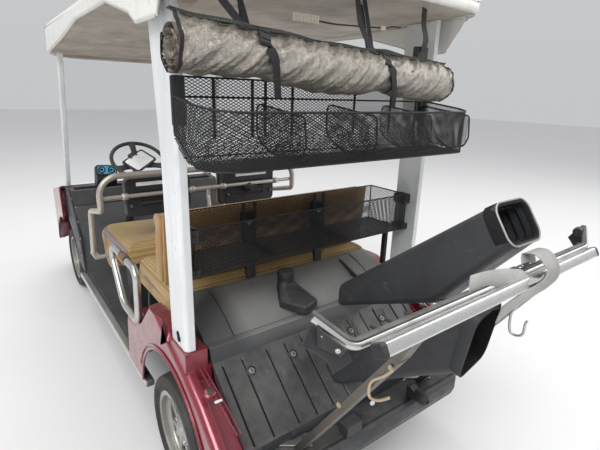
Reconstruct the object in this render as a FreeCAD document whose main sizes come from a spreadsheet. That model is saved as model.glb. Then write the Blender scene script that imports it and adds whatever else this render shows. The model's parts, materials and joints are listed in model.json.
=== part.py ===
import FreeCAD, Part
import math
import os
import Sketcher

# Golf cart with two bench seats, a roof, two mesh baskets and a bag rack at the back.
# Millimetres. +Z is up, the front faces -Y and the cart's left side is +X.
# Every piece is drawn with Y counted from the rear axle, rearwards positive, and is then
# shifted by rear_axle_y, so that the origin is under the middle of the whole cart.

Vector = FreeCAD.Vector

DIMENSIONS = [
    # alias, value, what it is
    ("rear_axle_y", 899.1, "rear axle behind the middle of the cart"),
    ("wheelbase", 2150.0, "rear axle to front axle"),
    ("seat_gap", 0.3, "gap between a piece and its seat"),
    ("tyre_radius", 228.5, "outer radius of a tyre"),
    ("tyre_half_width", 104.0, "half of a tyre's section width"),
    ("tread_half_width", 86.0, "half of the tread's width"),
    ("tread_crown", 7.0, "drop of the tread at its shoulders"),
    ("rim_radius", 152.0, "radius where the tyre sits on the rim"),
    ("rim_wall", 6.0, "thickness of the rim barrel"),
    ("rim_half_width", 88.0, "half of the barrel between its flanges"),
    ("flange_height", 13.0, "height of a rim flange"),
    ("web_offset", 48.0, "inner face of the spokes from the wheel's middle"),
    ("web_thickness", 11.0, "thickness of the spokes"),
    ("hub_radius", 40.0, "outer radius of the hub"),
    ("hub_inboard", 34.0, "hub length inboard of the wheel's middle"),
    ("window_low", 58.0, "inner end of a window between two spokes"),
    ("window_high", 126.0, "outer end of a window between two spokes"),
    ("window_low_half", 12.0, "half width of a window at its inner end"),
    ("window_high_half", 36.0, "half width of a window at its outer end"),
    ("spoke_count", 8.0, "number of spokes"),
    ("cap_radius", 30.0, "radius of the hub cap"),
    ("cap_height", 20.0, "height of the hub cap"),
    ("axle_radius", 15.0, "radius of the stub axles"),
    ("running_gap", 0.05, "radial gap of a bearing"),
    ("rear_track_half", 478.0, "middle plane of a rear wheel from the cart's middle"),
    ("front_track_half", 441.0, "middle plane of a front wheel from the cart's middle"),
    ("axle_tube_radius", 32.0, "radius of the rear axle tubes"),
    ("axle_case_radius", 96.0, "radius of the gear case on the rear axle"),
    ("axle_case_width", 150.0, "width of the gear case"),
    ("kingpin_x", 361.0, "kingpin from the cart's middle"),
    ("kingpin_radius", 14.0, "radius of the kingpin"),
    ("boss_radius", 25.0, "radius of the boss round the kingpin"),
    ("boss_half_height", 30.0, "half height of the kingpin boss"),
    ("cheek_thickness", 13.0, "thickness of a knuckle cheek"),
    ("knuckle_half_depth", 26.0, "half depth of a knuckle, front to rear"),
    ("knuckle_block", 12.0, "thickness of the knuckle's upright block"),
    ("steer_arm_length", 58.0, "length of a knuckle's steering arm"),
    ("beam_half", 20.0, "half height and depth of the front beam"),
    ("rail_x", 170.0, "inner face of the chassis side tubes"),
    ("rail_width", 50.0, "width of a chassis side tube"),
    ("rail_height", 50.0, "height of a chassis side tube"),
    ("floor_rail_z", 205.0, "underside of the side tubes under the floor"),
    ("front_rail_z", 318.0, "underside of the side tubes over the front axle"),
    ("rear_rail_z", 330.0, "underside of the side tubes over the rear axle"),
    ("front_step_y", -2010.0, "where the side tubes step up at the front"),
    ("rear_step_y", -340.0, "where the side tubes step up at the rear"),
    ("frame_front_y", -2600.0, "front end of the chassis"),
    ("outrigger_width", 36.0, "width of a bearer under the floor"),
    ("outrigger_front_y", -1640.0, "front bearer under the floor"),
    ("outrigger_middle_y", -1080.0, "middle bearer under the floor"),
    ("outrigger_rear_y", -640.0, "rear bearer under the floor"),
    ("engine_width", 300.0, "width of the engine"),
    ("engine_depth", 230.0, "depth of the engine"),
    ("engine_height", 250.0, "height of the engine"),
    ("engine_rear_y", -110.0, "rear face of the engine"),
    ("engine_lug_depth", 60.0, "depth of an engine mount"),
    ("floor_z", 262.0, "underside of the floor pan"),
    ("floor_thickness", 18.0, "thickness of the floor pan"),
    ("floor_half_width", 545.0, "half width of the floor pan"),
    ("floor_front_y", -1660.0, "front of the flat floor"),
    ("toe_rise", 420.0, "height of the sloping toe board"),
    ("toe_run", 200.0, "run of the toe board, front to rear"),
    ("floor_rear_y", -590.0, "rear end of the floor"),
    ("mat_thickness", 7.0, "raised mat on the floor"),
    ("mat_margin", 8.0, "edge of the floor left free by the mat"),
    ("sill_width", 36.7, "width of a sill strip"),
    ("sill_low_z", 246.0, "underside of a sill strip"),
    ("sill_high_z", 276.0, "top of a sill strip"),
    ("sill_front_y", -1700.0, "front end of a sill strip"),
    ("sill_rear_y", -302.0, "rear end of a sill strip"),
    ("body_half_width", 586.0, "outer face of the rear body sides"),
    ("body_side_depth", 102.0, "depth of a rear body side, outer to inner face"),
    ("body_wall", 5.0, "wall of the red body mouldings"),
    ("body_corner", 62.0, "rounded front corner of a rear body side"),
    ("body_shoulder", 26.0, "rounded upper edge of a rear body side"),
    ("arch_radius", 322.0, "radius of the rear wheel arches"),
    ("arch_centre_z", 238.0, "height of the rear arch centre"),
    ("arch_lip", 12.0, "width of the raised lip round a rear arch"),
    ("body_front_y", -582.0, "front end of a rear body side"),
    ("body_low_z", 276.6, "lower edge of the body sides"),
    ("ledge_front_z", 505.0, "top of a body side at its front end"),
    ("ledge_hoop_y", -383.0, "where the hip hoop stands on the body side"),
    ("ledge_hoop_z", 531.0, "top of the body side under the hip hoop"),
    ("ledge_high_y", -180.0, "front of the high part of the body side"),
    ("ledge_high_z", 700.0, "high part of the body side"),
    ("foot_low_z", 590.0, "lower end of the pillar's socket"),
    ("foot_top_z", 670.0, "rim of the pillar's socket"),
    ("foot_front_y", 32.0, "front of the pillar's socket"),
    ("foot_rear_y", 166.0, "rear face of the pillar's socket"),
    ("foot_inset", 10.5, "outer face of the socket from the body's outer face"),
    ("foot_width", 80.0, "width of the pillar's socket"),
    ("tail_top_z", 600.0, "crest of the tail at the pillar's socket"),
    ("tail_middle_y", 275.0, "crest of the tail halfway down"),
    ("tail_middle_z", 540.0, "height of the crest halfway down"),
    ("tail_end_y", 470.0, "rear end of the tail"),
    ("tail_end_z", 392.0, "top of the tail at its rear end"),
    ("tail_step", 50.0, "drop from the tail's crest to its inner channel"),
    ("tail_crest_width", 42.0, "width of the tail's crest"),
    ("deck_front_y", -100.0, "front edge of the rear deck"),
    ("deck_front_z", 752.0, "height of the rear deck's front edge"),
    ("deck_bulge", 520.0, "radius of the deck's crowned top"),
    ("deck_low_z", 648.0, "height of the deck ahead of its ridge"),
    ("deck_ridge_y", 156.0, "rear face of the ridge on the deck"),
    ("deck_ridge_z", 652.0, "height of the ridge"),
    ("ridge_width", 28.0, "width of the ridge"),
    ("deck_thickness", 22.0, "thickness of the deck moulding"),
    ("inset_half_width", 372.0, "half width of the deck's recessed panel"),
    ("inset_depth", 3.0, "depth of the deck's recessed panel"),
    ("pod_x", 46.0, "middle of the sensor pod"),
    ("pod_y", 45.0, "middle of the sensor pod, front to rear"),
    ("pod_half", 60.0, "half width of the sensor pod"),
    ("bag_floor_front_y", 172.0, "upper edge of the bag floor"),
    ("bag_floor_front_z", 606.0, "height of the bag floor's upper edge"),
    ("bag_floor_rear_y", 400.0, "lower edge of the bag floor"),
    ("bag_floor_rear_z", 425.0, "height of the bag floor's lower edge"),
    ("bag_floor_thickness", 16.0, "thickness of the bag floor"),
    ("groove_width", 7.0, "width of a groove in the bag floor"),
    ("groove_depth", 5.0, "depth of a groove in the bag floor"),
    ("bumper_half_width", 470.0, "half width of the rear bumper"),
    ("bumper_front_y", 412.0, "front face of the rear bumper"),
    ("bumper_rear_y", 520.0, "rear face of the rear bumper"),
    ("bumper_top_z", 380.0, "ledge on top of the rear bumper"),
    ("bumper_height", 110.0, "height of the rear bumper"),
    ("roller_x", -193.0, "middle of the bumper roller"),
    ("roller_radius", 24.0, "radius of the bumper roller"),
    ("arm_x", 310.0, "rack arms from the cart's middle"),
    ("arm_width", 42.0, "width of a rack arm"),
    ("arm_depth", 22.0, "depth of a rack arm"),
    ("arm_foot_y", 452.0, "foot of a rack arm on the bumper ledge"),
    ("rack_y", 883.0, "middle of the rack rail"),
    ("rack_z", 1043.0, "height of the rack rail"),
    ("rack_half_length", 470.0, "half length of the rack rail"),
    ("rack_depth", 44.0, "depth of the rack rail, square to the arms"),
    ("rack_height", 34.0, "height of the rack rail"),
    ("rack_groove", 9.0, "width of the slot along the rail"),
    ("cap_thickness", 14.0, "thickness of the caps on the rail's ends"),
    ("guard_radius", 9.0, "radius of the bent guard bar"),
    ("guard_bend_x", 512.0, "where the guard bar bends forward"),
    ("guard_end_x", 560.0, "ends of the guard bar"),
    ("guard_pad_height", 92.0, "height of a rubber pad on the guard bar"),
    ("pad_width", 34.0, "width of a rubber pad"),
    ("belt_width", 26.0, "width of a bag belt"),
    ("belt_thickness", 3.0, "thickness of a bag belt"),
    ("belt_left_x", 20.0, "left bag belt"),
    ("belt_right_x", -130.0, "right bag belt"),
    ("hook_x", -62.0, "bag hook under the rail"),
    ("hook_radius", 4.0, "radius of the bag hooks' rod"),
    ("tube_left_x", -101.0, "left wall of the upper club tube"),
    ("tube_width", 176.0, "width of the upper club tube"),
    ("tube_foot_y", 171.0, "rear corner of the upper tube's foot"),
    ("tube_foot_height", 94.0, "height of the upper tube's foot end"),
    ("tube_bend_y", 600.0, "where the upper tube's underside turns up"),
    ("tube_bend_z", 850.0, "height of that turn"),
    ("tube_mouth_low_y", 815.0, "lower lip of the upper tube's mouth"),
    ("tube_mouth_low_z", 1112.0, "height of the lower lip"),
    ("tube_mouth_high_y", 742.0, "upper lip of the upper tube's mouth"),
    ("tube_mouth_high_z", 1218.0, "height of the upper lip"),
    ("low_tube_left_x", 78.0, "left wall of the lower club tube"),
    ("low_tube_width", 168.0, "width of the lower club tube"),
    ("low_tube_foot_y", 282.0, "front corner of the lower tube's foot"),
    ("low_tube_foot_run", 75.0, "run of the lower tube's foot along the bag floor"),
    ("low_tube_low_y", 800.0, "lower lip of the lower tube's mouth"),
    ("low_tube_low_z", 776.0, "height of that lip"),
    ("low_tube_high_y", 826.0, "upper lip of the lower tube's mouth"),
    ("low_tube_high_z", 966.0, "height of that lip"),
    ("tube_wall", 5.0, "wall of the club tubes"),
    ("tube_round", 26.0, "rounded edges of the club tubes"),
    ("cushion_gap", 0.4, "gap under a cushion"),
    ("front_cushion_half", 508.0, "half width of the front cushion"),
    ("front_cushion_front_y", -1360.0, "front edge of the front cushion"),
    ("front_cushion_rear_y", -812.0, "rear edge of the front cushion"),
    ("front_cushion_z", 604.0, "underside of the front cushion"),
    ("front_cushion_height", 108.0, "thickness of the front cushion"),
    ("cushion_nose_drop", 119.0, "how far the front cushion hangs down at its front"),
    ("cushion_round", 30.0, "rounded edges of the cushions"),
    ("front_box_half", 430.0, "half width of the box under the front seat"),
    ("front_box_front_y", -1118.0, "front of the box under the front seat"),
    ("front_box_rear_y", -880.0, "rear of the box under the front seat"),
    ("shell_y", -884.0, "rear face of the front backrest shells"),
    ("shell_depth", 46.0, "depth of a backrest shell"),
    ("shell_low_z", 850.0, "lower edge of a backrest shell"),
    ("shell_high_z", 1052.0, "upper edge of a backrest shell"),
    ("shell_outer_x", 448.0, "outer edge of a backrest shell"),
    ("shell_inner_x", 99.0, "inner edge of a backrest shell"),
    ("shell_corner", 26.0, "rounded corners of a backrest shell"),
    ("shell_recess", 5.0, "depth of the panel in a backrest shell"),
    ("pad_depth", 62.0, "depth of a front backrest pad"),
    ("pad_low_z", 836.0, "lower edge of a front backrest pad"),
    ("pad_high_z", 1045.0, "upper edge of a front backrest pad"),
    ("pad_inner_x", 90.0, "inner edge of a front backrest pad"),
    ("pad_outer_x", 441.0, "outer edge of a front backrest pad"),
    ("seat_tube_radius", 15.0, "radius of the seat frame tube"),
    ("seat_bar_radius", 11.0, "radius of the bar behind the backrest shells"),
    ("seat_tube_x", 575.0, "side of the front seat frame"),
    ("seat_tube_y", -860.0, "upright part of the front seat frame"),
    ("seat_tube_top_z", 1078.0, "middle of the front seat frame's top bar"),
    ("seat_tube_knee_z", 910.0, "where the seat frame turns forward"),
    ("seat_arm_y", -1120.0, "front end of the seat frame's arm"),
    ("seat_arm_z", 850.0, "height of the arm's front end"),
    ("seat_foot_y", -1170.0, "foot of the seat frame"),
    ("seat_foot_z", 594.0, "height of the seat frame's foot"),
    ("seat_bar_z", 967.0, "bar behind the backrest shells"),
    ("rear_cushion_half", 528.0, "half width of the rear cushion"),
    ("rear_cushion_front_y", -560.0, "front edge of the rear cushion"),
    ("rear_cushion_rear_y", -104.0, "rear edge of the rear cushion"),
    ("rear_cushion_z", 652.4, "underside of the rear cushion"),
    ("rear_cushion_height", 112.0, "thickness of the rear cushion"),
    ("rear_box_front_y", -564.0, "front of the box under the rear seat"),
    ("rear_box_margin", 10.0, "gap from the box under the rear seat to the body sides"),
    ("rear_back_y", -286.0, "front face of the rear backrest at its foot"),
    ("rear_back_lean", 24.0, "how far the rear backrest leans back"),
    ("rear_back_depth", 110.0, "thickness of the rear backrest pad"),
    ("rear_back_low_z", 772.0, "lower edge of the rear backrest"),
    ("rear_back_high_z", 1060.0, "upper edge of the rear backrest"),
    ("rear_back_half", 530.0, "half width of the rear backrest"),
    ("rear_back_round", 40.0, "rounded edges of the rear backrest"),
    ("board_thickness", 14.0, "thickness of the board behind the rear backrest"),
    ("board_margin", 14.0, "edge of the backrest pad past its board"),
    ("bracket_x", 158.0, "seat brackets from the cart's middle"),
    ("bracket_width", 42.0, "width of a seat bracket"),
    ("bracket_thickness", 10.0, "thickness of a seat bracket"),
    ("hoop_inset", 4.0, "middle of a hip hoop inside the body's outer face"),
    ("hoop_radius", 15.0, "radius of the hip hoop tube"),
    ("hoop_front_y", -722.0, "front corner of a hip hoop"),
    ("hoop_low_front_y", -550.0, "lower front corner of a hip hoop"),
    ("hoop_rear_y", -300.0, "rear of a hip hoop"),
    ("hoop_low_z", 551.0, "lower bar of a hip hoop"),
    ("hoop_high_z", 800.0, "upper bar of a hip hoop"),
    ("front_pillar_x", 532.0, "middle of the front pillars"),
    ("front_pillar_low_y", -2092.0, "foot of the front pillars"),
    ("front_pillar_high_y", -1759.0, "top of the front pillars"),
    ("front_pillar_high_z", 1656.0, "height of the front pillars' tops"),
    ("front_pillar_width", 30.0, "width of a front pillar"),
    ("front_pillar_depth", 44.0, "depth of a front pillar"),
    ("rear_pillar_inset", 17.0, "outer face of a rear pillar inside the body's outer face"),
    ("rear_pillar_width", 35.0, "width of a rear pillar"),
    ("rear_pillar_front_y", 37.0, "front face of the rear pillars"),
    ("rear_pillar_rear_y", 160.0, "rear face of the rear pillars"),
    ("rear_pillar_flare", 33.0, "how far a rear pillar widens forward at its top"),
    ("pillar_chamfer", 10.0, "chamfer along the rear pillars"),
    ("pillar_hole_radius", 9.0, "radius of the hole in a rear pillar"),
    ("roof_half_width", 606.0, "half width of the roof"),
    ("roof_front_y", -1880.0, "front end of the roof"),
    ("roof_rear_y", 335.0, "rear end of the roof"),
    ("roof_front_corner", 210.0, "radius of the roof's front corners"),
    ("roof_rear_corner", 95.0, "radius of the roof's rear corners"),
    ("roof_front_z", 1660.0, "lower edge of the roof at the front"),
    ("roof_slope_z", 1713.0, "lower edge of the roof over the front seat"),
    ("roof_arch_z", 1762.0, "lower edge of the roof over the rear seat"),
    ("roof_pillar_z", 1668.0, "lower edge of the roof beside the rear pillars"),
    ("roof_tail_z", 1796.0, "lower edge of the roof at the rear"),
    ("roof_crown_z", 1872.0, "top of the roof"),
    ("roof_wall", 14.0, "wall of the roof"),
    ("liner_rise", 12.0, "underside of the roof liner above the roof's lower edge"),
    ("liner_thickness", 10.0, "thickness of the roof liner"),
    ("header_drop", 14.0, "how far the header beam hangs under the liner"),
    ("header_depth", 60.0, "depth of the header beam"),
    ("basket_wall", 3.0, "thickness of the basket mesh"),
    ("basket_left_x", 570.0, "left end of the upper basket"),
    ("basket_right_x", -513.0, "right end of the upper basket"),
    ("basket_depth", 242.0, "depth of the upper basket, front to rear"),
    ("basket_low_z", 1300.0, "underside of the upper basket"),
    ("basket_corner_z", 1365.0, "foot of the upper basket's front wall"),
    ("basket_front_z", 1478.0, "front rim of the upper basket"),
    ("basket_rear_z", 1446.0, "rear rim of the upper basket"),
    ("low_basket_half", 512.0, "half width of the lower basket"),
    ("low_basket_front_y", -104.0, "front of the lower basket"),
    ("low_basket_rear_y", 120.0, "rear of the lower basket"),
    ("low_basket_low_z", 910.0, "underside of the lower basket"),
    ("low_basket_high_z", 1076.0, "rim of the lower basket"),
    ("curtain_radius", 66.0, "radius of the rolled curtain"),
    ("curtain_y", 238.0, "middle of the rolled curtain"),
    ("curtain_z", 1567.0, "height of the rolled curtain"),
    ("curtain_left_x", 600.0, "left end of the rolled curtain"),
    ("curtain_right_x", -560.0, "right end of the rolled curtain"),
    ("strap_width", 26.0, "width of a curtain strap"),
    ("strap_thickness", 2.0, "thickness of a curtain strap"),
    ("strap_left_x", 330.0, "left curtain strap"),
    ("strap_middle_x", -150.0, "middle curtain strap"),
    ("strap_right_x", -405.0, "right curtain strap"),
    ("dash_front_y", -2090.0, "front of the dash"),
    ("dash_rear_y", -1905.0, "rear edge of the dash's top"),
    ("dash_top_z", 802.0, "top of the dash"),
    ("dash_low_z", 560.0, "underside of the dash"),
    ("tray_depth", 80.0, "depth of the tray in the dash"),
    ("gauge_x", 222.0, "right side of the gauge housing"),
    ("gauge_width", 138.0, "width of the gauge housing"),
    ("gauge_height", 138.0, "height of the gauge housing over the dash"),
    ("dial_radius", 27.0, "radius of a dial"),
    ("foot_panel_thickness", 12.0, "thickness of the panels beside the feet"),
    ("foot_panel_rear_y", -1726.0, "rear edge of the panels beside the feet"),
    ("foot_panel_rear_z", 503.0, "height of that rear edge"),
    ("nose_y", -2651.0, "front end of the body"),
    ("nose_half_width", 590.0, "half width of the front body"),
    ("nose_corner", 190.0, "size of the front body's rounded corners"),
    ("front_arch_radius", 318.0, "radius of the front wheel arches"),
    ("cowl_low_z", 300.0, "lower edge of the front body"),
    ("front_bumper_depth", 42.0, "depth of the front bumper"),
    ("front_bumper_low_z", 285.0, "lower edge of the front bumper"),
    ("front_bumper_height", 115.0, "height of the front bumper"),
    ("lamp_x", 380.0, "headlamps from the cart's middle"),
    ("lamp_z", 560.0, "height of the headlamps"),
    ("lamp_radius", 62.0, "radius of a headlamp"),
    ("wheel_x", 212.0, "middle of the steering wheel, to the left"),
    ("wheel_y", -1425.0, "middle of the steering wheel"),
    ("wheel_z", 1060.0, "height of the steering wheel's middle"),
    ("wheel_ring_radius", 158.0, "radius of the steering wheel's ring"),
    ("wheel_ring_section", 11.5, "radius of the ring's section"),
    ("wheel_dish", 26.0, "hub pad below the plane of the ring"),
    ("column_lean", 55.0, "slope of the steering column in degrees"),
    ("column_radius", 26.0, "radius of the steering column's cover"),
    ("shaft_radius", 10.0, "radius of the steering shaft in the wheel's hub"),
    ("windshield_thickness", 4.0, "thickness of the windshield"),
]

SIDES = (("left", 1), ("right", -1))




class Size:
    """A number from the sheet, together with the expression that binds it."""

    def __init__(self, value, text):
        self.value = float(value)
        self.text = text

    def _join(self, other, sign, value):
        return Size(value, "(%s %s %s)" % (self.text, sign, other.text))

    def __add__(self, other):
        other = size(other)
        return self._join(other, "+", self.value + other.value)

    def __radd__(self, other):
        return size(other) + self

    def __sub__(self, other):
        other = size(other)
        return self._join(other, "-", self.value - other.value)

    def __rsub__(self, other):
        return size(other) - self

    def __mul__(self, other):
        other = size(other)
        return self._join(other, "*", self.value * other.value)

    def __rmul__(self, other):
        return size(other) * self

    def __truediv__(self, other):
        other = size(other)
        return self._join(other, "/", self.value / other.value)

    def __neg__(self):
        return Size(-self.value, "(0 - %s)" % self.text)

    def __float__(self):
        return self.value


def size(number):
    if isinstance(number, Size):
        return number
    return Size(number, "%.6g" % number if number >= 0 else "(0 - %.6g)" % -number)


class Dims:
    """The sheet's values by name."""


def make_sheet(doc):
    sheet = doc.addObject("Spreadsheet::Sheet", "Dimensions")
    dims = Dims()
    for row, (alias, value, note) in enumerate(DIMENSIONS, start=1):
        sheet.set("A%d" % row, note)
        sheet.set("B%d" % row, "%g" % value)
        sheet.setAlias("B%d" % row, alias)
        setattr(dims, alias, Size(value, "Dimensions.%s" % alias))
    doc.recompute()
    return dims


doc = FreeCAD.newDocument("GolfCart")
d = make_sheet(doc)
front_y = -d.wheelbase
NODES = []
BASES = {}


def node(obj, label, place=None):
    """Name a finished sub-part and shift it from the rear axle's frame to the cart's."""
    obj.Label = label
    px, py, pz = place or BASES.get(obj.Name) or (0, 0, 0)
    turn = obj.Placement.Rotation
    obj.Placement = FreeCAD.Placement(
        Vector(float(size(px)), float(size(py)) + float(d.rear_axle_y), float(size(pz))), turn)
    obj.setExpression("Placement.Base.x", size(px).text)
    obj.setExpression("Placement.Base.y", (size(py) + d.rear_axle_y).text)
    obj.setExpression("Placement.Base.z", size(pz).text)
    NODES.append(obj)
    return obj


def origin_plane(body, role):
    return [item for item in body.Origin.OriginFeatures if item.Role == role][0]


def arc_centre(start, end, radius):
    """Centre of the arc from start to end; a positive radius bulges to the right."""
    mid = (start + end) * 0.5
    chord = end - start
    half = chord.Length / 2
    reach = math.sqrt(max(radius * radius - half * half, 0.0))
    normal = Vector(-chord.y, chord.x, 0).normalize()
    return mid + normal * (reach if radius > 0 else -reach)


def draw(body, role, name, offset, points):
    """A closed outline. A point is (u, v) or (u, v, radius) where an arc leads to the next one."""
    sketch = body.newObject("Sketcher::SketchObject", name)
    sketch.AttachmentSupport = [(origin_plane(body, role), "")]
    sketch.MapMode = "FlatFace"
    sketch.AttachmentOffset = FreeCAD.Placement(Vector(0, 0, float(size(offset))),
                                                FreeCAD.Rotation())
    sketch.setExpression("AttachmentOffset.Base.z", size(offset).text)
    corners = [(size(p[0]), size(p[1]), p[2] if len(p) > 2 else None) for p in points]
    starts = []
    ends = []
    for index, (u, v, bulge) in enumerate(corners):
        nu, nv, _ = corners[(index + 1) % len(corners)]
        a = Vector(u.value, v.value, 0)
        b = Vector(nu.value, nv.value, 0)
        if bulge is None:
            starts.append((sketch.addGeometry(Part.LineSegment(a, b), False), 1))
            ends.append((starts[-1][0], 2))
            continue
        bulge = size(bulge)
        centre = arc_centre(a, b, bulge.value)
        angle_a = math.atan2(a.y - centre.y, a.x - centre.x)
        angle_b = math.atan2(b.y - centre.y, b.x - centre.x)
        circle = Part.Circle(centre, Vector(0, 0, 1), abs(bulge.value))
        if bulge.value > 0:
            arc = Part.ArcOfCircle(circle, angle_a, angle_b)
            starts.append((sketch.addGeometry(arc, False), 1))
            ends.append((starts[-1][0], 2))
        else:
            arc = Part.ArcOfCircle(circle, angle_b, angle_a)
            starts.append((sketch.addGeometry(arc, False), 2))
            ends.append((starts[-1][0], 1))
    for index, (geo, pos) in enumerate(ends):
        nxt, nxt_pos = starts[(index + 1) % len(starts)]
        sketch.addConstraint(Sketcher.Constraint("Coincident", geo, pos, nxt, nxt_pos))
    for (geo, pos), (u, v, bulge) in zip(starts, corners):
        for kind, value, axis in (("DistanceX", u, -2), ("DistanceY", v, -1)):
            if value.value == 0:
                sketch.addConstraint(Sketcher.Constraint("PointOnObject", geo, pos, axis))
                continue
            number = sketch.addConstraint(
                Sketcher.Constraint(kind, -1, 1, geo, pos, value.value))
            sketch.setExpression("Constraints[%d]" % number, value.text)
        if bulge is not None:
            bulge = size(bulge)
            number = sketch.addConstraint(Sketcher.Constraint("Radius", geo, abs(bulge.value)))
            sign = bulge.text if bulge.value > 0 else "(0 - %s)" % bulge.text
            sketch.setExpression("Constraints[%d]" % number, sign)
    return sketch


def circle_sketch(body, role, name, offset, spots):
    """Circles given as (u, v, radius)."""
    sketch = body.newObject("Sketcher::SketchObject", name)
    sketch.AttachmentSupport = [(origin_plane(body, role), "")]
    sketch.MapMode = "FlatFace"
    sketch.AttachmentOffset = FreeCAD.Placement(Vector(0, 0, float(size(offset))),
                                                FreeCAD.Rotation())
    sketch.setExpression("AttachmentOffset.Base.z", size(offset).text)
    for u, v, radius in spots:
        u, v, radius = size(u), size(v), size(radius)
        geo = sketch.addGeometry(
            Part.Circle(Vector(u.value, v.value, 0), Vector(0, 0, 1), radius.value), False)
        for kind, value, axis in (("DistanceX", u, -2), ("DistanceY", v, -1)):
            if value.value == 0:
                sketch.addConstraint(Sketcher.Constraint("PointOnObject", geo, 3, axis))
                continue
            number = sketch.addConstraint(Sketcher.Constraint(kind, -1, 1, geo, 3, value.value))
            sketch.setExpression("Constraints[%d]" % number, value.text)
        number = sketch.addConstraint(Sketcher.Constraint("Radius", geo, radius.value))
        sketch.setExpression("Constraints[%d]" % number, radius.text)
    return sketch


def new_body(name):
    return doc.addObject("PartDesign::Body", name)


def pad(body, sketch, length, name="Pad"):
    feature = body.newObject("PartDesign::Pad", name)
    feature.Profile = sketch
    feature.Length = float(size(length))
    feature.setExpression("Length", size(length).text)
    doc.recompute()
    return feature


def pocket(body, sketch, length, name="Pocket"):
    """Cuts along the sketch's normal, and checks that something was cut."""
    before = body.Shape.Volume
    feature = body.newObject("PartDesign::Pocket", name)
    feature.Profile = sketch
    feature.Length = float(size(length))
    feature.Reversed = True
    feature.setExpression("Length", size(length).text)
    doc.recompute()
    if body.Shape.Volume > before - 1:
        raise ValueError("pocket %s of %s cuts nothing" % (name, body.Name))
    return feature


def slab(name, role, offset, length, points):
    """A body that is one pad of an outline."""
    body = new_body(name)
    pad(body, draw(body, role, name + "Outline", offset, points), length)
    return body


def picked_edges(shape, test):
    return ["Edge%d" % (i + 1) for i, edge in enumerate(shape.Edges) if test(edge)]


def picked_faces(shape, test):
    return ["Face%d" % (i + 1) for i, face in enumerate(shape.Faces) if test(face)]


def along(axis, edge):
    """True where a straight edge runs along the axis."""
    if len(edge.Vertexes) != 2:
        return False
    run = edge.Vertexes[1].Point - edge.Vertexes[0].Point
    return run.Length > 1e-6 and abs(run.normalize().dot(axis)) > 0.999


X_AXIS = Vector(1, 0, 0)
Y_AXIS = Vector(0, 1, 0)
Z_AXIS = Vector(0, 0, 1)


def fillet(body, radius, test, name="Fillet"):
    tip = body.Tip
    feature = body.newObject("PartDesign::Fillet", name)
    feature.Base = (tip, picked_edges(tip.Shape, test))
    feature.Radius = float(size(radius))
    feature.setExpression("Radius", size(radius).text)
    doc.recompute()
    return feature


def hollow(body, wall, test, name="Thickness"):
    """Open the picked faces and leave a wall behind the others."""
    tip = body.Tip
    feature = body.newObject("PartDesign::Thickness", name)
    feature.Base = (tip, picked_faces(tip.Shape, test))
    feature.Value = float(size(wall))
    feature.Reversed = True
    feature.setExpression("Value", size(wall).text)
    doc.recompute()
    return feature


def box(name, low, high):
    """A Part box between two corners."""
    obj = doc.addObject("Part::Box", name)
    for prop, a, b in zip(("Length", "Width", "Height"), low, high):
        setattr(obj, prop, float(size(b)) - float(size(a)))
        obj.setExpression(prop, (size(b) - size(a)).text)
    obj.Placement.Base = Vector(*[float(size(a)) for a in low])
    for axis, a in zip("xyz", low):
        obj.setExpression("Placement.Base.%s" % axis, size(a).text)
    BASES[obj.Name] = low
    return obj


def rod(name, base, radius, length, axis):
    """A Part cylinder from a point along an axis."""
    obj = doc.addObject("Part::Cylinder", name)
    obj.Radius = float(size(radius))
    obj.Height = float(size(length))
    obj.setExpression("Radius", size(radius).text)
    obj.setExpression("Height", size(length).text)
    obj.Placement = FreeCAD.Placement(Vector(*[float(size(a)) for a in base]),
                                      FreeCAD.Rotation(Z_AXIS, axis))
    for letter, a in zip("xyz", base):
        obj.setExpression("Placement.Base.%s" % letter, size(a).text)
    BASES[obj.Name] = base
    return obj


def joined(name, parts):
    obj = doc.addObject("Part::MultiFuse", name)
    obj.Shapes = parts
    obj.Refine = True
    return obj


def minus(name, base, tool):
    obj = doc.addObject("Part::Cut", name)
    obj.Base = base
    obj.Tool = tool
    return obj


def both(name, first, second):
    obj = doc.addObject("Part::Common", name)
    obj.Base = first
    obj.Tool = second
    return obj


def feature(name, shape):
    obj = doc.addObject("Part::Feature", name)
    obj.Shape = shape
    return obj


def vec(x, y, z):
    return Vector(float(x), float(y), float(z))


def bent_path(points, bends):
    """Straight runs through the points, joined by a tangent arc of its own at each corner."""
    edges = []
    cursor = points[0]
    for i, bend in enumerate(bends, start=1):
        corner = points[i]
        back = (points[i - 1] - corner).normalize()
        ahead = (points[i + 1] - corner).normalize()
        half = back.getAngle(ahead) / 2
        reach = bend / math.tan(half)
        first = corner + back * reach
        last = corner + ahead * reach
        middle = corner + (back + ahead).normalize() * (bend / math.sin(half) - bend)
        edges.append(Part.LineSegment(cursor, first).toShape())
        edges.append(Part.Arc(first, middle, last).toShape())
        cursor = last
    edges.append(Part.LineSegment(cursor, points[-1]).toShape())
    return Part.Wire(edges)


def tube(points, radius, bends):
    """A round rod along bent runs."""
    path = bent_path(points, bends)
    ring = Part.Wire(Part.Circle(points[0], points[1] - points[0], float(radius)).toShape())
    return path.makePipeShell([ring], True, True)


def bar(start, end, width, depth, across=X_AXIS):
    """A rectangular bar between two points: width along across, depth square to it."""
    run = end - start
    side = (across - run * (across.dot(run) / run.dot(run))).normalize()
    other = run.cross(side).normalize()
    w = side * (float(width) / 2)
    t = other * (float(depth) / 2)
    ring = [start + w + t, start - w + t, start - w - t, start + w - t]
    return Part.Face(Part.makePolygon(ring + ring[:1])).extrude(run)


def arch_z(corners, y):
    """Height at y of a polyline given as (y, z) corners."""
    for (ya, za), (yb, zb) in zip(corners, corners[1:]):
        if float(ya) <= float(y) <= float(yb):
            return za + (zb - za) * ((float(y) - float(ya)) / (float(yb) - float(ya)))
    raise ValueError("y is outside the polyline")


# Wheels


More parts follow.
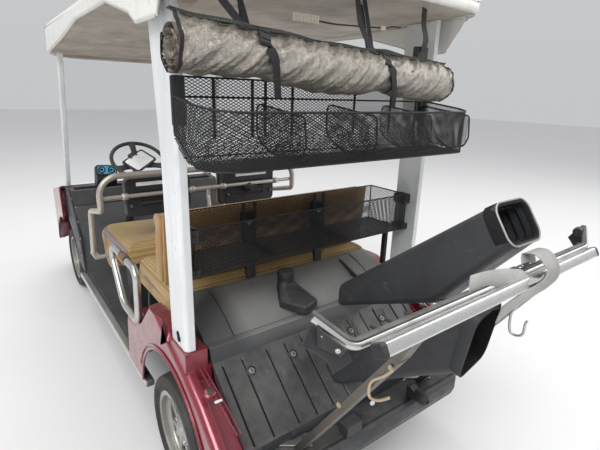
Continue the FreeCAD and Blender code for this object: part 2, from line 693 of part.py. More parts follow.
def tyre_section(body):
    bead = d.rim_radius + d.seat_gap
    shoulder = d.tyre_radius - d.tread_crown
    crown = Size(
        (d.tread_half_width.value ** 2 + d.tread_crown.value ** 2) / (2 * d.tread_crown.value),
        "((Dimensions.tread_half_width ^ 2 + Dimensions.tread_crown ^ 2)"
        " / (2 * Dimensions.tread_crown))")
    lip = d.rim_half_width - d.seat_gap
    step = d.rim_radius + d.flange_height + 2
    belly = (step + shoulder) / 2
    side_round = (shoulder - step) * 1.1
    return draw(body, "XZ_Plane", "Section", 0, [
        (-lip, bead), (lip, bead), (lip, step), (d.tyre_half_width, belly, side_round),
        (d.tread_half_width, shoulder, crown), (-d.tread_half_width, shoulder, side_round),
        (-d.tyre_half_width, belly), (-lip, step)])


def revolve(body, sketch):
    turned = body.newObject("PartDesign::Revolution", "Turned")
    turned.Profile = sketch
    turned.ReferenceAxis = (sketch, ["H_Axis"])
    turned.Angle = 360
    doc.recompute()
    return turned


def rim_section(body):
    seat = d.rim_radius
    inner = d.rim_radius - d.rim_wall
    lip = seat + d.flange_height
    half = d.rim_half_width
    edge = half + d.rim_wall
    web = d.web_offset
    face = d.web_offset + d.web_thickness
    bore = d.axle_radius + d.running_gap
    bore_end = face + d.cap_height - 8
    return draw(body, "XZ_Plane", "Section", 0, [
        (-edge, inner), (web - 14, inner), (web, inner - 12), (web + 6, d.hub_radius),
        (-d.hub_inboard, d.hub_radius), (-d.hub_inboard, bore), (bore_end, bore), (bore_end, 0),
        (face + d.cap_height, 0), (face + d.cap_height, d.cap_radius - 6),
        (face + d.cap_height - 8, d.cap_radius), (face + 6, d.cap_radius + 6),
        (face, inner - 14), (face + 8, inner - 10), (face + 12, inner),
        (edge, inner), (edge, lip), (half, lip), (half, seat),
        (-half, seat), (-half, lip), (-edge, lip)])


def make_wheel(place_name, track_half, axle_y, sign):
    spot = (track_half * sign, axle_y, d.tyre_radius)
    turn = FreeCAD.Rotation(Z_AXIS, 0 if sign > 0 else 180)
    tyre = new_body("Tyre_" + place_name)
    revolve(tyre, tyre_section(tyre))
    tyre.Placement.Rotation = turn
    node(tyre, "tyre_" + place_name, spot)

    rim = new_body("Rim_" + place_name)
    revolve(rim, rim_section(rim))
    window = draw(rim, "YZ_Plane", "Window", d.web_offset - 16, [
        (-d.window_low_half, d.window_low), (d.window_low_half, d.window_low),
        (d.window_high_half, d.window_high, d.window_high),
        (-d.window_high_half, d.window_high)])
    cut = pocket(rim, window, d.web_thickness + 34, "WindowCut")
    ring = rim.newObject("PartDesign::PolarPattern", "WindowRing")
    ring.Originals = [cut]
    ring.Axis = (window, ["N_Axis"])
    ring.Angle = 360
    ring.Occurrences = int(d.spoke_count.value)
    ring.setExpression("Occurrences", d.spoke_count.text)
    rim.Tip = ring
    doc.recompute()
    rim.Placement.Rotation = turn
    node(rim, "rim_" + place_name, spot)


def make_wheels():
    ends = (
        # name, half of the track, axle
        ("front", d.front_track_half, front_y),
        ("rear", d.rear_track_half, size(0)),
    )
    for end, track_half, axle_y in ends:
        for side, sign in SIDES:
            make_wheel("%s_%s" % (end, side), track_half, axle_y, sign)


# Running gear


def spread(sign, near, far):
    """Two distances from the middle as X values in rising order on one side."""
    return (size(near), size(far)) if sign > 0 else (-size(far), -size(near))


def make_rear_axle():
    z = d.tyre_radius
    tube_end = d.rear_track_half - d.hub_inboard - 5
    shaft_end = d.rear_track_half + d.web_offset + d.web_thickness + d.cap_height - 14
    parts = [
        rod("AxleTubes", (-tube_end, 0, z), d.axle_tube_radius, tube_end * 2, X_AXIS),
        rod("AxleShaft", (-shaft_end, 0, z), d.axle_radius, shaft_end * 2, X_AXIS),
        rod("GearCase", (d.axle_case_width / -2, 0, z), d.axle_case_radius,
            d.axle_case_width, X_AXIS),
    ]
    for side, sign in SIDES:
        x0, x1 = spread(sign, d.rail_x, d.rail_x + d.rail_width)
        parts.append(box("AxleSeat_" + side, (x0, -d.axle_tube_radius + 2, z + 15),
                         (x1, d.axle_tube_radius - 2, d.rear_rail_z)))
    node(joined("RearAxle", parts), "rear_axle")


def make_front_beam():
    z = d.tyre_radius
    arm = d.kingpin_x - d.boss_radius + 6
    half = d.beam_half
    parts = [box("Beam", (-arm, front_y - half, z - half), (arm, front_y + half, z + half))]
    bores = []
    for side, sign in SIDES:
        x = d.kingpin_x * sign
        x0, x1 = spread(sign, d.rail_x, d.rail_x + d.rail_width)
        parts.append(rod("Boss_" + side, (x, front_y, z - d.boss_half_height), d.boss_radius,
                         d.boss_half_height * 2, Z_AXIS))
        parts.append(box("Saddle_" + side, (x0, front_y - half - 6, z),
                         (x1, front_y + half + 6, d.front_rail_z)))
        bores.append(rod("Bore_" + side, (x, front_y, z - d.boss_half_height - 5),
                         d.kingpin_radius + d.running_gap, d.boss_half_height * 2 + 10, Z_AXIS))
    beam = minus("FrontBeam", joined("BeamSolid", parts), joined("BeamBores", bores))
    node(beam, "front_axle_beam")


def make_knuckles():
    z = d.tyre_radius
    low = z - d.boss_half_height - d.seat_gap - d.cheek_thickness
    high = z + d.boss_half_height + d.seat_gap
    top = high + d.cheek_thickness
    deep = d.knuckle_half_depth
    block = d.kingpin_x + d.boss_radius + 3
    outer = block + d.knuckle_block
    tip = d.front_track_half + d.web_offset + d.web_thickness + d.cap_height - 14
    for side, sign in SIDES:
        x0, x1 = spread(sign, d.kingpin_x - 18, outer)
        b0, b1 = spread(sign, block, outer)
        s0, s1 = spread(sign, d.kingpin_x - 16, d.kingpin_x + 16)
        t0, t1 = spread(sign, outer - 2, tip)
        parts = [
            box("LowCheek_" + side, (x0, front_y - deep, low),
                (x1, front_y + deep, low + d.cheek_thickness)),
            box("HighCheek_" + side, (x0, front_y - deep, high), (x1, front_y + deep, top)),
            box("Upright_" + side, (b0, front_y - deep, low), (b1, front_y + deep, top)),
            rod("Kingpin_" + side, (d.kingpin_x * sign, front_y, low), d.kingpin_radius,
                top - low, Z_AXIS),
            rod("Stub_" + side, (t0, front_y, z), d.axle_radius, t1 - t0, X_AXIS),
            box("SteerArm_" + side, (s0, front_y + deep - 2, low),
                (s1, front_y + deep + d.steer_arm_length, low + 10)),
        ]
        node(joined("Knuckle" + side, parts), "knuckle_" + side)


def make_chassis():
    parts = []
    lower = d.floor_rail_z
    rail_outer = d.rail_x + d.rail_width
    frame_rear_y = d.bumper_front_y - d.seat_gap
    runs = (
        # name, start, end, underside
        ("Floor", d.front_step_y, d.rear_step_y, lower),
        ("Front", d.frame_front_y, d.front_step_y, d.front_rail_z),
        ("Rear", d.rear_step_y, frame_rear_y, d.rear_rail_z),
    )
    bearers = (
        # name, front edge
        ("Front", d.outrigger_front_y),
        ("Middle", d.outrigger_middle_y),
        ("Rear", d.outrigger_rear_y),
    )
    lug_y = d.engine_rear_y - d.engine_depth / 2 - d.engine_lug_depth / 2
    for side, sign in SIDES:
        x0, x1 = spread(sign, d.rail_x, rail_outer)
        for name, start, end, z in runs:
            parts.append(box("%sRail_%s" % (name, side), (x0, start, z),
                             (x1, end, z + d.rail_height)))
        parts.append(box("FrontPost_" + side, (x0, d.front_step_y, lower),
                         (x1, d.front_step_y + d.rail_height, d.front_rail_z + d.rail_height)))
        parts.append(box("RearPost_" + side, (x0, d.rear_step_y - d.rail_height, lower),
                         (x1, d.rear_step_y, d.rear_rail_z + d.rail_height)))
        o0, o1 = spread(sign, rail_outer - 2, d.floor_half_width)
        for name, y in bearers:
            parts.append(box("%sBearer_%s" % (name, side), (o0, y, lower + 12),
                             (o1, y + d.outrigger_width, d.floor_z)))
        g0, g1 = spread(sign, d.engine_width / 2 + d.seat_gap, d.rail_x + 2)
        parts.append(box("EngineLug_" + side, (g0, lug_y, d.rear_rail_z + 10),
                         (g1, lug_y + d.engine_lug_depth, d.rear_rail_z + 40)))
    crossings = (
        # name, front edge, underside
        ("Front", d.frame_front_y, d.front_rail_z),
        ("Middle", d.outrigger_middle_y, lower),
        ("Rear", frame_rear_y - d.rail_height, d.rear_rail_z),
    )
    for name, y, z in crossings:
        parts.append(box(name + "Cross", (-rail_outer, y, z),
                         (rail_outer, y + d.rail_height, z + d.rail_height)))
    node(joined("Chassis", parts), "chassis_frame")


def make_engine():
    half = d.engine_width / 2
    back = d.engine_rear_y
    node(box("Engine", (-half, back - d.engine_depth, d.tyre_radius),
             (half, back, d.tyre_radius + d.engine_height)), "engine_block")


# Floor


def floor_top():
    return d.floor_z + d.floor_thickness


def make_floor():
    top = floor_top()
    half = d.floor_half_width
    toe_z = top + d.toe_rise
    toe_y = d.floor_front_y - d.toe_run
    pan = slab("FloorPan", "YZ_Plane", -half, half * 2, [
        (d.floor_front_y - 9, d.floor_z), (d.floor_rear_y, d.floor_z),
        (d.floor_rear_y, top), (d.floor_front_y, top), (toe_y, toe_z),
        (toe_y - d.floor_thickness - 2, toe_z)])
    mat_half = half - d.mat_margin
    mat_z = top + d.mat_thickness
    foot = d.rear_box_front_y - 52
    mats = [
        box("FrontMat", (-mat_half, d.floor_front_y + 6, top - 2),
            (mat_half, d.front_box_front_y - 6, mat_z)),
        box("RearMat", (-mat_half, d.front_box_rear_y + 6, top - 2), (mat_half, foot, mat_z)),
    ]
    node(joined("FloorAndMats", [pan] + mats), "floor_pan")
    strips = []
    for side, sign in SIDES:
        x0, x1 = spread(sign, half + d.seat_gap, half + d.seat_gap + d.sill_width)
        body = slab("Sill" + side, "XZ_Plane", -d.sill_rear_y, d.sill_rear_y - d.sill_front_y, [
            (x0, d.sill_low_z), (x1, d.sill_low_z), (x1, d.sill_high_z), (x0, d.sill_high_z)])
        fillet(body, 6, lambda e: along(Y_AXIS, e))
        strips.append(body)
    node(joined("SillTrim", strips), "sill_trim")


# Seats


def make_front_cushion():
    rear = d.front_cushion_rear_y
    front = d.front_cushion_front_y
    low = d.front_cushion_z + d.cushion_gap
    top = low + d.front_cushion_height
    nose_z = low - d.cushion_nose_drop
    apron_y = d.front_box_front_y - 3
    half = d.front_cushion_half
    body = slab("FrontCushion", "YZ_Plane", -half, half * 2, [
        (apron_y, nose_z), (apron_y, low), (rear, low), (rear, top), (front + 80, top),
        (front + 24, top - 34), (front, top - 84), (front + 60, nose_z + 76),
        (front + 160, nose_z)])
    ends = (float(half) - 1, float(low) + 1)
    fillet(body, d.cushion_round, lambda e: abs(e.CenterOfMass.x) > ends[0]
           and e.CenterOfMass.z > ends[1] and e.CenterOfMass.y > float(front) + 30)
    node(body, "front_seat_cushion")


def make_front_seat():
    top = floor_top() + d.seat_gap
    base = slab("FrontBox", "YZ_Plane", -d.front_box_half, d.front_box_half * 2, [
        (d.front_box_front_y + 40, top), (d.front_box_rear_y - 30, top),
        (d.front_box_rear_y, d.front_cushion_z), (d.front_box_front_y, d.front_cushion_z)])
    fillet(base, 24, lambda e: not along(X_AXIS, e) and not along(Y_AXIS, e))
    node(base, "front_seat_base")
    make_front_cushion()
    shells = []
    covers = []
    front = d.shell_y - d.shell_depth
    for side, sign in SIDES:
        x0, x1 = spread(sign, d.shell_inner_x, d.shell_outer_x)
        shell = slab("Shell" + side, "YZ_Plane", x0, x1 - x0, [
            (front, d.shell_low_z), (d.shell_y, d.shell_low_z), (d.shell_y, d.shell_high_z),
            (front, d.shell_high_z)])
        fillet(shell, d.shell_corner, lambda e: along(Y_AXIS, e))
        fillet(shell, 8, lambda e: abs(e.CenterOfMass.y - float(d.shell_y)) < 1, "Rounded")
        panel = draw(shell, "XZ_Plane", "Panel", -d.shell_y - 1, [
            (x0 + 78, d.shell_low_z + 46), (x1 - 78, d.shell_low_z + 46),
            (x1 - 78, d.shell_high_z - 66), (x0 + 78, d.shell_high_z - 66)])
        pocket(shell, panel, d.shell_recess + 1, "PanelCut")
        shells.append(shell)
        p0, p1 = spread(sign, d.pad_inner_x, d.pad_outer_x)
        pad_rear = front - d.seat_gap
        cover = slab("BackPad" + side, "YZ_Plane", p0, p1 - p0, [
            (pad_rear - d.pad_depth, d.pad_low_z), (pad_rear, d.pad_low_z),
            (pad_rear, d.pad_high_z), (pad_rear - d.pad_depth, d.pad_high_z)])
        fillet(cover, 20, lambda e: e.CenterOfMass.y < float(pad_rear) - 1)
        covers.append(cover)
    node(joined("BackShells", shells), "front_backrest_shells")
    node(joined("BackPads", covers), "front_backrest_pads")


def make_front_seat_frame():
    x = d.seat_tube_x
    y = d.seat_tube_y
    side_run = (
        # y, z, bend at this corner
        (d.seat_foot_y, d.seat_foot_z, 0),
        (d.seat_arm_y, d.seat_arm_z, 42),
        (y, d.seat_tube_knee_z, 24),
        (y, d.seat_tube_top_z, 96),
    )
    left = [vec(x, py, pz) for py, pz, _ in side_run]
    right = [vec(-x, py, pz) for py, pz, _ in side_run][::-1]
    bends = [bend for _, _, bend in side_run][1:]
    pieces = [tube(left + right, d.seat_tube_radius, bends + bends[::-1])]
    bar_y = d.shell_y + d.seat_gap + d.seat_bar_radius
    pieces.append(Part.makeCylinder(float(d.seat_bar_radius), float(x * 2),
                                    vec(-x, bar_y, d.seat_bar_z), X_AXIS))
    leg_y = d.front_cushion_rear_y + d.seat_bar_radius + 4
    base_z = d.seat_foot_z - 8
    leg = [vec(0, bar_y, d.seat_bar_z), vec(0, bar_y, d.seat_bar_z - 50),
           vec(26, leg_y, d.seat_bar_z - 130), vec(26, leg_y, base_z)]
    pieces.append(tube(leg, d.seat_bar_radius, [30, 30]))
    back = d.front_box_rear_y + d.seat_gap
    pieces.append(Part.makeBox(36, float(leg_y - back), 14, vec(8, back, base_z - 14)))
    side_x = d.front_box_half + d.seat_gap
    plate_z = d.seat_foot_z - 6
    for sign in (1, -1):
        p0, _ = spread(sign, x - 15, x + 15)
        pieces.append(Part.makeBox(30, float(d.seat_arm_y - d.seat_foot_y) + 75, 10,
                                   vec(p0, d.seat_foot_y - 20, plate_z)))
        q0, q1 = spread(sign, side_x, x + 15)
        pieces.append(Part.makeBox(float(q1 - q0), 40, 10,
                                   vec(q0, d.seat_arm_y + 15, plate_z)))
    node(feature("SeatFrame", pieces[0].fuse(pieces[1:])), "front_seat_frame")


def rear_board_y(z):
    """Rear face of the board behind the rear backrest, at a height."""
    rise = d.rear_back_high_z - d.rear_back_low_z
    lean = d.rear_back_lean * ((size(z) - d.rear_back_low_z) / rise)
    return d.rear_back_y + d.rear_back_depth + d.seat_gap + d.board_thickness + lean


def make_rear_seat():
    top = floor_top() + d.seat_gap
    front = d.rear_box_front_y
    rear = d.rear_cushion_rear_y - 6
    seat_z = d.rear_cushion_z
    half = d.body_half_width - d.body_side_depth - d.rear_box_margin
    riser = slab("RearBox", "YZ_Plane", -half, half * 2, [
        (front - 48, top), (front, top), (front + 50, seat_z - 12), (rear, seat_z - 12),
        (rear, seat_z), (front + 30, seat_z), (front - 20, top + 8), (front - 48, top + 8)])
    node(riser, "rear_seat_base")
    half = d.rear_cushion_half
    y0, y1 = d.rear_cushion_front_y, d.rear_cushion_rear_y
    low = seat_z + d.cushion_gap
    high = low + d.rear_cushion_height
    cushion = slab("RearCushion", "YZ_Plane", -half, half * 2, [
        (y0, low), (y1, low), (y1, high), (y0 + 30, high), (y0, high - 22)])
    fillet(cushion, d.cushion_round, lambda e: not along(X_AXIS, e)
           and e.CenterOfMass.z > float(low) + 1)
    node(cushion, "rear_seat_cushion")
    low, high = d.rear_back_low_z, d.rear_back_high_z
    y0, lean, deep = d.rear_back_y, d.rear_back_lean, d.rear_back_depth
    half = d.rear_back_half
    back = slab("RearBack", "YZ_Plane", -half, half * 2, [
        (y0, low), (y0 + deep, low), (y0 + deep + lean, high), (y0 + lean, high)])
    fillet(back, d.rear_back_round, lambda e: not along(Y_AXIS, e)
           and e.CenterOfMass.z > float(high) - 1)
    node(back, "rear_backrest_pad")
    y1 = y0 + deep + d.seat_gap
    half = half - d.board_margin
    board = slab("RearBoard", "YZ_Plane", -half, half * 2, [
        (y1, low), (y1 + d.board_thickness, low), (y1 + d.board_thickness + lean, high),
        (y1 + lean, high)])
    node(board, "rear_backrest_board")


def make_seat_brackets():
    """Two upright straps that carry the rear backrest and the lower basket."""
    parts = []
    foot_y = d.deck_front_y + 2
    basket_z = d.low_basket_low_z - d.seat_gap
    t = d.bracket_thickness
    low_touch = d.rear_back_high_z - 80
    high_touch = d.rear_back_high_z - 30
    ahead = d.low_basket_front_y - d.seat_gap
    for side, sign in SIDES:
        x0, x1 = spread(sign, d.bracket_x, d.bracket_x + d.bracket_width)
        parts.append(slab("Strap" + side, "YZ_Plane", x0, x1 - x0, [
            (foot_y, d.deck_front_z + d.seat_gap), (foot_y + t, d.deck_front_z + d.seat_gap),
            (foot_y + t, basket_z - t), (d.low_basket_rear_y - 40, basket_z - t),
            (d.low_basket_rear_y - 40, basket_z), (ahead, basket_z),
            (ahead, high_touch), (rear_board_y(high_touch) + d.seat_gap, high_touch),
            (rear_board_y(low_touch) + d.seat_gap, low_touch)]))
    node(joined("SeatBrackets", parts), "seat_brackets")


def ledge_line():
    """Top line of a rear body side ahead of its high part, as (y, z) corners."""
    return [
        (d.body_front_y + 32, d.ledge_front_z), (d.ledge_hoop_y, d.ledge_hoop_z),
        (d.ledge_hoop_y + 55, d.ledge_hoop_z + 21)]


def make_hip_hoops():
    corners = (
        # y, z, bend at this corner
        (d.hoop_rear_y - 28, d.hoop_low_z, 55),
        (d.hoop_low_front_y, d.hoop_low_z - 6, 90),
        (d.hoop_front_y, d.hoop_high_z - 4, 52),
        (d.hoop_rear_y, d.hoop_high_z, 46),
    )
    hoops = []
    x_middle = d.body_half_width - d.hoop_inset
    foot_y = d.ledge_hoop_y - 48
    foot_z = arch_z(ledge_line(), foot_y) + d.seat_gap
    for sign in (1, -1):
        x = x_middle * sign
        first, last = corners[0], corners[-1]
        start = vec(x, (first[0] + last[0]) / 2, (first[1] + last[1]) / 2)
        run = [start] + [vec(x, y, z) for y, z, _ in corners] + [start]
        hoop = tube(run, d.hoop_radius, [bend for _, _, bend in corners])
        x0, x1 = spread(sign, x_middle - 40, x_middle)
        foot = Part.Face(Part.makePolygon([
            vec(x0, foot_y, foot_z), vec(x0, d.ledge_hoop_y, d.ledge_hoop_z + d.seat_gap),
            vec(x0, d.ledge_hoop_y, d.hoop_low_z), vec(x0, foot_y, d.hoop_low_z),
            vec(x0, foot_y, foot_z)])).extrude(vec(x1 - x0, 0, 0))
        hoops.append(hoop.fuse(foot))
    node(feature("HipHoops", hoops[0].fuse(hoops[1])), "hip_hoops")


# Red body and rear deck


def make_rear_body():
    inner = d.body_half_width - d.body_side_depth
    front = d.body_front_y
    high_z = d.ledge_high_z
    halves = []
    for side, sign in SIDES:
        x0, x1 = spread(sign, inner, d.body_half_width)
        body = slab("RearSide" + side, "YZ_Plane", x0, x1 - x0, [
            (front, d.body_low_z), (d.tail_end_y - 60, d.body_low_z),
            (d.tail_end_y, d.body_low_z + 30), (d.tail_end_y, d.tail_end_z),
            (d.tail_middle_y, d.tail_middle_z), (d.foot_rear_y, d.tail_top_z),
            (d.foot_front_y, d.tail_top_z + 55), (d.foot_front_y - 92, high_z),
            (d.ledge_high_y, high_z)] + ledge_line()[::-1])
        outer = float(d.body_half_width) * sign

        def outside(edge):
            return abs(edge.CenterOfMass.x - outer) < 1

        fillet(body, d.body_corner, lambda e: outside(e)
               and e.CenterOfMass.y < float(front) + 40 and not along(Y_AXIS, e), "Corner")
        fillet(body, d.body_shoulder, lambda e: outside(e) and not along(Y_AXIS, e)
               and e.CenterOfMass.z > float(d.tail_end_z) + 20
               and e.CenterOfMass.y > float(front) + 70, "Shoulder")
        c0, c1 = spread(sign, inner, d.rear_cushion_half + 3)
        ledge = draw(body, "YZ_Plane", "SeatLedge", c0, [
            (front - 10, d.rear_cushion_z), (d.deck_front_y, d.rear_cushion_z),
            (d.deck_front_y, high_z + 40), (front - 10, high_z + 40)])
        pocket(body, ledge, c1 - c0, "LedgeCut")
        c0, c1 = spread(sign, inner, d.body_half_width - d.tail_crest_width)
        step = d.tail_step
        channel = draw(body, "YZ_Plane", "TailChannel", c0, [
            (d.foot_rear_y, d.tail_top_z - step), (d.tail_middle_y, d.tail_middle_z - step),
            (d.tail_end_y, d.tail_end_z - step), (d.tail_end_y + 10, d.tail_end_z + 10),
            (d.tail_end_y + 10, d.tail_top_z + 20), (d.foot_rear_y, d.tail_top_z + 20)])
        pocket(body, channel, c1 - c0, "ChannelCut")
        c0, c1 = spread(sign, inner - 1, d.body_half_width - d.body_wall)
        wall = d.body_wall
        under = d.body_shoulder * 0.7
        cavity = draw(body, "YZ_Plane", "Cavity", c0, [
            (front + d.body_corner, d.body_low_z - 10), (d.tail_end_y - wall, d.body_low_z - 10),
            (d.tail_end_y - wall, d.tail_end_z - step - wall),
            (d.tail_middle_y, d.tail_middle_z - step - wall),
            (d.foot_rear_y, d.tail_top_z - step - wall), (d.foot_front_y, d.tail_top_z - wall),
            (d.deck_front_y, d.rear_cushion_z - wall),
            (d.ledge_high_y + 20, d.rear_cushion_z - wall),
            (d.ledge_hoop_y + 75, d.ledge_hoop_z + 9), (d.ledge_hoop_y, d.ledge_hoop_z - under),
            (front + d.body_corner, d.ledge_front_z - under)])
        pocket(body, cavity, c1 - c0, "CavityCut")
        arch = circle_sketch(body, "YZ_Plane", "Arch" + side, x0 - 10,
                             [(0, d.arch_centre_z, d.arch_radius)])
        pocket(body, arch, x1 - x0 + 20, "ArchCut")
        l0, l1 = spread(sign, d.body_half_width - d.body_wall + 1, d.body_half_width + 4)
        ring = minus("ArchLip" + side,
                     rod("LipOuter" + side, (l0, 0, d.arch_centre_z), d.arch_radius + d.arch_lip,
                         l1 - l0, X_AXIS),
                     rod("LipInner" + side, (l0 - 1, 0, d.arch_centre_z), d.arch_radius,
                         l1 - l0 + 2, X_AXIS))
        reach = d.arch_radius + d.arch_lip
        keep = box("LipKeep" + side, (l0 - 1, -reach, d.body_low_z),
                   (l1 + 1, reach, d.arch_centre_z + reach))
        s0, s1 = spread(sign, d.body_half_width - d.foot_inset - d.foot_width,
                        d.body_half_width - d.foot_inset)
        socket = box("PillarSocket" + side, (s0, d.foot_front_y, d.foot_low_z),
                     (s1, d.foot_rear_y, d.foot_top_z))
        halves += [body, both("Lip" + side, ring, keep), socket]
    node(joined("RearBody", halves), "rear_body")


def make_deck():
    half = d.body_half_width - d.body_side_depth - d.seat_gap
    t = d.deck_thickness
    y0, z0 = d.deck_front_y, d.deck_front_z
    low_y, low_z = d.deck_ridge_y - d.ridge_width - 10, d.deck_low_z
    ridge_y = d.deck_ridge_y
    seat_y = d.bag_floor_front_y - d.seat_gap
    seat_z = d.bag_floor_front_z
    bulge = d.deck_bulge
    shell = slab("DeckShell", "YZ_Plane", -half, half * 2, [
        (y0, z0 - t, -bulge), (low_y, low_z - t), (ridge_y - 14, low_z - t),
        (ridge_y - 14, seat_z - 20), (seat_y, seat_z - 20), (seat_y, seat_z + 6),
        (ridge_y, d.deck_ridge_z - 12), (ridge_y - 4, d.deck_ridge_z),
        (ridge_y - d.ridge_width, d.deck_ridge_z), (low_y, low_z, bulge), (y0, z0)])
    skirts = []
    for side, sign in SIDES:
        x0, x1 = spread(sign, half - 14, half)
        skirts.append(slab("DeckSkirt" + side, "YZ_Plane", x0, x1 - x0, [
            (y0, d.ledge_high_z - 20), (d.foot_front_y, d.tail_top_z + 30),
            (ridge_y - 16, d.tail_top_z - 14), (ridge_y - 6, d.tail_top_z),
            (low_y, low_z - 8), (y0, z0 - 8)]))
    recess = slab("DeckRecess", "YZ_Plane", -d.inset_half_width, d.inset_half_width * 2, [
        (low_y, low_z - d.inset_depth, bulge), (y0 + 14, z0 - d.inset_depth - 4),
        (y0 + 14, z0 + 30), (low_y, z0 + 30)])
    node(minus("Deck", joined("DeckSolid", [shell] + skirts), recess), "rear_deck")


def deck_surface(y):
    """Height of the recessed panel on the deck."""
    y0, z0 = d.deck_front_y.value + 14, d.deck_front_z.value - d.inset_depth.value - 4
    y1 = d.deck_ridge_y.value - d.ridge_width.value - 10
    z1 = d.deck_low_z.value - d.inset_depth.value
    centre = arc_centre(Vector(y1, z1, 0), Vector(y0, z0, 0), d.deck_bulge.value)
    rise = math.sqrt(d.deck_bulge.value ** 2 - (float(y) - centre.x) ** 2)
    return centre.y + rise


def make_pod():
    x, y, half = d.pod_x, d.pod_y, d.pod_half
    z, low = deck_surface(y - 40), deck_surface(y + 34)
    crown = deck_surface(y - 3) - (z + low) / 2
    z += crown + d.seat_gap.value
    low += crown + d.seat_gap.value
    start = vec(x - half, 0, 0)
    base = Part.Face(Part.makePolygon([
        start + vec(0, y - 40, z), start + vec(0, y + 34, low), start + vec(0, y + 34, low + 26),
        start + vec(0, y + 14, z + 34), start + vec(0, y - 30, z + 36),
        start + vec(0, y - 40, z)])).extrude(vec(half * 2, 0, 0))
    neck = Part.makeCone(30, 21, 36, vec(x, y - 8, z + 26))
    cap = Part.makeCylinder(25, 26, vec(x, y - 8, z + 62))
    node(feature("SensorPod", base.fuse([neck, cap])), "sensor_pod")


GROOVE_X = (115, 190, 260, 370, 436)


def make_bag_floor():
    half = d.body_half_width - d.body_side_depth - d.seat_gap
    y0, z0 = d.bag_floor_front_y, d.bag_floor_front_z
    y1, z1 = d.bag_floor_rear_y, d.bag_floor_rear_z
    t = d.bag_floor_thickness
    seat_y = d.bumper_front_y - d.seat_gap
    seat_z = d.bumper_top_z + d.seat_gap
    plate = slab("BagPlate", "YZ_Plane", -half, half * 2, [
        (y0, z0), (y0, z0 - t), (y1 - t, z1 - t), (y1 - t, seat_z), (seat_y, seat_z),
        (seat_y, seat_z + 10), (y1, seat_z + 12), (y1, z1)])
    cuts = []
    w = d.groove_width / 2
    for number, x in enumerate(GROOVE_X):
        for side, sign in SIDES:
            cuts.append(slab("Groove%d%s" % (number, side), "YZ_Plane",
                             size(x * sign) - w, w * 2, [
                (y0 + 16, z0 + 10), (y0 + 16, z0 - 16 - d.groove_depth),
                (y1 - 14, z1 + 8 - d.groove_depth), (y1 - 14, z1 + 40)]))
    node(minus("BagFloor", plate, joined("Grooves", cuts)), "bag_floor")


def make_rear_bumper():
    half = d.bumper_half_width
    top = d.bumper_top_z
    rear = d.bumper_rear_y
    body = slab("Bumper", "YZ_Plane", -half, half * 2, [
        (d.bumper_front_y, top), (d.bumper_front_y, top - d.bumper_height),
        (rear - 20, top - d.bumper_height), (rear, top - 60), (rear, top - 16), (rear - 16, top)])
    fillet(body, 18, lambda e: along(Z_AXIS, e) and e.CenterOfMass.y > float(d.bumper_front_y) + 5)
    node(body, "rear_bumper")
    x, r = d.roller_x, d.roller_radius
    seat = top + d.seat_gap
    arm = box("RollerArm", (x - 29, rear - 42, seat), (x - 15, rear + 36, seat + 36))
    roller = rod("Roller", (x - 16, rear + 28, seat + r), r, 30, X_AXIS)
    node(joined("TowRoller", [arm, roller]), "bumper_roller")
    node(box("Latch", (90, rear - 50, seat), (160, rear - 4, seat + 44)), "latch_box")


# Bag rack


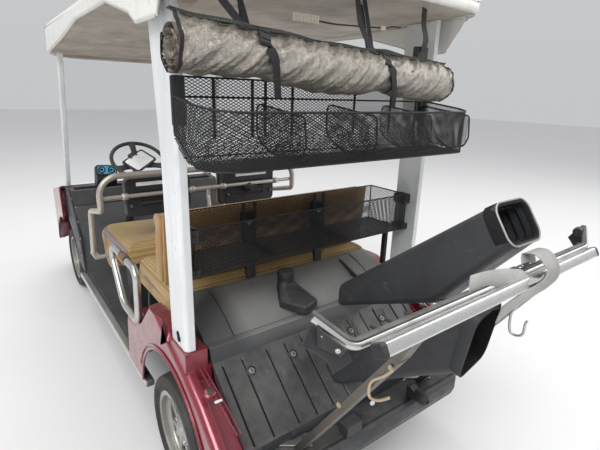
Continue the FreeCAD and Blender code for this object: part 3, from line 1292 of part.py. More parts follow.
def make_rack():
    foot = vec(d.arm_x, d.arm_foot_y, d.bumper_top_z + d.seat_gap)
    rail_low = vec(d.arm_x, d.rack_y - 12, d.rack_z - d.rack_height / 2 - d.seat_gap)
    rise = (rail_low - foot).normalize()
    arms = []
    for sign in (1, -1):
        start = Vector(foot.x * sign, foot.y, foot.z)
        knee = Vector(foot.x * sign, rail_low.y - 60, rail_low.z - 60 * rise.z / rise.y)
        lean = bar(start - rise * 20, knee, d.arm_width, d.arm_depth)
        head = bar(knee - rise * 4, Vector(foot.x * sign, rail_low.y, rail_low.z + 30),
                   d.arm_width, d.arm_depth)
        keep = Part.makeBox(400, 1200, rail_low.z - foot.z,
                            Vector(foot.x * sign - 200, -200 + foot.y, foot.z))
        arms.append(lean.fuse(head).common(keep))
    node(feature("RackArms", arms[0].fuse(arms[1])), "rack_arms")

    half = d.rack_half_length
    y0, y1 = d.rack_y - d.rack_depth / 2, d.rack_y + d.rack_depth / 2
    z0, z1 = d.rack_z - d.rack_height / 2, d.rack_z + d.rack_height / 2
    g = d.rack_groove / 2
    rail = slab("RackRail", "YZ_Plane", -half, half * 2, [
        (y0, z0), (y1, z0), (y1, d.rack_z - g), (y1 - 7, d.rack_z - g), (y1 - 7, d.rack_z + g),
        (y1, d.rack_z + g), (y1, z1), (d.rack_y + g, z1), (d.rack_y + g, z1 - 7),
        (d.rack_y - g, z1 - 7), (d.rack_y - g, z1), (y0, z1)])
    node(rail, "rack_rail")

    r = d.guard_radius
    guard_y = y0 - r - d.seat_gap
    guard_z = z1 - r
    left = [vec(d.guard_end_x, guard_y - 62, guard_z + 48),
            vec(d.guard_bend_x, guard_y, guard_z)]
    right = [Vector(-point.x, point.y, point.z) for point in left[::-1]]
    node(feature("GuardBar", tube(left + right, r, [30, 30])), "guard_bar")
    rubbers = []
    run = (left[0] - left[1]).normalize()
    overhang = float(r) * math.sqrt(1 - run.x ** 2) + float(d.seat_gap)
    for sign in (1, -1):
        x0, x1 = spread(sign, half + d.seat_gap, half + d.seat_gap + d.cap_thickness)
        rubbers.append(Part.makeBox(float(x1 - x0), float(y1 - y0) + 2, float(z1 - z0) + 4,
                                    vec(x0, y0, z0 - 2)))
        p0, _ = spread(sign, left[0].x + overhang, left[0].x + overhang + 12)
        rubbers.append(Part.makeBox(12, float(d.pad_width), float(d.guard_pad_height),
                                    vec(p0, left[0].y - 10, left[0].z - 72)))
    node(feature("RackRubbers", Part.makeCompound(rubbers)), "rack_rubbers")

    gap = d.seat_gap
    w = d.belt_width / 2
    t = d.belt_thickness
    low_y, high_y = guard_y - r - gap, y1 + gap
    belts = []
    for name, x in (("Left", d.belt_left_x), ("Right", d.belt_right_x)):
        belts.append(minus("Belt" + name,
                           box("BeltOuter" + name, (x - w, low_y - t, z0 - gap - t),
                               (x + w, high_y + t, z1 + gap + t)),
                           box("BeltInner" + name, (x - w - 1, low_y, z0 - gap),
                               (x + w + 1, high_y, z1 + gap))))
    node(joined("BagBelts", belts), "bag_belts")
    x = d.hook_x
    top = z0 - gap
    run = [vec(x, d.rack_y, top), vec(x, d.rack_y, top - 104), vec(x, d.rack_y - 34, top - 138),
           vec(x, d.rack_y - 52, top - 92)]
    hook = tube(run, d.hook_radius, [20, 16])
    plate = Part.makeCylinder(11, 5, vec(x, d.rack_y, top - 5))
    node(feature("BagHook", hook.fuse(plate)), "bag_hook")


def moulded_tube(name, label, x0, width, points, mouth_low, mouth_high, keep_square):
    """A tube with flat sides and rounded edges, open at the end between two lips."""
    body = slab(name, "YZ_Plane", x0, width, points)
    a = vec(0, mouth_low[0], mouth_low[1])
    run = vec(0, mouth_high[0], mouth_high[1]) - a

    def at_mouth(centre):
        gap = Vector(0, centre.y, centre.z) - a
        return abs(run.cross(gap).x) / run.Length < 1.0

    fillet(body, d.tube_round, lambda e: not along(X_AXIS, e) and not at_mouth(e.CenterOfMass)
           and e.CenterOfMass.y > keep_square)
    hollow(body, d.tube_wall, lambda f: at_mouth(f.CenterOfMass))
    node(body, label)


def make_club_tubes():
    foot_z = d.deck_ridge_z + d.seat_gap
    foot_y = d.tube_foot_y - 20
    low = (d.tube_mouth_low_y, d.tube_mouth_low_z)
    high = (d.tube_mouth_high_y, d.tube_mouth_high_z)
    moulded_tube("UpperTube", "club_tube_upper", d.tube_left_x - d.tube_width, d.tube_width, [
        (foot_y, foot_z + d.tube_foot_height), (foot_y, foot_z), (d.tube_foot_y, foot_z),
        (d.tube_bend_y, d.tube_bend_z), low, high], low, high, 180)

    def on_floor(y):
        y0, z0 = d.bag_floor_front_y, d.bag_floor_front_z
        slope = (d.bag_floor_rear_z - z0) / (d.bag_floor_rear_y - y0)
        return z0 + slope * (y - y0) + d.seat_gap * 1.4

    foot_y = d.low_tube_foot_y
    heel_y = foot_y + d.low_tube_foot_run
    low = (d.low_tube_low_y, d.low_tube_low_z)
    high = (d.low_tube_high_y, d.low_tube_high_z)
    moulded_tube("LowerTube", "club_tube_lower", d.low_tube_left_x - d.low_tube_width,
                 d.low_tube_width, [(foot_y, on_floor(foot_y)), (heel_y, on_floor(heel_y)),
                                    low, high], low, high, heel_y.value + 10)


# Roof, pillars, baskets and curtain


def liner_line():
    """Underside of the roof liner as (y, z) corners, front to rear."""
    rise = d.liner_rise
    return [
        (d.roof_front_y + d.roof_wall, d.roof_front_z + rise),
        (d.roof_front_y + 630, d.roof_slope_z + rise),
        (d.roof_front_y + 1050, d.roof_arch_z + rise),
        (d.rear_pillar_front_y + 60, d.roof_arch_z + rise + 12),
        (d.roof_rear_y - d.roof_wall, d.roof_tail_z + rise)]


def above_liner():
    """Everything above the liner's underside less the seat gap, to cut the pillars by."""
    line = [vec(-900, y, z - d.seat_gap) for y, z in liner_line()]
    line = [vec(-900, d.roof_front_y - 400, liner_line()[0][1])] + line
    line.append(vec(-900, d.roof_rear_y + 200, liner_line()[-1][1]))
    roof = [Vector(-900, line[-1].y, 2400), Vector(-900, line[0].y, 2400)]
    return Part.Face(Part.makePolygon(line + roof + line[:1])).extrude(Vector(1800, 0, 0))


def front_pillar_line():
    low = vec(0, d.front_pillar_low_y, d.dash_top_z)
    high = vec(0, d.front_pillar_high_y, d.front_pillar_high_z)
    return low, high, (high - low).normalize()


def make_pillars():
    low, high, run = front_pillar_line()
    cutter = above_liner()
    under = Part.makeBox(2000, 2000, 600, vec(-1000, d.front_pillar_low_y - 1000,
                                              d.dash_top_z + d.seat_gap - 600))
    front = []
    for sign in (1, -1):
        side = vec(d.front_pillar_x * sign, 0, 0)
        rod_solid = bar(low + side - run * 60, high + side + run * 140, d.front_pillar_width,
                        d.front_pillar_depth)
        front.append(rod_solid.cut(cutter).cut(under))
    node(feature("FrontPillars", front[0].fuse(front[1])), "front_pillars")

    low_z = d.foot_top_z + d.seat_gap
    high_z = d.roof_arch_z + 120
    y0, y1 = d.rear_pillar_front_y, d.rear_pillar_rear_y
    outer = d.body_half_width - d.rear_pillar_inset
    rear = []
    for side, sign in SIDES:
        x0, x1 = spread(sign, outer - d.rear_pillar_width, outer)
        body = slab("RearPillar" + side, "YZ_Plane", x0, x1 - x0, [
            (y0, low_z), (y1, low_z), (y1, high_z), (y0 - d.rear_pillar_flare, high_z),
            (y0 - d.rear_pillar_flare, d.roof_pillar_z), (y0, d.basket_low_z)])
        tip = body.Tip
        chamfer = body.newObject("PartDesign::Chamfer", "Chamfer")
        chamfer.Base = (tip, picked_edges(
            tip.Shape, lambda e: abs(e.CenterOfMass.x - float(outer) * sign) < 1
            and along(Z_AXIS, e) and e.CenterOfMass.y > float(y1) - 1))
        chamfer.Size = d.pillar_chamfer.value
        chamfer.setExpression("Size", d.pillar_chamfer.text)
        doc.recompute()
        hole = circle_sketch(body, "YZ_Plane", "Hole" + side, x0 - 1,
                             [(y0 + 69, low_z + 14, d.pillar_hole_radius)])
        pocket(body, hole, d.rear_pillar_width + 2, "HoleCut")
        rear.append(body.Shape.cut(cutter))
    node(feature("RearPillars", rear[0].fuse(rear[1])), "rear_pillars")


def roof_side(inset):
    """Side outline of the roof, drawn in by the inset."""
    if float(inset) > 0:
        return [
            (d.roof_front_y + inset, d.roof_front_z - 200),
            (d.roof_rear_y - inset, d.roof_front_z - 200),
            (d.roof_rear_y - inset, d.roof_tail_z + 36 - inset, 160),
            (d.roof_rear_y - 150, d.roof_crown_z - inset),
            (d.roof_front_y + 560, d.roof_crown_z - inset, 900),
            (d.roof_front_y + inset, d.roof_front_z + 44 - inset)]
    skirt_y = d.rear_pillar_front_y
    return [
        (d.roof_front_y, d.roof_front_z), (d.roof_front_y + 630, d.roof_slope_z),
        (d.roof_front_y + 1050, d.roof_arch_z), (skirt_y - 352, d.roof_arch_z),
        (skirt_y - 97, d.roof_pillar_z + 32), (skirt_y - 37, d.roof_pillar_z),
        (skirt_y + 128, d.roof_pillar_z), (skirt_y + 163, d.roof_pillar_z + 52),
        (skirt_y + 213, d.roof_tail_z - 6), (d.roof_rear_y, d.roof_tail_z),
        (d.roof_rear_y, d.roof_tail_z + 36, 160), (d.roof_rear_y - 150, d.roof_crown_z),
        (d.roof_front_y + 560, d.roof_crown_z, 900), (d.roof_front_y, d.roof_front_z + 44)]


def roof_front(inset):
    """Cross-section of the roof, drawn in by the inset."""
    half = d.roof_half_width - inset
    low = 300 if float(inset) > 0 else 100
    shoulder = d.roof_crown_z - 66 - inset
    return [
        (-half, d.roof_front_z - low), (half, d.roof_front_z - low), (half, shoulder, 90),
        (half - 76, d.roof_crown_z - 16 - inset, 7600),
        (-half + 76, d.roof_crown_z - 16 - inset, 90), (-half, shoulder)]


def roof_plan(inset):
    """Plan outline of the roof, drawn in by the inset."""
    half = d.roof_half_width - inset
    front, rear = d.roof_front_y + inset, d.roof_rear_y - inset
    big, small = d.roof_front_corner, d.roof_rear_corner
    return [
        (-half + big, front), (half - big, front, big), (half, front + big),
        (half, rear - small, small), (half - small, rear), (-half + small, rear, small),
        (-half, rear - small), (-half, front + big, big)]


def make_roof():
    shells = []
    reach = d.roof_half_width + 20
    for name, inset in (("Outer", size(0)), ("Inner", d.roof_wall)):
        side = slab("Roof%sSide" % name, "YZ_Plane", -reach, reach * 2, roof_side(inset))
        front = slab("Roof%sFront" % name, "XZ_Plane", -d.roof_rear_y - 50,
                     d.roof_rear_y - d.roof_front_y + 100, roof_front(inset))
        plan = slab("Roof%sPlan" % name, "XY_Plane", d.roof_front_z - 400, 1000, roof_plan(inset))
        shells.append(both("Roof" + name, both("Roof%sBoth" % name, side, front), plan))
    node(minus("RoofShell", shells[0], shells[1]), "roof_canopy")

    under = liner_line()
    t = d.liner_thickness
    beam_y = d.roof_front_y + d.roof_wall + d.header_depth
    beam_z = arch_z(under, beam_y)
    upper = [(y, z + t) for y, z in under[::-1]]
    outline = [(under[0][0], under[0][1] - d.header_drop), (beam_y, beam_z - d.header_drop),
               (beam_y, beam_z)] + under[1:] + upper
    sheet = slab("LinerSide", "YZ_Plane", -reach, reach * 2, outline)
    inset = d.roof_wall + d.seat_gap
    plan = slab("LinerPlan", "XY_Plane", d.roof_front_z - 400, 1000, roof_plan(inset))
    front = slab("LinerFront", "XZ_Plane", -d.roof_rear_y - 50,
                 d.roof_rear_y - d.roof_front_y + 100, roof_front(inset))
    node(both("RoofLiner", both("LinerBoth", sheet, plan), front), "roof_liner")


def make_baskets():
    y0 = d.rear_pillar_rear_y + d.seat_gap
    y1 = y0 + d.basket_depth
    low = d.basket_low_z
    rim_z = (float(d.basket_front_z) + float(d.basket_rear_z)) / 2
    upper = slab("UpperBasket", "YZ_Plane", d.basket_right_x, d.basket_left_x - d.basket_right_x, [
        (y0, d.basket_front_z), (y0, d.basket_corner_z), (y0 + 67, low + 16), (y0 + 160, low),
        (y1 - 2, low), (y1, d.basket_rear_z)])
    hollow(upper, d.basket_wall, lambda f: abs(f.CenterOfMass.z - rim_z) < 1)
    node(upper, "upper_basket")
    y0, y1 = d.low_basket_front_y, d.low_basket_rear_y
    low, high = d.low_basket_low_z, d.low_basket_high_z
    half = d.low_basket_half
    lower = slab("LowerBasket", "YZ_Plane", -half, half * 2, [
        (y0, low + 14), (y0 + 14, low), (y1 - 14, low), (y1, low + 14), (y1, high), (y0, high)])
    hollow(lower, d.basket_wall, lambda f: abs(f.CenterOfMass.z - float(high)) < 1)
    node(lower, "lower_basket")


def make_curtain():
    x0 = d.curtain_right_x
    y, z, r = d.curtain_y, d.curtain_z, d.curtain_radius
    node(rod("Curtain", (x0, y, z), r, d.curtain_left_x - x0, X_AXIS), "rain_curtain")
    near = float(r + d.seat_gap)
    t = float(d.strap_thickness)
    w = float(d.strap_width)
    straps = []
    for x in (d.strap_left_x, d.strap_middle_x, d.strap_right_x):
        base = vec(x - d.strap_width / 2, y, z)
        band = Part.makeCylinder(near + t, w, base, X_AXIS).cut(
            Part.makeCylinder(near, w, base, X_AXIS))
        tail = Part.makeBox(w, t, 300, base + Vector(0, 0, near + t / 2))
        straps.append(band.fuse(tail).cut(above_liner()))
    node(feature("CurtainStraps", Part.makeCompound(straps)), "curtain_straps")


# Front end


def make_dash():
    half = d.floor_half_width
    top = d.dash_top_z
    toe_z = floor_top() + d.toe_rise + d.seat_gap
    toe_y = d.floor_front_y - d.toe_run
    body = slab("Dash", "YZ_Plane", -half, half * 2, [
        (d.dash_front_y, d.dash_low_z), (toe_y - 30, d.dash_low_z), (toe_y - 30, toe_z),
        (toe_y, toe_z), (d.dash_rear_y, top), (d.dash_front_y, top)])
    pocket(body, draw(body, "XY_Plane", "Tray", top - d.tray_depth, [
        (-half + 30, d.dash_front_y + 70), (half - 30, d.dash_front_y + 70),
        (half - 30, d.dash_rear_y - 24), (-half + 30, d.dash_rear_y - 24)]),
        d.tray_depth + 20, "TrayCut")
    front = d.dash_front_y + 30
    rear = d.dash_rear_y - 45
    high = top + d.gauge_height
    pod = slab("GaugePod", "YZ_Plane", d.gauge_x, d.gauge_width, [
        (front, top - 4), (front + 70, top - 4), (rear, top + 48), (rear, high),
        (front + 46, high), (front, top + 26)])
    spots = [(d.gauge_x + d.gauge_width * share, top + d.gauge_height * 0.64, d.dial_radius)
             for share in (0.26, 0.74)]
    dials = circle_sketch(pod, "XZ_Plane", "Dials", -rear - 1, spots)
    pocket(pod, dials, 6, "DialCut")
    node(joined("DashAndGauges", [body, pod]), "dash_panel")
    sides = []
    z0 = floor_top()
    for side, sign in SIDES:
        x0, x1 = spread(sign, half + d.seat_gap, half + d.seat_gap + d.foot_panel_thickness)
        sides.append(slab("FootPanel" + side, "YZ_Plane", x0, x1 - x0, [
            (d.dash_front_y, d.dash_low_z), (front_y + 250, z0 + 170), (front_y + 320, z0 + 20),
            (d.floor_front_y, z0), (d.foot_panel_rear_y, d.foot_panel_rear_z), (toe_y, toe_z),
            (d.dash_rear_y - 45, top), (d.dash_front_y, top)]))
    node(joined("FootPanels", sides), "foot_panels")


def cowl_side(inset):
    """Side outline of the front body, drawn in by the inset."""
    low = d.cowl_low_z - 300 if float(inset) > 0 else d.cowl_low_z
    rear = d.dash_front_y - d.seat_gap
    return [
        (d.nose_y + 40 + inset, low), (rear, low), (rear, d.dash_top_z - inset),
        (d.nose_y + 250, d.dash_top_z - 70 - inset, 330), (d.nose_y + inset, size(520))]


def cowl_plan(inset):
    """Plan outline of the front body, drawn in by the inset."""
    half = d.nose_half_width - inset
    nose = d.nose_y + inset
    corner = d.nose_corner
    return [
        (-half, d.dash_front_y + 20), (-half, nose + corner, 260), (-half + corner, nose + 58, 1400),
        (half - corner, nose + 58, 260), (half, nose + corner), (half, d.dash_front_y + 20)]


def make_cowl():
    shells = []
    reach = d.nose_half_width + 20
    for name, inset in (("Outer", size(0)), ("Inner", d.body_wall)):
        side = slab("Cowl%sSide" % name, "YZ_Plane", -reach, reach * 2, cowl_side(inset))
        plan = slab("Cowl%sPlan" % name, "XY_Plane", 0, d.dash_top_z + 100, cowl_plan(inset))
        shells.append(both("Cowl" + name, side, plan))
    shell = minus("CowlShell", shells[0], shells[1])
    cuts = [rod("CowlArch", (-reach, front_y, d.arch_centre_z), d.front_arch_radius, reach * 2,
                X_AXIS)]
    lamps = []
    for side, sign in SIDES:
        spot = (d.lamp_x * sign, d.nose_y - 50, d.lamp_z)
        cuts.append(rod("LampHole" + side, spot, d.lamp_radius + d.seat_gap, 140, Y_AXIS))
        lamps.append(rod("Lamp" + side, spot, d.lamp_radius, 130, Y_AXIS))
    node(minus("Cowl", shell, joined("CowlCuts", cuts)), "front_cowl")
    node(both("LampLenses", shells[0], joined("Lamps", lamps)), "headlamps")


def make_front_bumper():
    low, height = d.front_bumper_low_z, d.front_bumper_height
    outer = slab("BumperOuter", "XY_Plane", low, height, cowl_plan(-d.front_bumper_depth))
    inner = slab("BumperInner", "XY_Plane", low - 1, height + 2, cowl_plan(-d.seat_gap))
    reach = d.nose_half_width - 30
    keep = box("BumperKeep", (-reach, d.nose_y - 100, low - 1),
               (reach, d.nose_y + d.nose_corner, low + height + 1))
    node(both("FrontBumper", minus("BumperBand", outer, inner), keep), "front_bumper")


def make_windshield():
    half = d.front_pillar_x - d.front_pillar_width / 2 - d.seat_gap
    low, high, run = front_pillar_line()
    sheet = bar(low + run * 22, high - run * 8, half * 2, d.windshield_thickness)
    node(feature("Windshield", sheet), "windshield")


# Steering


def make_steering():
    centre = vec(d.wheel_x, d.wheel_y, d.wheel_z)
    lean = math.radians(d.column_lean.value)
    axis = Vector(0, math.cos(lean), math.sin(lean))
    ring_r = d.wheel_ring_radius.value
    dish = d.wheel_dish.value
    shaft_r = d.shaft_radius.value
    ring = Part.makeTorus(ring_r, d.wheel_ring_section.value, centre, axis)
    hub_low = centre - axis * (dish + 58)
    hub = Part.makeCylinder(32, 52, hub_low, axis)
    across = X_AXIS
    up = across.cross(axis).normalize()
    middle = centre - axis * (dish - 4)
    plate = bar(middle - up * 68, middle + up * 58, 128, 20, across)
    spokes = []
    for angle in (0, 90, 180, 270):
        way = across * math.cos(math.radians(angle)) + up * math.sin(math.radians(angle))
        spokes.append(bar(middle + way * 40, centre + way * (ring_r - 3), 30, 9,
                          axis.cross(way)))
    wheel = ring.fuse([hub, plate] + spokes)
    bore = Part.makeCylinder(shaft_r + d.running_gap.value, 44, hub_low - axis, axis)
    node(feature("SteeringWheel", wheel.cut(bore)), "steering_wheel")

    toe_front = vec(0, d.floor_front_y - d.toe_run, floor_top() + d.toe_rise)
    toe_rear = vec(0, d.floor_front_y, floor_top())
    slope = (toe_rear - toe_front).normalize()
    out = X_AXIS.cross(slope).normalize()
    if out.z < 0:
        out = out * -1
    top = hub_low - axis * 6
    reach = (top - toe_rear).dot(out) / axis.dot(out) + 60
    column = Part.makeCylinder(d.column_radius.value, reach, top - axis * reach, axis)
    edge = toe_rear + out * d.seat_gap.value - slope * 900
    behind = Part.Face(Part.makePolygon([
        edge, edge + slope * 1400, edge + slope * 1400 - out * 500, edge - out * 500,
        edge])).extrude(Vector(1200, 0, 0))
    behind.translate(Vector(-600, 0, 0))
    shaft = Part.makeCylinder(shaft_r, 46, top - axis * 4, axis)
    node(feature("Column", column.cut(behind).fuse(shaft)), "steering_column")


def build():
    make_wheels()
    make_rear_axle()
    make_front_beam()
    make_knuckles()
    make_chassis()
    make_engine()
    make_floor()
    make_front_seat()
    make_front_seat_frame()
    make_rear_seat()
    make_seat_brackets()
    make_hip_hoops()
    make_rear_body()
    make_deck()
    make_pod()
    make_bag_floor()
    make_rear_bumper()
    make_rack()
    make_club_tubes()
    make_pillars()
    make_roof()
    make_baskets()
    make_curtain()
    make_dash()
    make_cowl()
    make_front_bumper()
    make_windshield()
    make_steering()


def check_and_export():
    doc.recompute()
    for item in doc.Objects:
        if "Invalid" in item.State or "Error" in item.State:
            raise ValueError("%s (%s) failed: %s" % (item.Name, item.Label, item.State))
    labels = [item.Label for item in NODES]
    if len(set(labels)) != len(labels):
        raise ValueError("two sub-parts share a label")
    os.makedirs("parts", exist_ok=True)
    for item in NODES:
        shape = item.Shape
        if shape.isNull() or not shape.isValid() or not shape.Solids:
            raise ValueError("%s has no valid solid" % item.Label)
    for item in NODES:
        item.Shape.exportStep("parts/%s.step" % item.Label)


build()
check_and_export()
whole = Part.Compound([item.Shape for item in NODES]).BoundBox
print("nodes", len(NODES))
print("box", [round(v, 1) for v in (whole.XMin, whole.YMin, whole.ZMin,
                                    whole.XMax, whole.YMax, whole.ZMax)])
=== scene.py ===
import json
import math

import bmesh
import bpy
from bpy.props import FloatProperty, FloatVectorProperty, IntProperty, PointerProperty
from mathutils import Matrix, Vector, noise


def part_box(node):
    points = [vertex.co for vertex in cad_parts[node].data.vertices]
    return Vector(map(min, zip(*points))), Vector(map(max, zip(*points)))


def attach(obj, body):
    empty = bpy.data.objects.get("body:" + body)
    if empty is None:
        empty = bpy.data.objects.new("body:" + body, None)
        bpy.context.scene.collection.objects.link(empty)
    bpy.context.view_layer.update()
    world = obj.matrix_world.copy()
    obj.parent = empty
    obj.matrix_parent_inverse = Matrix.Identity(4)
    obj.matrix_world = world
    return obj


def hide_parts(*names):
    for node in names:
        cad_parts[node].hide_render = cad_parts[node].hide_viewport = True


bl_info = {
    "name": "Golf cart",
    "version": (1, 0, 0),
    "blender": (4, 5, 0),
    "location": "3D View > Sidebar > Golf cart",
    "description": "Builds the visible pieces and finishes of a golf cart round its CAD frame",
    "category": "Object",
}

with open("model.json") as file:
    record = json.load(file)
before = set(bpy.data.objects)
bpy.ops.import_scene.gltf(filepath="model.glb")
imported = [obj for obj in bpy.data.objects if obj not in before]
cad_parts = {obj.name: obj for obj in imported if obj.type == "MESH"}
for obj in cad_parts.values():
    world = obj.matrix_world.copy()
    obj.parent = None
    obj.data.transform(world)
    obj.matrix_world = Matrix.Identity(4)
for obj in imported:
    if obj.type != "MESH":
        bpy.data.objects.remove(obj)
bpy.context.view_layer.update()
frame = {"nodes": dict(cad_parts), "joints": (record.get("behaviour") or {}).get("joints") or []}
HINGES = {j["name"]: j for j in frame["joints"]}
AXLE_Y = HINGES["rear_left_wheel_spin"]["pos_m"][1]

# Sizes and colours that can be changed


def length(label, text, metres):
    return FloatProperty(name=label, description=text, default=metres, min=0.0, unit="LENGTH")


def tint(label, text, rgb):
    return FloatVectorProperty(name=label, description=text, default=rgb, size=3, min=0.0,
                               max=1.0, subtype="COLOR")


class CartSizes(bpy.types.PropertyGroup):
    """Sizes of the dressed pieces"""

    tread_depth: length("Tread depth", "Depth of the grooves in the worn tread", 0.003)
    mesh_width: length("Mesh width", "Long way of one opening in the basket mesh", 0.017)
    mesh_height: length("Mesh height", "Short way of one opening in the basket mesh", 0.009)
    mesh_strand: length("Mesh strand", "Thickness of a strand of the basket mesh", 0.0030)
    pad_voxel: length("Pad grid", "Grid on which the seat pads are blown up", 0.0104)
    pad_swell: length("Pad swell", "How far a seat pad may bulge", 0.014)
    seam_depth: length("Seam depth", "Depth of the sewn seams in the pads", 0.005)
    curtain_pitch: length("Curtain pitch", "Distance between two turns of the rolled curtain", 0.014)
    curtain_sag: length("Curtain sag", "Sag of the rolled curtain between two straps", 0.008)
    belt_width: length("Belt width", "Width of a bag belt", 0.056)
    curtain_turns: IntProperty(name="Curtain turns", description="Turns of the rolled curtain",
                               default=3, min=1, max=6)


class CartColours(bpy.types.PropertyGroup):
    """Base colours of the finishes"""

    body_red: tint("Body paint", "Wine-red metallic paint", (0.20, 0.007, 0.022))
    roof_white: tint("Roof", "White moulded roof", (0.80, 0.79, 0.75))
    pillar_white: tint("Pillars", "White paint on the pillars", (0.72, 0.74, 0.75))
    liner_beige: tint("Roof liner", "Beige moulded liner", (0.40, 0.355, 0.30))
    black_plastic: tint("Black mouldings", "Grained black plastic", (0.021, 0.022, 0.024))
    grey_plastic: tint("Grey mouldings", "Grained dark grey plastic", (0.030, 0.032, 0.036))
    tyre: tint("Tyres", "Worn rubber", (0.032, 0.031, 0.031))
    wheel_silver: tint("Rims", "Silver wheel paint", (0.42, 0.41, 0.38))
    steel_black: tint("Running gear", "Matt black steel", (0.02, 0.02, 0.022))
    aluminium: tint("Aluminium", "Drawn aluminium", (0.72, 0.72, 0.71))
    seat_tan: tint("Seat cloth", "Tan perforated cloth", (0.46, 0.31, 0.125))
    seat_mauve: tint("Seat sides", "Mauve vinyl on the seat sides", (0.21, 0.165, 0.165))
    seat_brown: tint("Seat leather", "Plain tan leather", (0.36, 0.215, 0.09))
    grip_brown: tint("Grip", "Worn brown leather grip", (0.20, 0.105, 0.06))
    floor_dark: tint("Floor mat", "Dark grey rubber mat", (0.045, 0.046, 0.048))
    frame_beige: tint("Seat frame", "Silver-beige paint", (0.50, 0.47, 0.42))
    hoop_silver: tint("Hip hoops", "Bright tube", (0.60, 0.60, 0.58))
    mesh_black: tint("Basket mesh", "Black painted steel", (0.008, 0.008, 0.009))
    curtain: tint("Curtain", "Silver-beige woven foil", (0.66, 0.61, 0.53))
    curtain_net: tint("Curtain border", "Grey-green net border", (0.20, 0.215, 0.195))
    strap_black: tint("Straps", "Black webbing", (0.014, 0.014, 0.018))
    belt_grey: tint("Belts", "Light grey rubber", (0.36, 0.355, 0.34))
    brass: tint("Hooks", "Yellowed wire", (0.52, 0.43, 0.27))
    card_white: tint("Card", "Blank white card", (0.78, 0.79, 0.80))
    dial_blue: tint("Dials", "Blue dial faces", (0.10, 0.42, 0.62))
    glass: tint("Windshield", "Clear sheet", (0.92, 0.95, 0.95))


# Shapes


def at(x, y, z):
    """A point with Y counted from the rear axle."""
    return Vector((x, y + AXLE_Y, z))


def rounded(points, radii, steps=8):
    """The polyline through the points with its inner corners turned into arcs."""
    line = [points[0]]
    for i, radius in enumerate(radii, start=1):
        corner = points[i]
        back = (points[i - 1] - corner).normalized()
        ahead = (points[i + 1] - corner).normalized()
        half = back.angle(ahead) / 2
        cut = radius / math.tan(half)
        first, last = corner + back * cut, corner + ahead * cut
        centre = corner + (back + ahead).normalized() * (radius / math.sin(half))
        a, b = (first - centre).normalized(), (last - centre).normalized()
        for k in range(steps + 1):
            line.append(centre + a.slerp(b, k / steps) * radius)
    line.append(points[-1])
    return line


def spline(points, steps=8, closed=False):
    """A smooth line through the points."""
    n = len(points)
    line = []
    spans = n if closed else n - 1
    for i in range(spans):
        if closed:
            p = [points[(i + k - 1) % n] for k in range(4)]
        else:
            p = [points[max(0, min(n - 1, i + k - 1))] for k in range(4)]
        for k in range(steps):
            t = k / steps
            line.append(0.5 * (2 * p[1] + (p[2] - p[0]) * t
                               + (2 * p[0] - 5 * p[1] + 4 * p[2] - p[3]) * t * t
                               + (3 * p[1] - 3 * p[2] + p[3] - p[0]) * t ** 3))
    if not closed:
        line.append(points[-1])
    return line


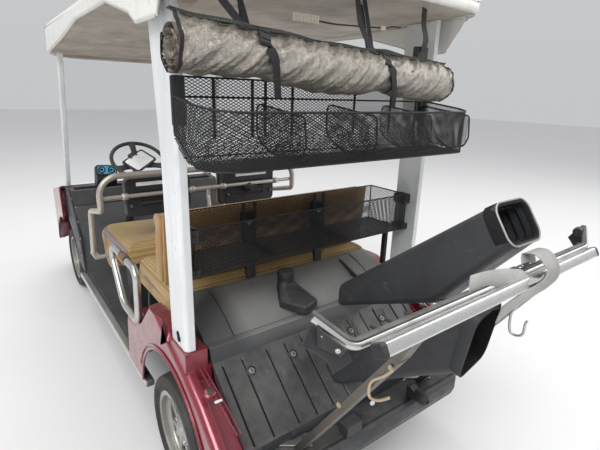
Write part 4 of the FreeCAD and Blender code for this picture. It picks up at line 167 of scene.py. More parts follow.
class Shape:
    """Gathers rings, plates and bars into one mesh with a finish for each face."""

    def __init__(self):
        self.points = []
        self.faces = []
        self.marks = []
        self.finish = 0

    def use(self, number):
        self.finish = number
        return self

    def add(self, points, faces):
        base = len(self.points)
        self.points += [Vector(p) for p in points]
        self.faces += [[base + i for i in face] for face in faces]
        self.marks += [self.finish] * len(faces)
        return self

    def loft(self, rings, closed=False, caps=True):
        """Skins rings of equal count, in order."""
        n = len(rings[0])
        points = [p for ring in rings for p in ring]
        faces = []
        spans = len(rings) if closed else len(rings) - 1
        for i in range(spans):
            a, b = i * n, ((i + 1) % len(rings)) * n
            faces += [[a + k, a + (k + 1) % n, b + (k + 1) % n, b + k] for k in range(n)]
        if caps and not closed:
            faces.append(list(range(n))[::-1])
            faces.append([(len(rings) - 1) * n + k for k in range(n)])
        return self.add(points, faces)

    def sweep(self, line, section, up=None, closed=False, caps=True, scale=None):
        """Carries a section of (side, height) points along a line."""
        n = len(line)
        rings = []
        normal = None
        for i, p in enumerate(line):
            if closed:
                run = line[(i + 1) % n] - line[i - 1]
            else:
                run = line[min(n - 1, i + 1)] - line[max(0, i - 1)]
            run.normalize()
            if up is not None:
                side = run.cross(up).normalized()
                high = side.cross(run).normalized()
            else:
                if normal is None:
                    normal = run.orthogonal().normalized()
                normal = (normal - run * normal.dot(run)).normalized()
                side, high = normal, run.cross(normal)
            grow = 1.0 if scale is None else scale(i / max(1, n - 1))
            rings.append([p + side * (u * grow) + high * (v * grow) for u, v in section])
        return self.loft(rings, closed, caps)

    def tube(self, line, radius, sides=14, closed=False, caps=True, scale=None):
        section = [(radius * math.cos(math.tau * k / sides), radius * math.sin(math.tau * k / sides))
                   for k in range(sides)]
        return self.sweep(line, section, None, closed, caps, scale)

    def band(self, line, across, width, thickness):
        """A flat strap along a line, with across as its wide direction."""
        across = Vector(across).normalized()
        rings = []
        n = len(line)
        for i, p in enumerate(line):
            run = (line[min(n - 1, i + 1)] - line[max(0, i - 1)]).normalized()
            wide = (across - run * across.dot(run)).normalized()
            out = run.cross(wide)
            w, t = wide * (width / 2), out * (thickness / 2)
            rings.append([p - w - t, p + w - t, p + w + t, p - w + t])
        return self.loft(rings)

    def lathe(self, profile, base, axis, steps=32, caps=True):
        """Turns (radius, height) points round an axis through the base."""
        axis = Vector(axis).normalized()
        side = axis.orthogonal().normalized()
        other = axis.cross(side)
        rings = []
        for radius, height in profile:
            rings.append([base + axis * height + (side * math.cos(a) + other * math.sin(a)) * radius
                          for a in (math.tau * k / steps for k in range(steps))])
        return self.loft(rings, caps=caps)

    def plate(self, outline, push):
        """A flat outline pushed out into a plate."""
        n = len(outline)
        top = [p + push for p in outline]
        faces = [list(range(n))[::-1], [n + k for k in range(n)]]
        faces += [[k, (k + 1) % n, n + (k + 1) % n, n + k] for k in range(n)]
        return self.add(list(outline) + top, faces)

    def block(self, low, high, turn=None, pivot=None):
        """A box between two corners, turned about a pivot if asked."""
        (x0, y0, z0), (x1, y1, z1) = low, high
        points = [Vector((x, y, z)) for z in (z0, z1) for x, y in
                  ((x0, y0), (x1, y0), (x1, y1), (x0, y1))]
        if turn is not None:
            points = [pivot + turn @ (p - pivot) for p in points]
        return self.add(points, [[3, 2, 1, 0], [4, 5, 6, 7], [0, 1, 5, 4], [1, 2, 6, 5],
                                 [2, 3, 7, 6], [3, 0, 4, 7]])

    def bolt(self, base, axis, radius, height, hexagon=True):
        """A washer with a domed or hexagonal head."""
        self.lathe([(radius * 1.5, 0), (radius * 1.5, height * 0.25), (radius * 1.3, height * 0.3)],
                   base, axis, 20)
        if hexagon:
            return self.lathe([(radius, height * 0.2), (radius, height * 0.9),
                               (radius * 0.85, height)], base, axis, 6)
        return self.lathe([(radius, height * 0.2), (radius * 0.9, height * 0.65),
                           (radius * 0.5, height)], base, axis, 20)

    def piece(self, name, finishes, body="cart", bevel=0.0, segments=2, smooth=38):
        """Turns what was gathered into a piece that rides on a body."""
        mesh = bpy.data.meshes.new(name)
        mesh.from_pydata(self.points, [], self.faces)
        for finish in finishes:
            mesh.materials.append(finish)
        mesh.polygons.foreach_set("material_index", self.marks)
        made = bmesh.new()
        made.from_mesh(mesh)
        bmesh.ops.recalc_face_normals(made, faces=made.faces)
        made.to_mesh(mesh)
        made.free()
        obj = bpy.data.objects.new(name, mesh)
        bpy.context.scene.collection.objects.link(obj)
        if bevel:
            soften(obj, bevel, segments)
        else:
            mesh.shade_smooth()
            mesh.set_sharp_from_angle(angle=math.radians(smooth))
        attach(obj, body)
        return obj


def soften(obj, width, segments=2, angle=32):
    """Rounds the sharp edges of a piece and evens its shading."""
    for polygon in obj.data.polygons:
        polygon.use_smooth = True
    bevel = obj.modifiers.new("Rounded edges", "BEVEL")
    bevel.width = width
    bevel.segments = segments
    bevel.limit_method = "ANGLE"
    bevel.angle_limit = math.radians(angle)
    bevel.use_clamp_overlap = False
    bevel.miter_outer = "MITER_ARC"
    shading = obj.modifiers.new("Even shading", "WEIGHTED_NORMAL")
    shading.keep_sharp = False
    return obj


def rounded_rect(half_wide, half_high, radius, steps=6):
    """(side, height) points of a rectangle with round corners, counter-clockwise."""
    section = []
    for turn, (sx, sy) in enumerate(((1, 1), (-1, 1), (-1, -1), (1, -1))):
        for k in range(steps + 1):
            a = math.pi / 2 * (turn + k / steps)
            section.append((sx * (half_wide - radius) + radius * math.cos(a),
                            sy * (half_high - radius) + radius * math.sin(a)))
    return section


# Finishes


class Recipe:
    """Builds the nodes of one finish."""

    def __init__(self, name):
        self.material = bpy.data.materials.new(name)
        self.material.use_nodes = True
        self.tree = self.material.node_tree
        self.tree.nodes.clear()
        self.output = self.tree.nodes.new("ShaderNodeOutputMaterial")
        self.shader = self.tree.nodes.new("ShaderNodeBsdfPrincipled")
        self.tree.links.new(self.shader.outputs[0], self.output.inputs[0])
        self.place = self.tree.nodes.new("ShaderNodeTexCoord").outputs["Object"]

    def node(self, kind, **values):
        made = self.tree.nodes.new(kind)
        for key, value in values.items():
            setattr(made, key, value)
        return made

    def feed(self, socket, value):
        if isinstance(value, bpy.types.NodeSocket):
            self.tree.links.new(value, socket)
        else:
            socket.default_value = value

    def spot(self, stretch):
        """Object coordinates stretched by three factors."""
        if stretch is None:
            return self.place
        mapping = self.node("ShaderNodeMapping")
        self.feed(mapping.inputs["Vector"], self.place)
        mapping.inputs["Scale"].default_value = stretch
        return mapping.outputs[0]

    def noise(self, scale, detail=3.0, rough=0.55, stretch=None):
        made = self.node("ShaderNodeTexNoise")
        self.feed(made.inputs["Vector"], self.spot(stretch))
        made.inputs["Scale"].default_value = scale
        made.inputs["Detail"].default_value = detail
        made.inputs["Roughness"].default_value = rough
        return made.outputs["Fac"]

    def cells(self, scale, stretch=None, random=1.0, feature="F1"):
        made = self.node("ShaderNodeTexVoronoi", feature=feature)
        self.feed(made.inputs["Vector"], self.spot(stretch))
        made.inputs["Scale"].default_value = scale
        made.inputs["Randomness"].default_value = random
        return made.outputs["Distance"]

    def wave(self, scale, direction, warp=0.0, profile="SIN"):
        made = self.node("ShaderNodeTexWave", bands_direction=direction, wave_profile=profile)
        self.feed(made.inputs["Vector"], self.place)
        made.inputs["Scale"].default_value = scale
        made.inputs["Distortion"].default_value = warp
        return made.outputs["Fac"]

    def math(self, operation, a, b=0.0, clamp=False):
        made = self.node("ShaderNodeMath", operation=operation, use_clamp=clamp)
        self.feed(made.inputs[0], a)
        self.feed(made.inputs[1], b)
        return made.outputs[0]

    def between(self, value, low, high, start=0.0, end=1.0):
        """Stretches the part of a value from low to high over start to end."""
        made = self.node("ShaderNodeMapRange")
        self.feed(made.inputs["Value"], value)
        for key, number in zip(("From Min", "From Max", "To Min", "To Max"),
                               (low, high, start, end)):
            made.inputs[key].default_value = number
        return made.outputs[0]

    def mix(self, share, a, b):
        made = self.node("ShaderNodeMix", data_type="RGBA")
        self.feed(made.inputs["Factor"], share)
        for socket, value in zip([s for s in made.inputs if s.type == "RGBA"], (a, b)):
            self.feed(socket, value if isinstance(value, bpy.types.NodeSocket) else (*value, 1.0))
        return [s for s in made.outputs if s.type == "RGBA"][0]

    def part(self, vector, axis):
        made = self.node("ShaderNodeSeparateXYZ")
        self.feed(made.inputs[0], vector)
        return made.outputs[axis]

    def upward(self):
        """How far a surface faces up, from 0 to 1."""
        return self.math("MAXIMUM", self.part(self.node("ShaderNodeNewGeometry").outputs["Normal"],
                                              "Z"), 0.0)

    def bump(self, height, strength, distance, below=None):
        made = self.node("ShaderNodeBump")
        made.inputs["Strength"].default_value = strength
        made.inputs["Distance"].default_value = distance
        self.feed(made.inputs["Height"], height)
        if below is not None:
            self.feed(made.inputs["Normal"], below)
        return made.outputs[0]

    def done(self, colour, rough, normal=None, **sockets):
        self.feed(self.shader.inputs["Base Color"],
                  colour if isinstance(colour, bpy.types.NodeSocket) else (*colour, 1.0))
        self.feed(self.shader.inputs["Roughness"], rough)
        if normal is not None:
            self.feed(self.shader.inputs["Normal"], normal)
        for key, value in sockets.items():
            self.shader.inputs[key.replace("_", " ")].default_value = value
        return self.material


def shade(rgb, factor):
    return tuple(min(1.0, c * factor) for c in rgb)


def blendof(a, b, share):
    return tuple(x + (y - x) * share for x, y in zip(a, b))


DUST = (0.33, 0.30, 0.26)


def moulded(name, rgb, rough=0.5, grain=0.25, dust=0.35, scuffs=0.3, size=900.0):
    """Grained plastic with dust on its upper faces and pale scuffs."""
    r = Recipe(name)
    cloud = r.noise(6.0, 5.0, 0.6)
    base = r.mix(r.between(cloud, 0.3, 0.7), shade(rgb, 0.75), shade(rgb, 1.35))
    streak = r.between(r.noise(26.0, 6.0, 0.75, (1.0, 0.35, 1.0)), 0.58, 0.80, 0.0, scuffs)
    base = r.mix(streak, base, blendof(rgb, (0.5, 0.5, 0.5), 0.35))
    settle = r.math("MULTIPLY", r.between(r.upward(), 0.25, 0.95, 0.0, dust),
                    r.between(r.noise(9.0, 6.0, 0.65), 0.32, 0.72))
    base = r.mix(settle, base, DUST)
    height = r.cells(size)
    normal = r.bump(height, grain, 0.0006)
    normal = r.bump(r.noise(70.0, 3.0), 0.12, 0.001, normal)
    return r.done(base, r.between(r.noise(14.0, 4.0), 0.3, 0.7, rough - 0.08, rough + 0.14),
                  normal, Specular_IOR_Level=0.45)


def dust_and_sheen_deck(name, rgb):
    """Smooth moulding lightened on its upper faces by dust and a painted sheen of the sky, less toward
    the left.
    """
    r = Recipe(name)
    x = r.part(r.place, "X")
    # Dust and painted sky sheen together: upper faces lightened, weaker beyond x 0.30 to 0.38
    dust_and_sheen = r.math("MULTIPLY", r.between(r.upward(), 0.15, 0.95, 0.0, 0.80),
                  r.between(x, 0.30, 0.38, 1.0, 0.30))
    dust_and_sheen = r.math("MULTIPLY", dust_and_sheen, r.between(r.noise(2.4, 3.0, 0.5), 0.3, 0.7, 0.75, 1.0))
    wiped = r.between(r.noise(12.0, 6.0, 0.7, (1.0, 0.3, 1.0)), 0.55, 0.8, 0.0, 0.25)
    base = r.mix(dust_and_sheen, shade(rgb, 1.2), (0.34, 0.335, 0.32))
    base = r.mix(wiped, base, shade(rgb, 2.0))
    return r.done(base, r.between(r.noise(8.0, 4.0), 0.3, 0.7, 0.30, 0.40),
                  r.bump(r.cells(900.0), 0.12, 0.0005))


def painted(name, rgb, rough=0.28, coat=0.6, grime=0.3, wear=0.0, metal=0.0, flake_glint=0.0):
    """Gloss paint with run-down grime, and flakes painted in as pale glints where it is metallic."""
    r = Recipe(name)
    base = r.mix(r.between(r.noise(3.0, 4.0), 0.3, 0.7), shade(rgb, 0.9), shade(rgb, 1.08))
    if flake_glint:
        # Painted glints: pale pink flecks mixed into the base colour stand in for flakes catching the
        # light
        glint = r.between(r.cells(2600.0), 0.1, 0.45, flake_glint, 0.0)
        base = r.mix(glint, base, blendof(shade(rgb, 3.0), (0.9, 0.35, 0.42), 0.35))
    run = r.math("MULTIPLY", r.between(r.noise(18.0, 6.0, 0.7, (1.0, 1.0, 0.12)), 0.5, 0.78),
                 grime)
    base = r.mix(run, base, blendof(rgb, (0.16, 0.13, 0.10), 0.7))
    if wear:
        chip = r.between(r.noise(60.0, 8.0, 0.8), 0.66, 0.72, 0.0, wear)
        base = r.mix(chip, base, (0.10, 0.085, 0.07))
    settle = r.math("MULTIPLY", r.between(r.upward(), 0.5, 1.0, 0.0, grime * 0.6),
                    r.between(r.noise(8.0, 5.0, 0.6), 0.35, 0.75))
    base = r.mix(settle, base, DUST)
    normal = r.bump(r.noise(220.0, 2.0), 0.05, 0.0006)
    return r.done(base, r.between(r.noise(11.0, 5.0), 0.3, 0.75, rough - 0.06, rough + 0.16),
                  normal, Metallic=metal, Coat_Weight=coat, Coat_Roughness=0.12)


def drawn_metal(name, rgb, rough=0.26, along=(1.0, 40.0, 40.0), stain=0.35):
    """Bright drawn metal with fine lines along it and dull stains."""
    r = Recipe(name)
    lines = r.noise(60.0, 5.0, 0.7, along)
    base = r.mix(r.between(lines, 0.3, 0.7), shade(rgb, 0.85), shade(rgb, 1.1))
    dull = r.between(r.noise(13.0, 6.0, 0.7), 0.5, 0.78, 0.0, stain)
    base = r.mix(dull, base, blendof(shade(rgb, 0.5), (0.20, 0.17, 0.13), 0.5))
    rough_field = r.math("ADD", r.between(lines, 0.2, 0.8, rough - 0.05, rough + 0.10),
                         r.math("MULTIPLY", dull, 0.5))
    return r.done(base, rough_field, r.bump(lines, 0.08, 0.0004), Metallic=0.95)


def seat_cloth(name, colours, rows, edge, tail=None):
    """Knitted cloth in rows with small holes, painted dark as the shade inside them, and plain vinyl
    strips by the side edges.
    """
    r = Recipe(name)
    tan, side, plain = colours
    stretch = (1.0, 1.0, 0.0) if rows == "flat" else (1.0, 0.0, 1.0)
    hole = r.cells(100.0, stretch, 0.0)
    dots = r.between(hole, 0.20, 0.36)
    ribs = r.wave(16.0, "Y" if rows == "flat" else "Z")
    base = r.mix(r.between(r.noise(5.0, 4.0), 0.3, 0.7), shade(tan, 0.85), shade(tan, 1.12))
    # Painted shade: the holes are darkened to a sixth of the cloth colour
    base = r.mix(dots, shade(tan, 0.16), base)
    base = r.mix(r.between(ribs, 0.0, 1.0, 0.0, 0.15), base, shade(tan, 1.3))
    x = r.math("ABSOLUTE", r.part(r.place, "X"))
    past = r.between(x, edge - 0.001, edge + 0.001)
    vinyl = r.mix(r.between(r.noise(9.0, 5.0), 0.3, 0.7), shade(side, 0.8), shade(side, 1.2))
    base = r.mix(past, base, vinyl)
    cloth = r.math("SUBTRACT", 1.0, past)
    if tail is not None:
        axis, limit, sign = tail
        value = r.math("MULTIPLY", r.part(r.place, axis), sign)
        beyond = r.between(value, limit * sign - 0.001, limit * sign + 0.001)
        base = r.mix(beyond, base, r.mix(r.noise(30.0, 5.0), shade(plain, 0.8), shade(plain, 1.15)))
        cloth = r.math("MULTIPLY", cloth, r.math("SUBTRACT", 1.0, beyond))
    height = r.math("MULTIPLY", r.math("ADD", dots, r.math("MULTIPLY", ribs, 0.6)), cloth)
    normal = r.bump(height, 0.6, 0.0016)
    normal = r.bump(r.cells(700.0), 0.12, 0.0005, normal)
    return r.done(base, 0.58, normal, Specular_IOR_Level=0.35, Sheen_Weight=0.15)


def woven(name, rgb, pitch):
    """A net or webbing woven across and along."""
    r = Recipe(name)
    across = r.cells(pitch, (1.0, 0.8, 0.8), 0.15)
    cloud = r.between(r.noise(7.0, 6.0, 0.7, (0.5, 1.4, 1.4)), 0.3, 0.7)
    base = r.mix(cloud, shade(rgb, 0.6), shade(rgb, 1.3))
    base = r.mix(r.between(across, 0.22, 0.55), base, shade(rgb, 0.32))
    normal = r.bump(across, 0.4, 0.001)
    return r.done(base, 0.6, normal, Sheen_Weight=0.1)


def foil_cloth(name, rgb):
    """Silvery woven foil with fine crinkles, their hollows painted darker as shade, and pulled creases.
    """
    r = Recipe(name)
    weft = r.wave(95.0, "X")
    warp = r.wave(95.0, "Z")
    weave = r.math("MULTIPLY", weft, warp)
    crinkle = r.noise(85.0, 4.0, 0.7, (1.0, 0.6, 0.6))
    base = r.mix(r.between(r.noise(6.0, 5.0, 0.65), 0.3, 0.7), shade(rgb, 0.75), shade(rgb, 1.25))
    # Painted shade: the hollows of the crinkle bump are darkened
    base = r.mix(r.between(crinkle, 0.38, 0.62), shade(rgb, 0.55), base)
    base = r.mix(r.between(weave, 0.0, 0.25), shade(rgb, 0.50), base)
    normal = r.bump(weave, 0.35, 0.0012)
    normal = r.bump(crinkle, 0.55, 0.006, normal)
    normal = r.bump(r.noise(26.0, 3.0, 0.6, (0.45, 1.3, 1.3)), 0.5, 0.014, normal)
    return r.done(base, r.between(crinkle, 0.3, 0.7, 0.26, 0.48), normal, Metallic=0.72)


FINISH = {}


def make_finishes(c):
    """All the finishes, by name."""
    f = FINISH
    f["body_red"] = painted("Body paint", c.body_red, 0.26, 0.9, 0.25, 0.0, 0.35, 0.6)
    f["roof_white"] = painted("Roof moulding", c.roof_white, 0.32, 0.4, 0.28)
    f["pillar_white"] = painted("Pillar paint", c.pillar_white, 0.30, 0.5, 0.42, 0.25)
    f["liner_beige"] = moulded("Roof liner", c.liner_beige, 0.62, 0.15, 0.0, 0.25)
    f["black_plastic"] = moulded("Black moulding", c.black_plastic, 0.46, 0.35, 0.30, 0.35)
    f["tube_plastic"] = moulded("Club tube moulding", shade(c.black_plastic, 1.75), 0.5, 0.4,
                                0.25, 0.5, 700.0)
    f["collar"] = moulded("Collar rubber", (0.005, 0.005, 0.006), 0.75, 0.1, 0.0, 0.0)
    # Deck moulding: its heavy dust on upper faces is partly real dust and partly a painted sheen of the
    # sky
    f["deck_plastic"] = moulded("Deck moulding", c.grey_plastic, 0.42, 0.3, 0.55, 0.25)
    f["deck_dust_and_sheen"] = dust_and_sheen_deck("Rear deck moulding", c.grey_plastic)
    f["grey_plastic"] = moulded("Grey moulding", c.grey_plastic, 0.42, 0.3, 0.30, 0.35)
    f["bag_floor"] = moulded("Bag floor moulding", shade(c.black_plastic, 1.9), 0.34, 0.25, 0.34,
                             0.55)
    f["tyre"] = moulded("Tyre rubber", c.tyre, 0.66, 0.15, 0.15, 0.5, 500.0)
    f["wheel_silver"] = painted("Wheel paint", c.wheel_silver, 0.34, 0.15, 0.75, 0.5, 0.6)
    f["steel_black"] = painted("Black steel", c.steel_black, 0.5, 0.0, 0.6, 0.6)
    f["aluminium"] = drawn_metal("Aluminium rail", c.aluminium)
    f["aluminium_y"] = drawn_metal("Aluminium sill", c.aluminium, 0.3, (40.0, 1.0, 40.0), 0.5)
    f["aluminium_z"] = drawn_metal("Aluminium arm", shade(c.frame_beige, 0.40), 0.45,
                                   (40.0, 14.0, 4.0), 0.5)
    f["steel"] = drawn_metal("Zinc steel", shade(c.aluminium, 0.8), 0.36, (20.0, 20.0, 20.0), 0.5)
    f["frame_beige"] = painted("Seat frame paint", c.frame_beige, 0.32, 0.1, 0.35, 0.45, 0.6)
    f["hoop_silver"] = drawn_metal("Bright tube", c.hoop_silver, 0.3, (9.0, 9.0, 9.0), 0.45)
    f["floor_dark"] = floor_mat(c.floor_dark)
    f["mesh_black"] = painted("Basket paint", c.mesh_black, 0.55, 0.0, 0.06, 0.10)
    f["curtain"] = foil_cloth("Curtain foil", c.curtain)
    f["curtain_net"] = woven("Curtain net", c.curtain_net, 150.0)
    f["strap_black"] = woven("Webbing", c.strap_black, 420.0)
    f["belt_grey"] = moulded("Belt rubber", c.belt_grey, 0.6, 0.3, 0.25, 0.5, 420.0)
    f["brass"] = painted("Yellowed wire", c.brass, 0.4, 0.1, 0.5, 0.5, 0.5)
    f["card"] = moulded("Blank card", c.card_white, 0.55, 0.05, 0.0, 0.08)
    f["dial"] = dial_face(c.dial_blue)
    f["grip"] = moulded("Worn grip", c.grip_brown, 0.55, 0.4, 0.1, 0.7, 260.0)
    f["brown"] = moulded("Tan leather", c.seat_brown, 0.5, 0.4, 0.1, 0.3, 420.0)
    f["glass"] = clear_sheet(c.glass)
    # Near-black finish that paints the shade inside tube mouths, grooves and recesses
    f["hole"] = moulded("Dark opening", (0.004, 0.004, 0.005), 0.9, 0.0, 0.0, 0.0)
    f["screw"] = drawn_metal("Screw head", shade(c.aluminium, 0.45), 0.45, (9.0, 9.0, 9.0), 0.6)
    f["lens"] = painted("Lamp lens", (0.62, 0.64, 0.66), 0.12, 1.0, 0.2, 0.0, 0.4)


def floor_mat(rgb):
    """Rubber mat with fine ribs and grit in them."""
    r = Recipe("Floor mat")
    ribs = r.wave(52.0, "X", 0.0, "TRI")
    grit = r.between(r.noise(60.0, 8.0, 0.8), 0.55, 0.75, 0.0, 0.5)
    base = r.mix(r.between(r.noise(4.0, 5.0), 0.3, 0.7), shade(rgb, 0.7), shade(rgb, 1.4))
    base = r.mix(grit, base, shade(DUST, 0.6))
    normal = r.bump(ribs, 0.5, 0.002)
    return r.done(base, 0.6, r.bump(r.cells(500.0), 0.2, 0.0006, normal))


def dial_face(rgb):
    """Blue dials, mottled a little lighter and darker."""
    r = Recipe("Dial face")
    spots = r.noise(90.0, 2.0)
    base = r.mix(r.between(spots, 0.4, 0.6), shade(rgb, 0.55), shade(rgb, 1.3))
    return r.done(base, 0.15, None, Coat_Weight=1.0)


def clear_sheet(rgb):
    """A clear sheet that lets light straight through, with a faint haze of dust."""
    r = Recipe("Windshield sheet")
    r.shader.inputs["Transmission Weight"].default_value = 1.0
    r.shader.inputs["IOR"].default_value = 1.05
    haze = r.between(r.noise(5.0, 6.0, 0.7), 0.35, 0.8, 0.02, 0.10)
    return r.done(r.mix(haze, rgb, shade(rgb, 0.8)), haze)


# The CAD nodes that stay, with their finish and rounded edges

KEPT = (
    # node, finish, edge rounding in metres, angle
    ("rear_axle", "steel_black", 0.0, 32),
    ("front_axle_beam", "steel_black", 0.0, 32),
    ("knuckle_left", "steel_black", 0.0, 32),
    ("knuckle_right", "steel_black", 0.0, 32),
    ("chassis_frame", "steel_black", 0.003, 32),
    ("engine_block", "steel_black", 0.008, 32),
    ("floor_pan", "floor_dark", 0.003, 32),
    ("sill_trim", "aluminium_y", 0.002, 32),
    ("rack_arms", "aluminium_z", 0.002, 32),
    ("front_seat_base", "black_plastic", 0.004, 32),
    ("rear_seat_base", "black_plastic", 0.003, 32),
    ("rear_backrest_board", "brown", 0.005, 32),
    ("rear_deck", "deck_dust_and_sheen", 0.004, 32),
    ("dash_panel", "grey_plastic", 0.005, 32),
    ("foot_panels", "grey_plastic", 0.003, 32),
    ("front_bumper", "grey_plastic", 0.006, 32),
    ("seat_brackets", "steel_black", 0.002, 32),
    ("hip_hoops", "hoop_silver", 0.0, 32),
    ("front_seat_frame", "frame_beige", 0.0, 32),
    ("front_cowl", "body_red", 0.008, 32),
    ("rear_body", "body_red", 0.003, 40),
    ("front_pillars", "pillar_white", 0.005, 32),
    ("rear_pillars", "pillar_white", 0.003, 32),
    ("roof_canopy", "roof_white", 0.012, 40),
    ("roof_liner", "liner_beige", 0.006, 32),
    ("headlamps", "lens", 0.0, 32),
    ("windshield", "glass", 0.0, 32),
    ("rear_bumper", "grey_plastic", 0.004, 32),
    ("club_tube_upper", "tube_plastic", 0.0, 32),
    ("club_tube_lower", "tube_plastic", 0.0, 32),
    ("steering_column", "black_plastic", 0.0, 32),
    ("latch_box", "grey_plastic", 0.004, 32),
    ("front_backrest_shells", "black_plastic", 0.0, 32),
    ("rim_front_left", "wheel_silver", 0.0015, 35),
    ("rim_front_right", "wheel_silver", 0.0015, 35),
    ("rim_rear_left", "wheel_silver", 0.0015, 35),
    ("rim_rear_right", "wheel_silver", 0.0015, 35),
)


def dress_node(name, finish, width, angle):
    """Gives a CAD node its finish, joins its faces and rounds its edges."""
    obj = frame["nodes"][name]
    obj.data.materials.clear()
    obj.data.materials.append(FINISH[finish])
    weld = obj.modifiers.new("Joined faces", "WELD")
    weld.merge_threshold = 0.00002
    if width:
        flat = obj.modifiers.new("Flat faces", "DECIMATE")
        flat.decimate_type = "DISSOLVE"
        flat.angle_limit = math.radians(0.6)
        soften(obj, width, 2, angle)
    else:
        for polygon in obj.data.polygons:
            polygon.use_smooth = True
        crisp = obj.modifiers.new("Sharp edges", "EDGE_SPLIT")
        crisp.split_angle = math.radians(angle)
        shading = obj.modifiers.new("Even shading", "WEIGHTED_NORMAL")
        shading.keep_sharp = True


# Wheels

WHEELS = ("front_left", "front_right", "rear_left", "rear_right")
TYRE_SECTION = (
    # across, radius
    (0.084, 0.156), (0.089, 0.163), (0.091, 0.166), (0.095, 0.170), (0.0965, 0.172),
    (0.100, 0.180), (0.1025, 0.190), (0.1035, 0.200), (0.1025, 0.208), (0.099, 0.2145),
    (0.094, 0.219), (0.090, 0.2212),
)
TREAD_HALF = 0.086
BLOCKS = 46


def make_tyre(wheel, sizes):
    hinge = HINGES[wheel + "_wheel_spin"]
    centre = Vector(hinge["pos_m"])
    across_tread = 22
    steps = BLOCKS * 6
    rings = []
    for i in range(steps):
        angle = math.tau * i / steps
        ring = [(-x, r) for x, r in TYRE_SECTION]
        for k in range(across_tread + 1):
            x = TREAD_HALF * (2 * k / across_tread - 1)
            share = abs(x) / TREAD_HALF
            r = 0.2285 - 0.007 * share ** 2.5
            phase = (i + round(abs(x) * 90)) % 6
            slit = phase == 0 and share > 0.36
            groove = abs(abs(x) - 0.031) < 0.0045 or abs(x) < 0.0035
            if slit or groove:
                r -= sizes.tread_depth
            ring.append((x, r))
        ring += [(x, r) for x, r in TYRE_SECTION[::-1]]
        ring += [(0.080, 0.1535), (0.0, 0.1530), (-0.080, 0.1535)]
        rings.append([centre + Vector((x, r * math.cos(angle), r * math.sin(angle)))
                      for x, r in ring])
    shape = Shape().loft(rings, closed=True)
    side = 1 if wheel.endswith("left") else -1
    for radius, height in ((0.1945, 0.0012), (0.1800, 0.0010)):
        ring = []
        for k in range(72):
            a = math.tau * k / 72
            ring.append(centre + Vector((side * (0.1029 - (0.0012 if radius < 0.19 else 0)),
                                         radius * math.cos(a), radius * math.sin(a))))
        shape.tube(ring, height, 6, closed=True)
    obj = shape.piece("Tyre_" + wheel, [FINISH["tyre"]], "wheel_" + wheel, smooth=28)
    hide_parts("tyre_" + wheel)


def make_wheel_details(wheel):
    """Nuts and valve on the outer side of a rim."""
    side = 1 if wheel.endswith("left") else -1
    centre = Vector(HINGES[wheel + "_wheel_spin"]["pos_m"])
    face = centre + Vector((side * 0.0592, 0, 0))
    out = Vector((side, 0, 0))
    shape = Shape()
    for k in range(4):
        a = math.tau * (k + 0.5) / 4
        spot = face + Vector((0, 0.054 * math.cos(a), 0.054 * math.sin(a))) * 0.86
        shape.bolt(spot, out, 0.0085, 0.016)
    shape.use(1)
    valve = centre + Vector((side * 0.071, 0.092, 0.10))
    shape.tube([valve - out * 0.012, valve + out * 0.012], 0.0045, 10)
    obj = shape.piece("Wheel_nuts_" + wheel, [FINISH["steel"], FINISH["tyre"]], "wheel_" + wheel)


# Seat pads

def copied_mesh(node, name, shrink):
    """A copy of a CAD node's mesh, joined and drawn in by a little."""
    made = bmesh.new()
    made.from_mesh(frame["nodes"][node].data)
    bmesh.ops.remove_doubles(made, verts=made.verts, dist=0.00005)
    bmesh.ops.dissolve_limit(made, angle_limit=math.radians(0.6), verts=made.verts,
                             edges=made.edges)
    made.normal_update()
    moves = {v: v.normal * v.calc_shell_factor() * shrink for v in made.verts}
    for vert, move in moves.items():
        if move.length < shrink * 3:
            vert.co -= move
    mesh = bpy.data.meshes.new(name)
    made.to_mesh(mesh)
    made.free()
    obj = bpy.data.objects.new(name, mesh)
    bpy.context.scene.collection.objects.link(obj)
    return obj


def apply_modifiers(obj):
    graph = bpy.context.evaluated_depsgraph_get()
    graph.update()
    mesh = bpy.data.meshes.new_from_object(obj.evaluated_get(graph))
    obj.modifiers.clear()
    obj.data = mesh


def blow_up(obj, sizes, held, swell, pressure=4.0):
    """Blows up a pad as cloth, holding the points that rest on something."""
    grid = obj.modifiers.new("Grid", "REMESH")
    grid.mode = "VOXEL"
    grid.voxel_size = sizes.pad_voxel
    grid.use_smooth_shade = True
    apply_modifiers(obj)
    start = [v.co.copy() for v in obj.data.vertices]
    group = obj.vertex_groups.new(name="Held")
    group.add([i for i, co in enumerate(start) if held(co)], 1.0, "REPLACE")
    cloth = obj.modifiers.new("Stuffing", "CLOTH")
    settings = cloth.settings
    settings.quality = 3
    settings.mass = 0.3
    settings.tension_stiffness = 12.0
    settings.compression_stiffness = 12.0
    settings.bending_stiffness = 0.6
    settings.use_pressure = True
    settings.uniform_pressure_force = pressure
    settings.effector_weights.gravity = 0.0
    settings.vertex_group_mass = "Held"
    cloth.collision_settings.use_collision = False
    cloth.point_cache.frame_start = 1
    cloth.point_cache.frame_end = 20
    for number in range(1, 21):
        bpy.context.scene.frame_set(number)
    apply_modifiers(obj)
    bpy.context.scene.frame_set(1)
    obj.vertex_groups.clear()
    for vert, rest in zip(obj.data.vertices, start):
        move = vert.co - rest
        if move.length > swell:
            move *= swell / move.length
        vert.co = rest + move


def sew(obj, seams, sizes, clamp):
    """Draws the pad in along its seams and keeps it inside a box."""
    obj.data.update()
    moved = []
    for vert in obj.data.vertices:
        depth = 0.0
        for seam in seams:
            gap, width, deep = seam(vert.co), sizes.seam_depth * 1.6, sizes.seam_depth
            if gap is not None and gap < width * 3:
                depth = max(depth, deep * math.exp(-(gap / width) ** 2))
        moved.append(vert.co - vert.normal * depth)
    low, high = clamp
    for vert, co in zip(obj.data.vertices, moved):
        vert.co = [min(max(c, a), b) for c, a, b in zip(co, low, high)]
    fine = obj.modifiers.new("Finer", "SUBSURF")
    fine.levels = 1
    fine.render_levels = 1
    apply_modifiers(obj)
    for polygon in obj.data.polygons:
        polygon.use_smooth = True


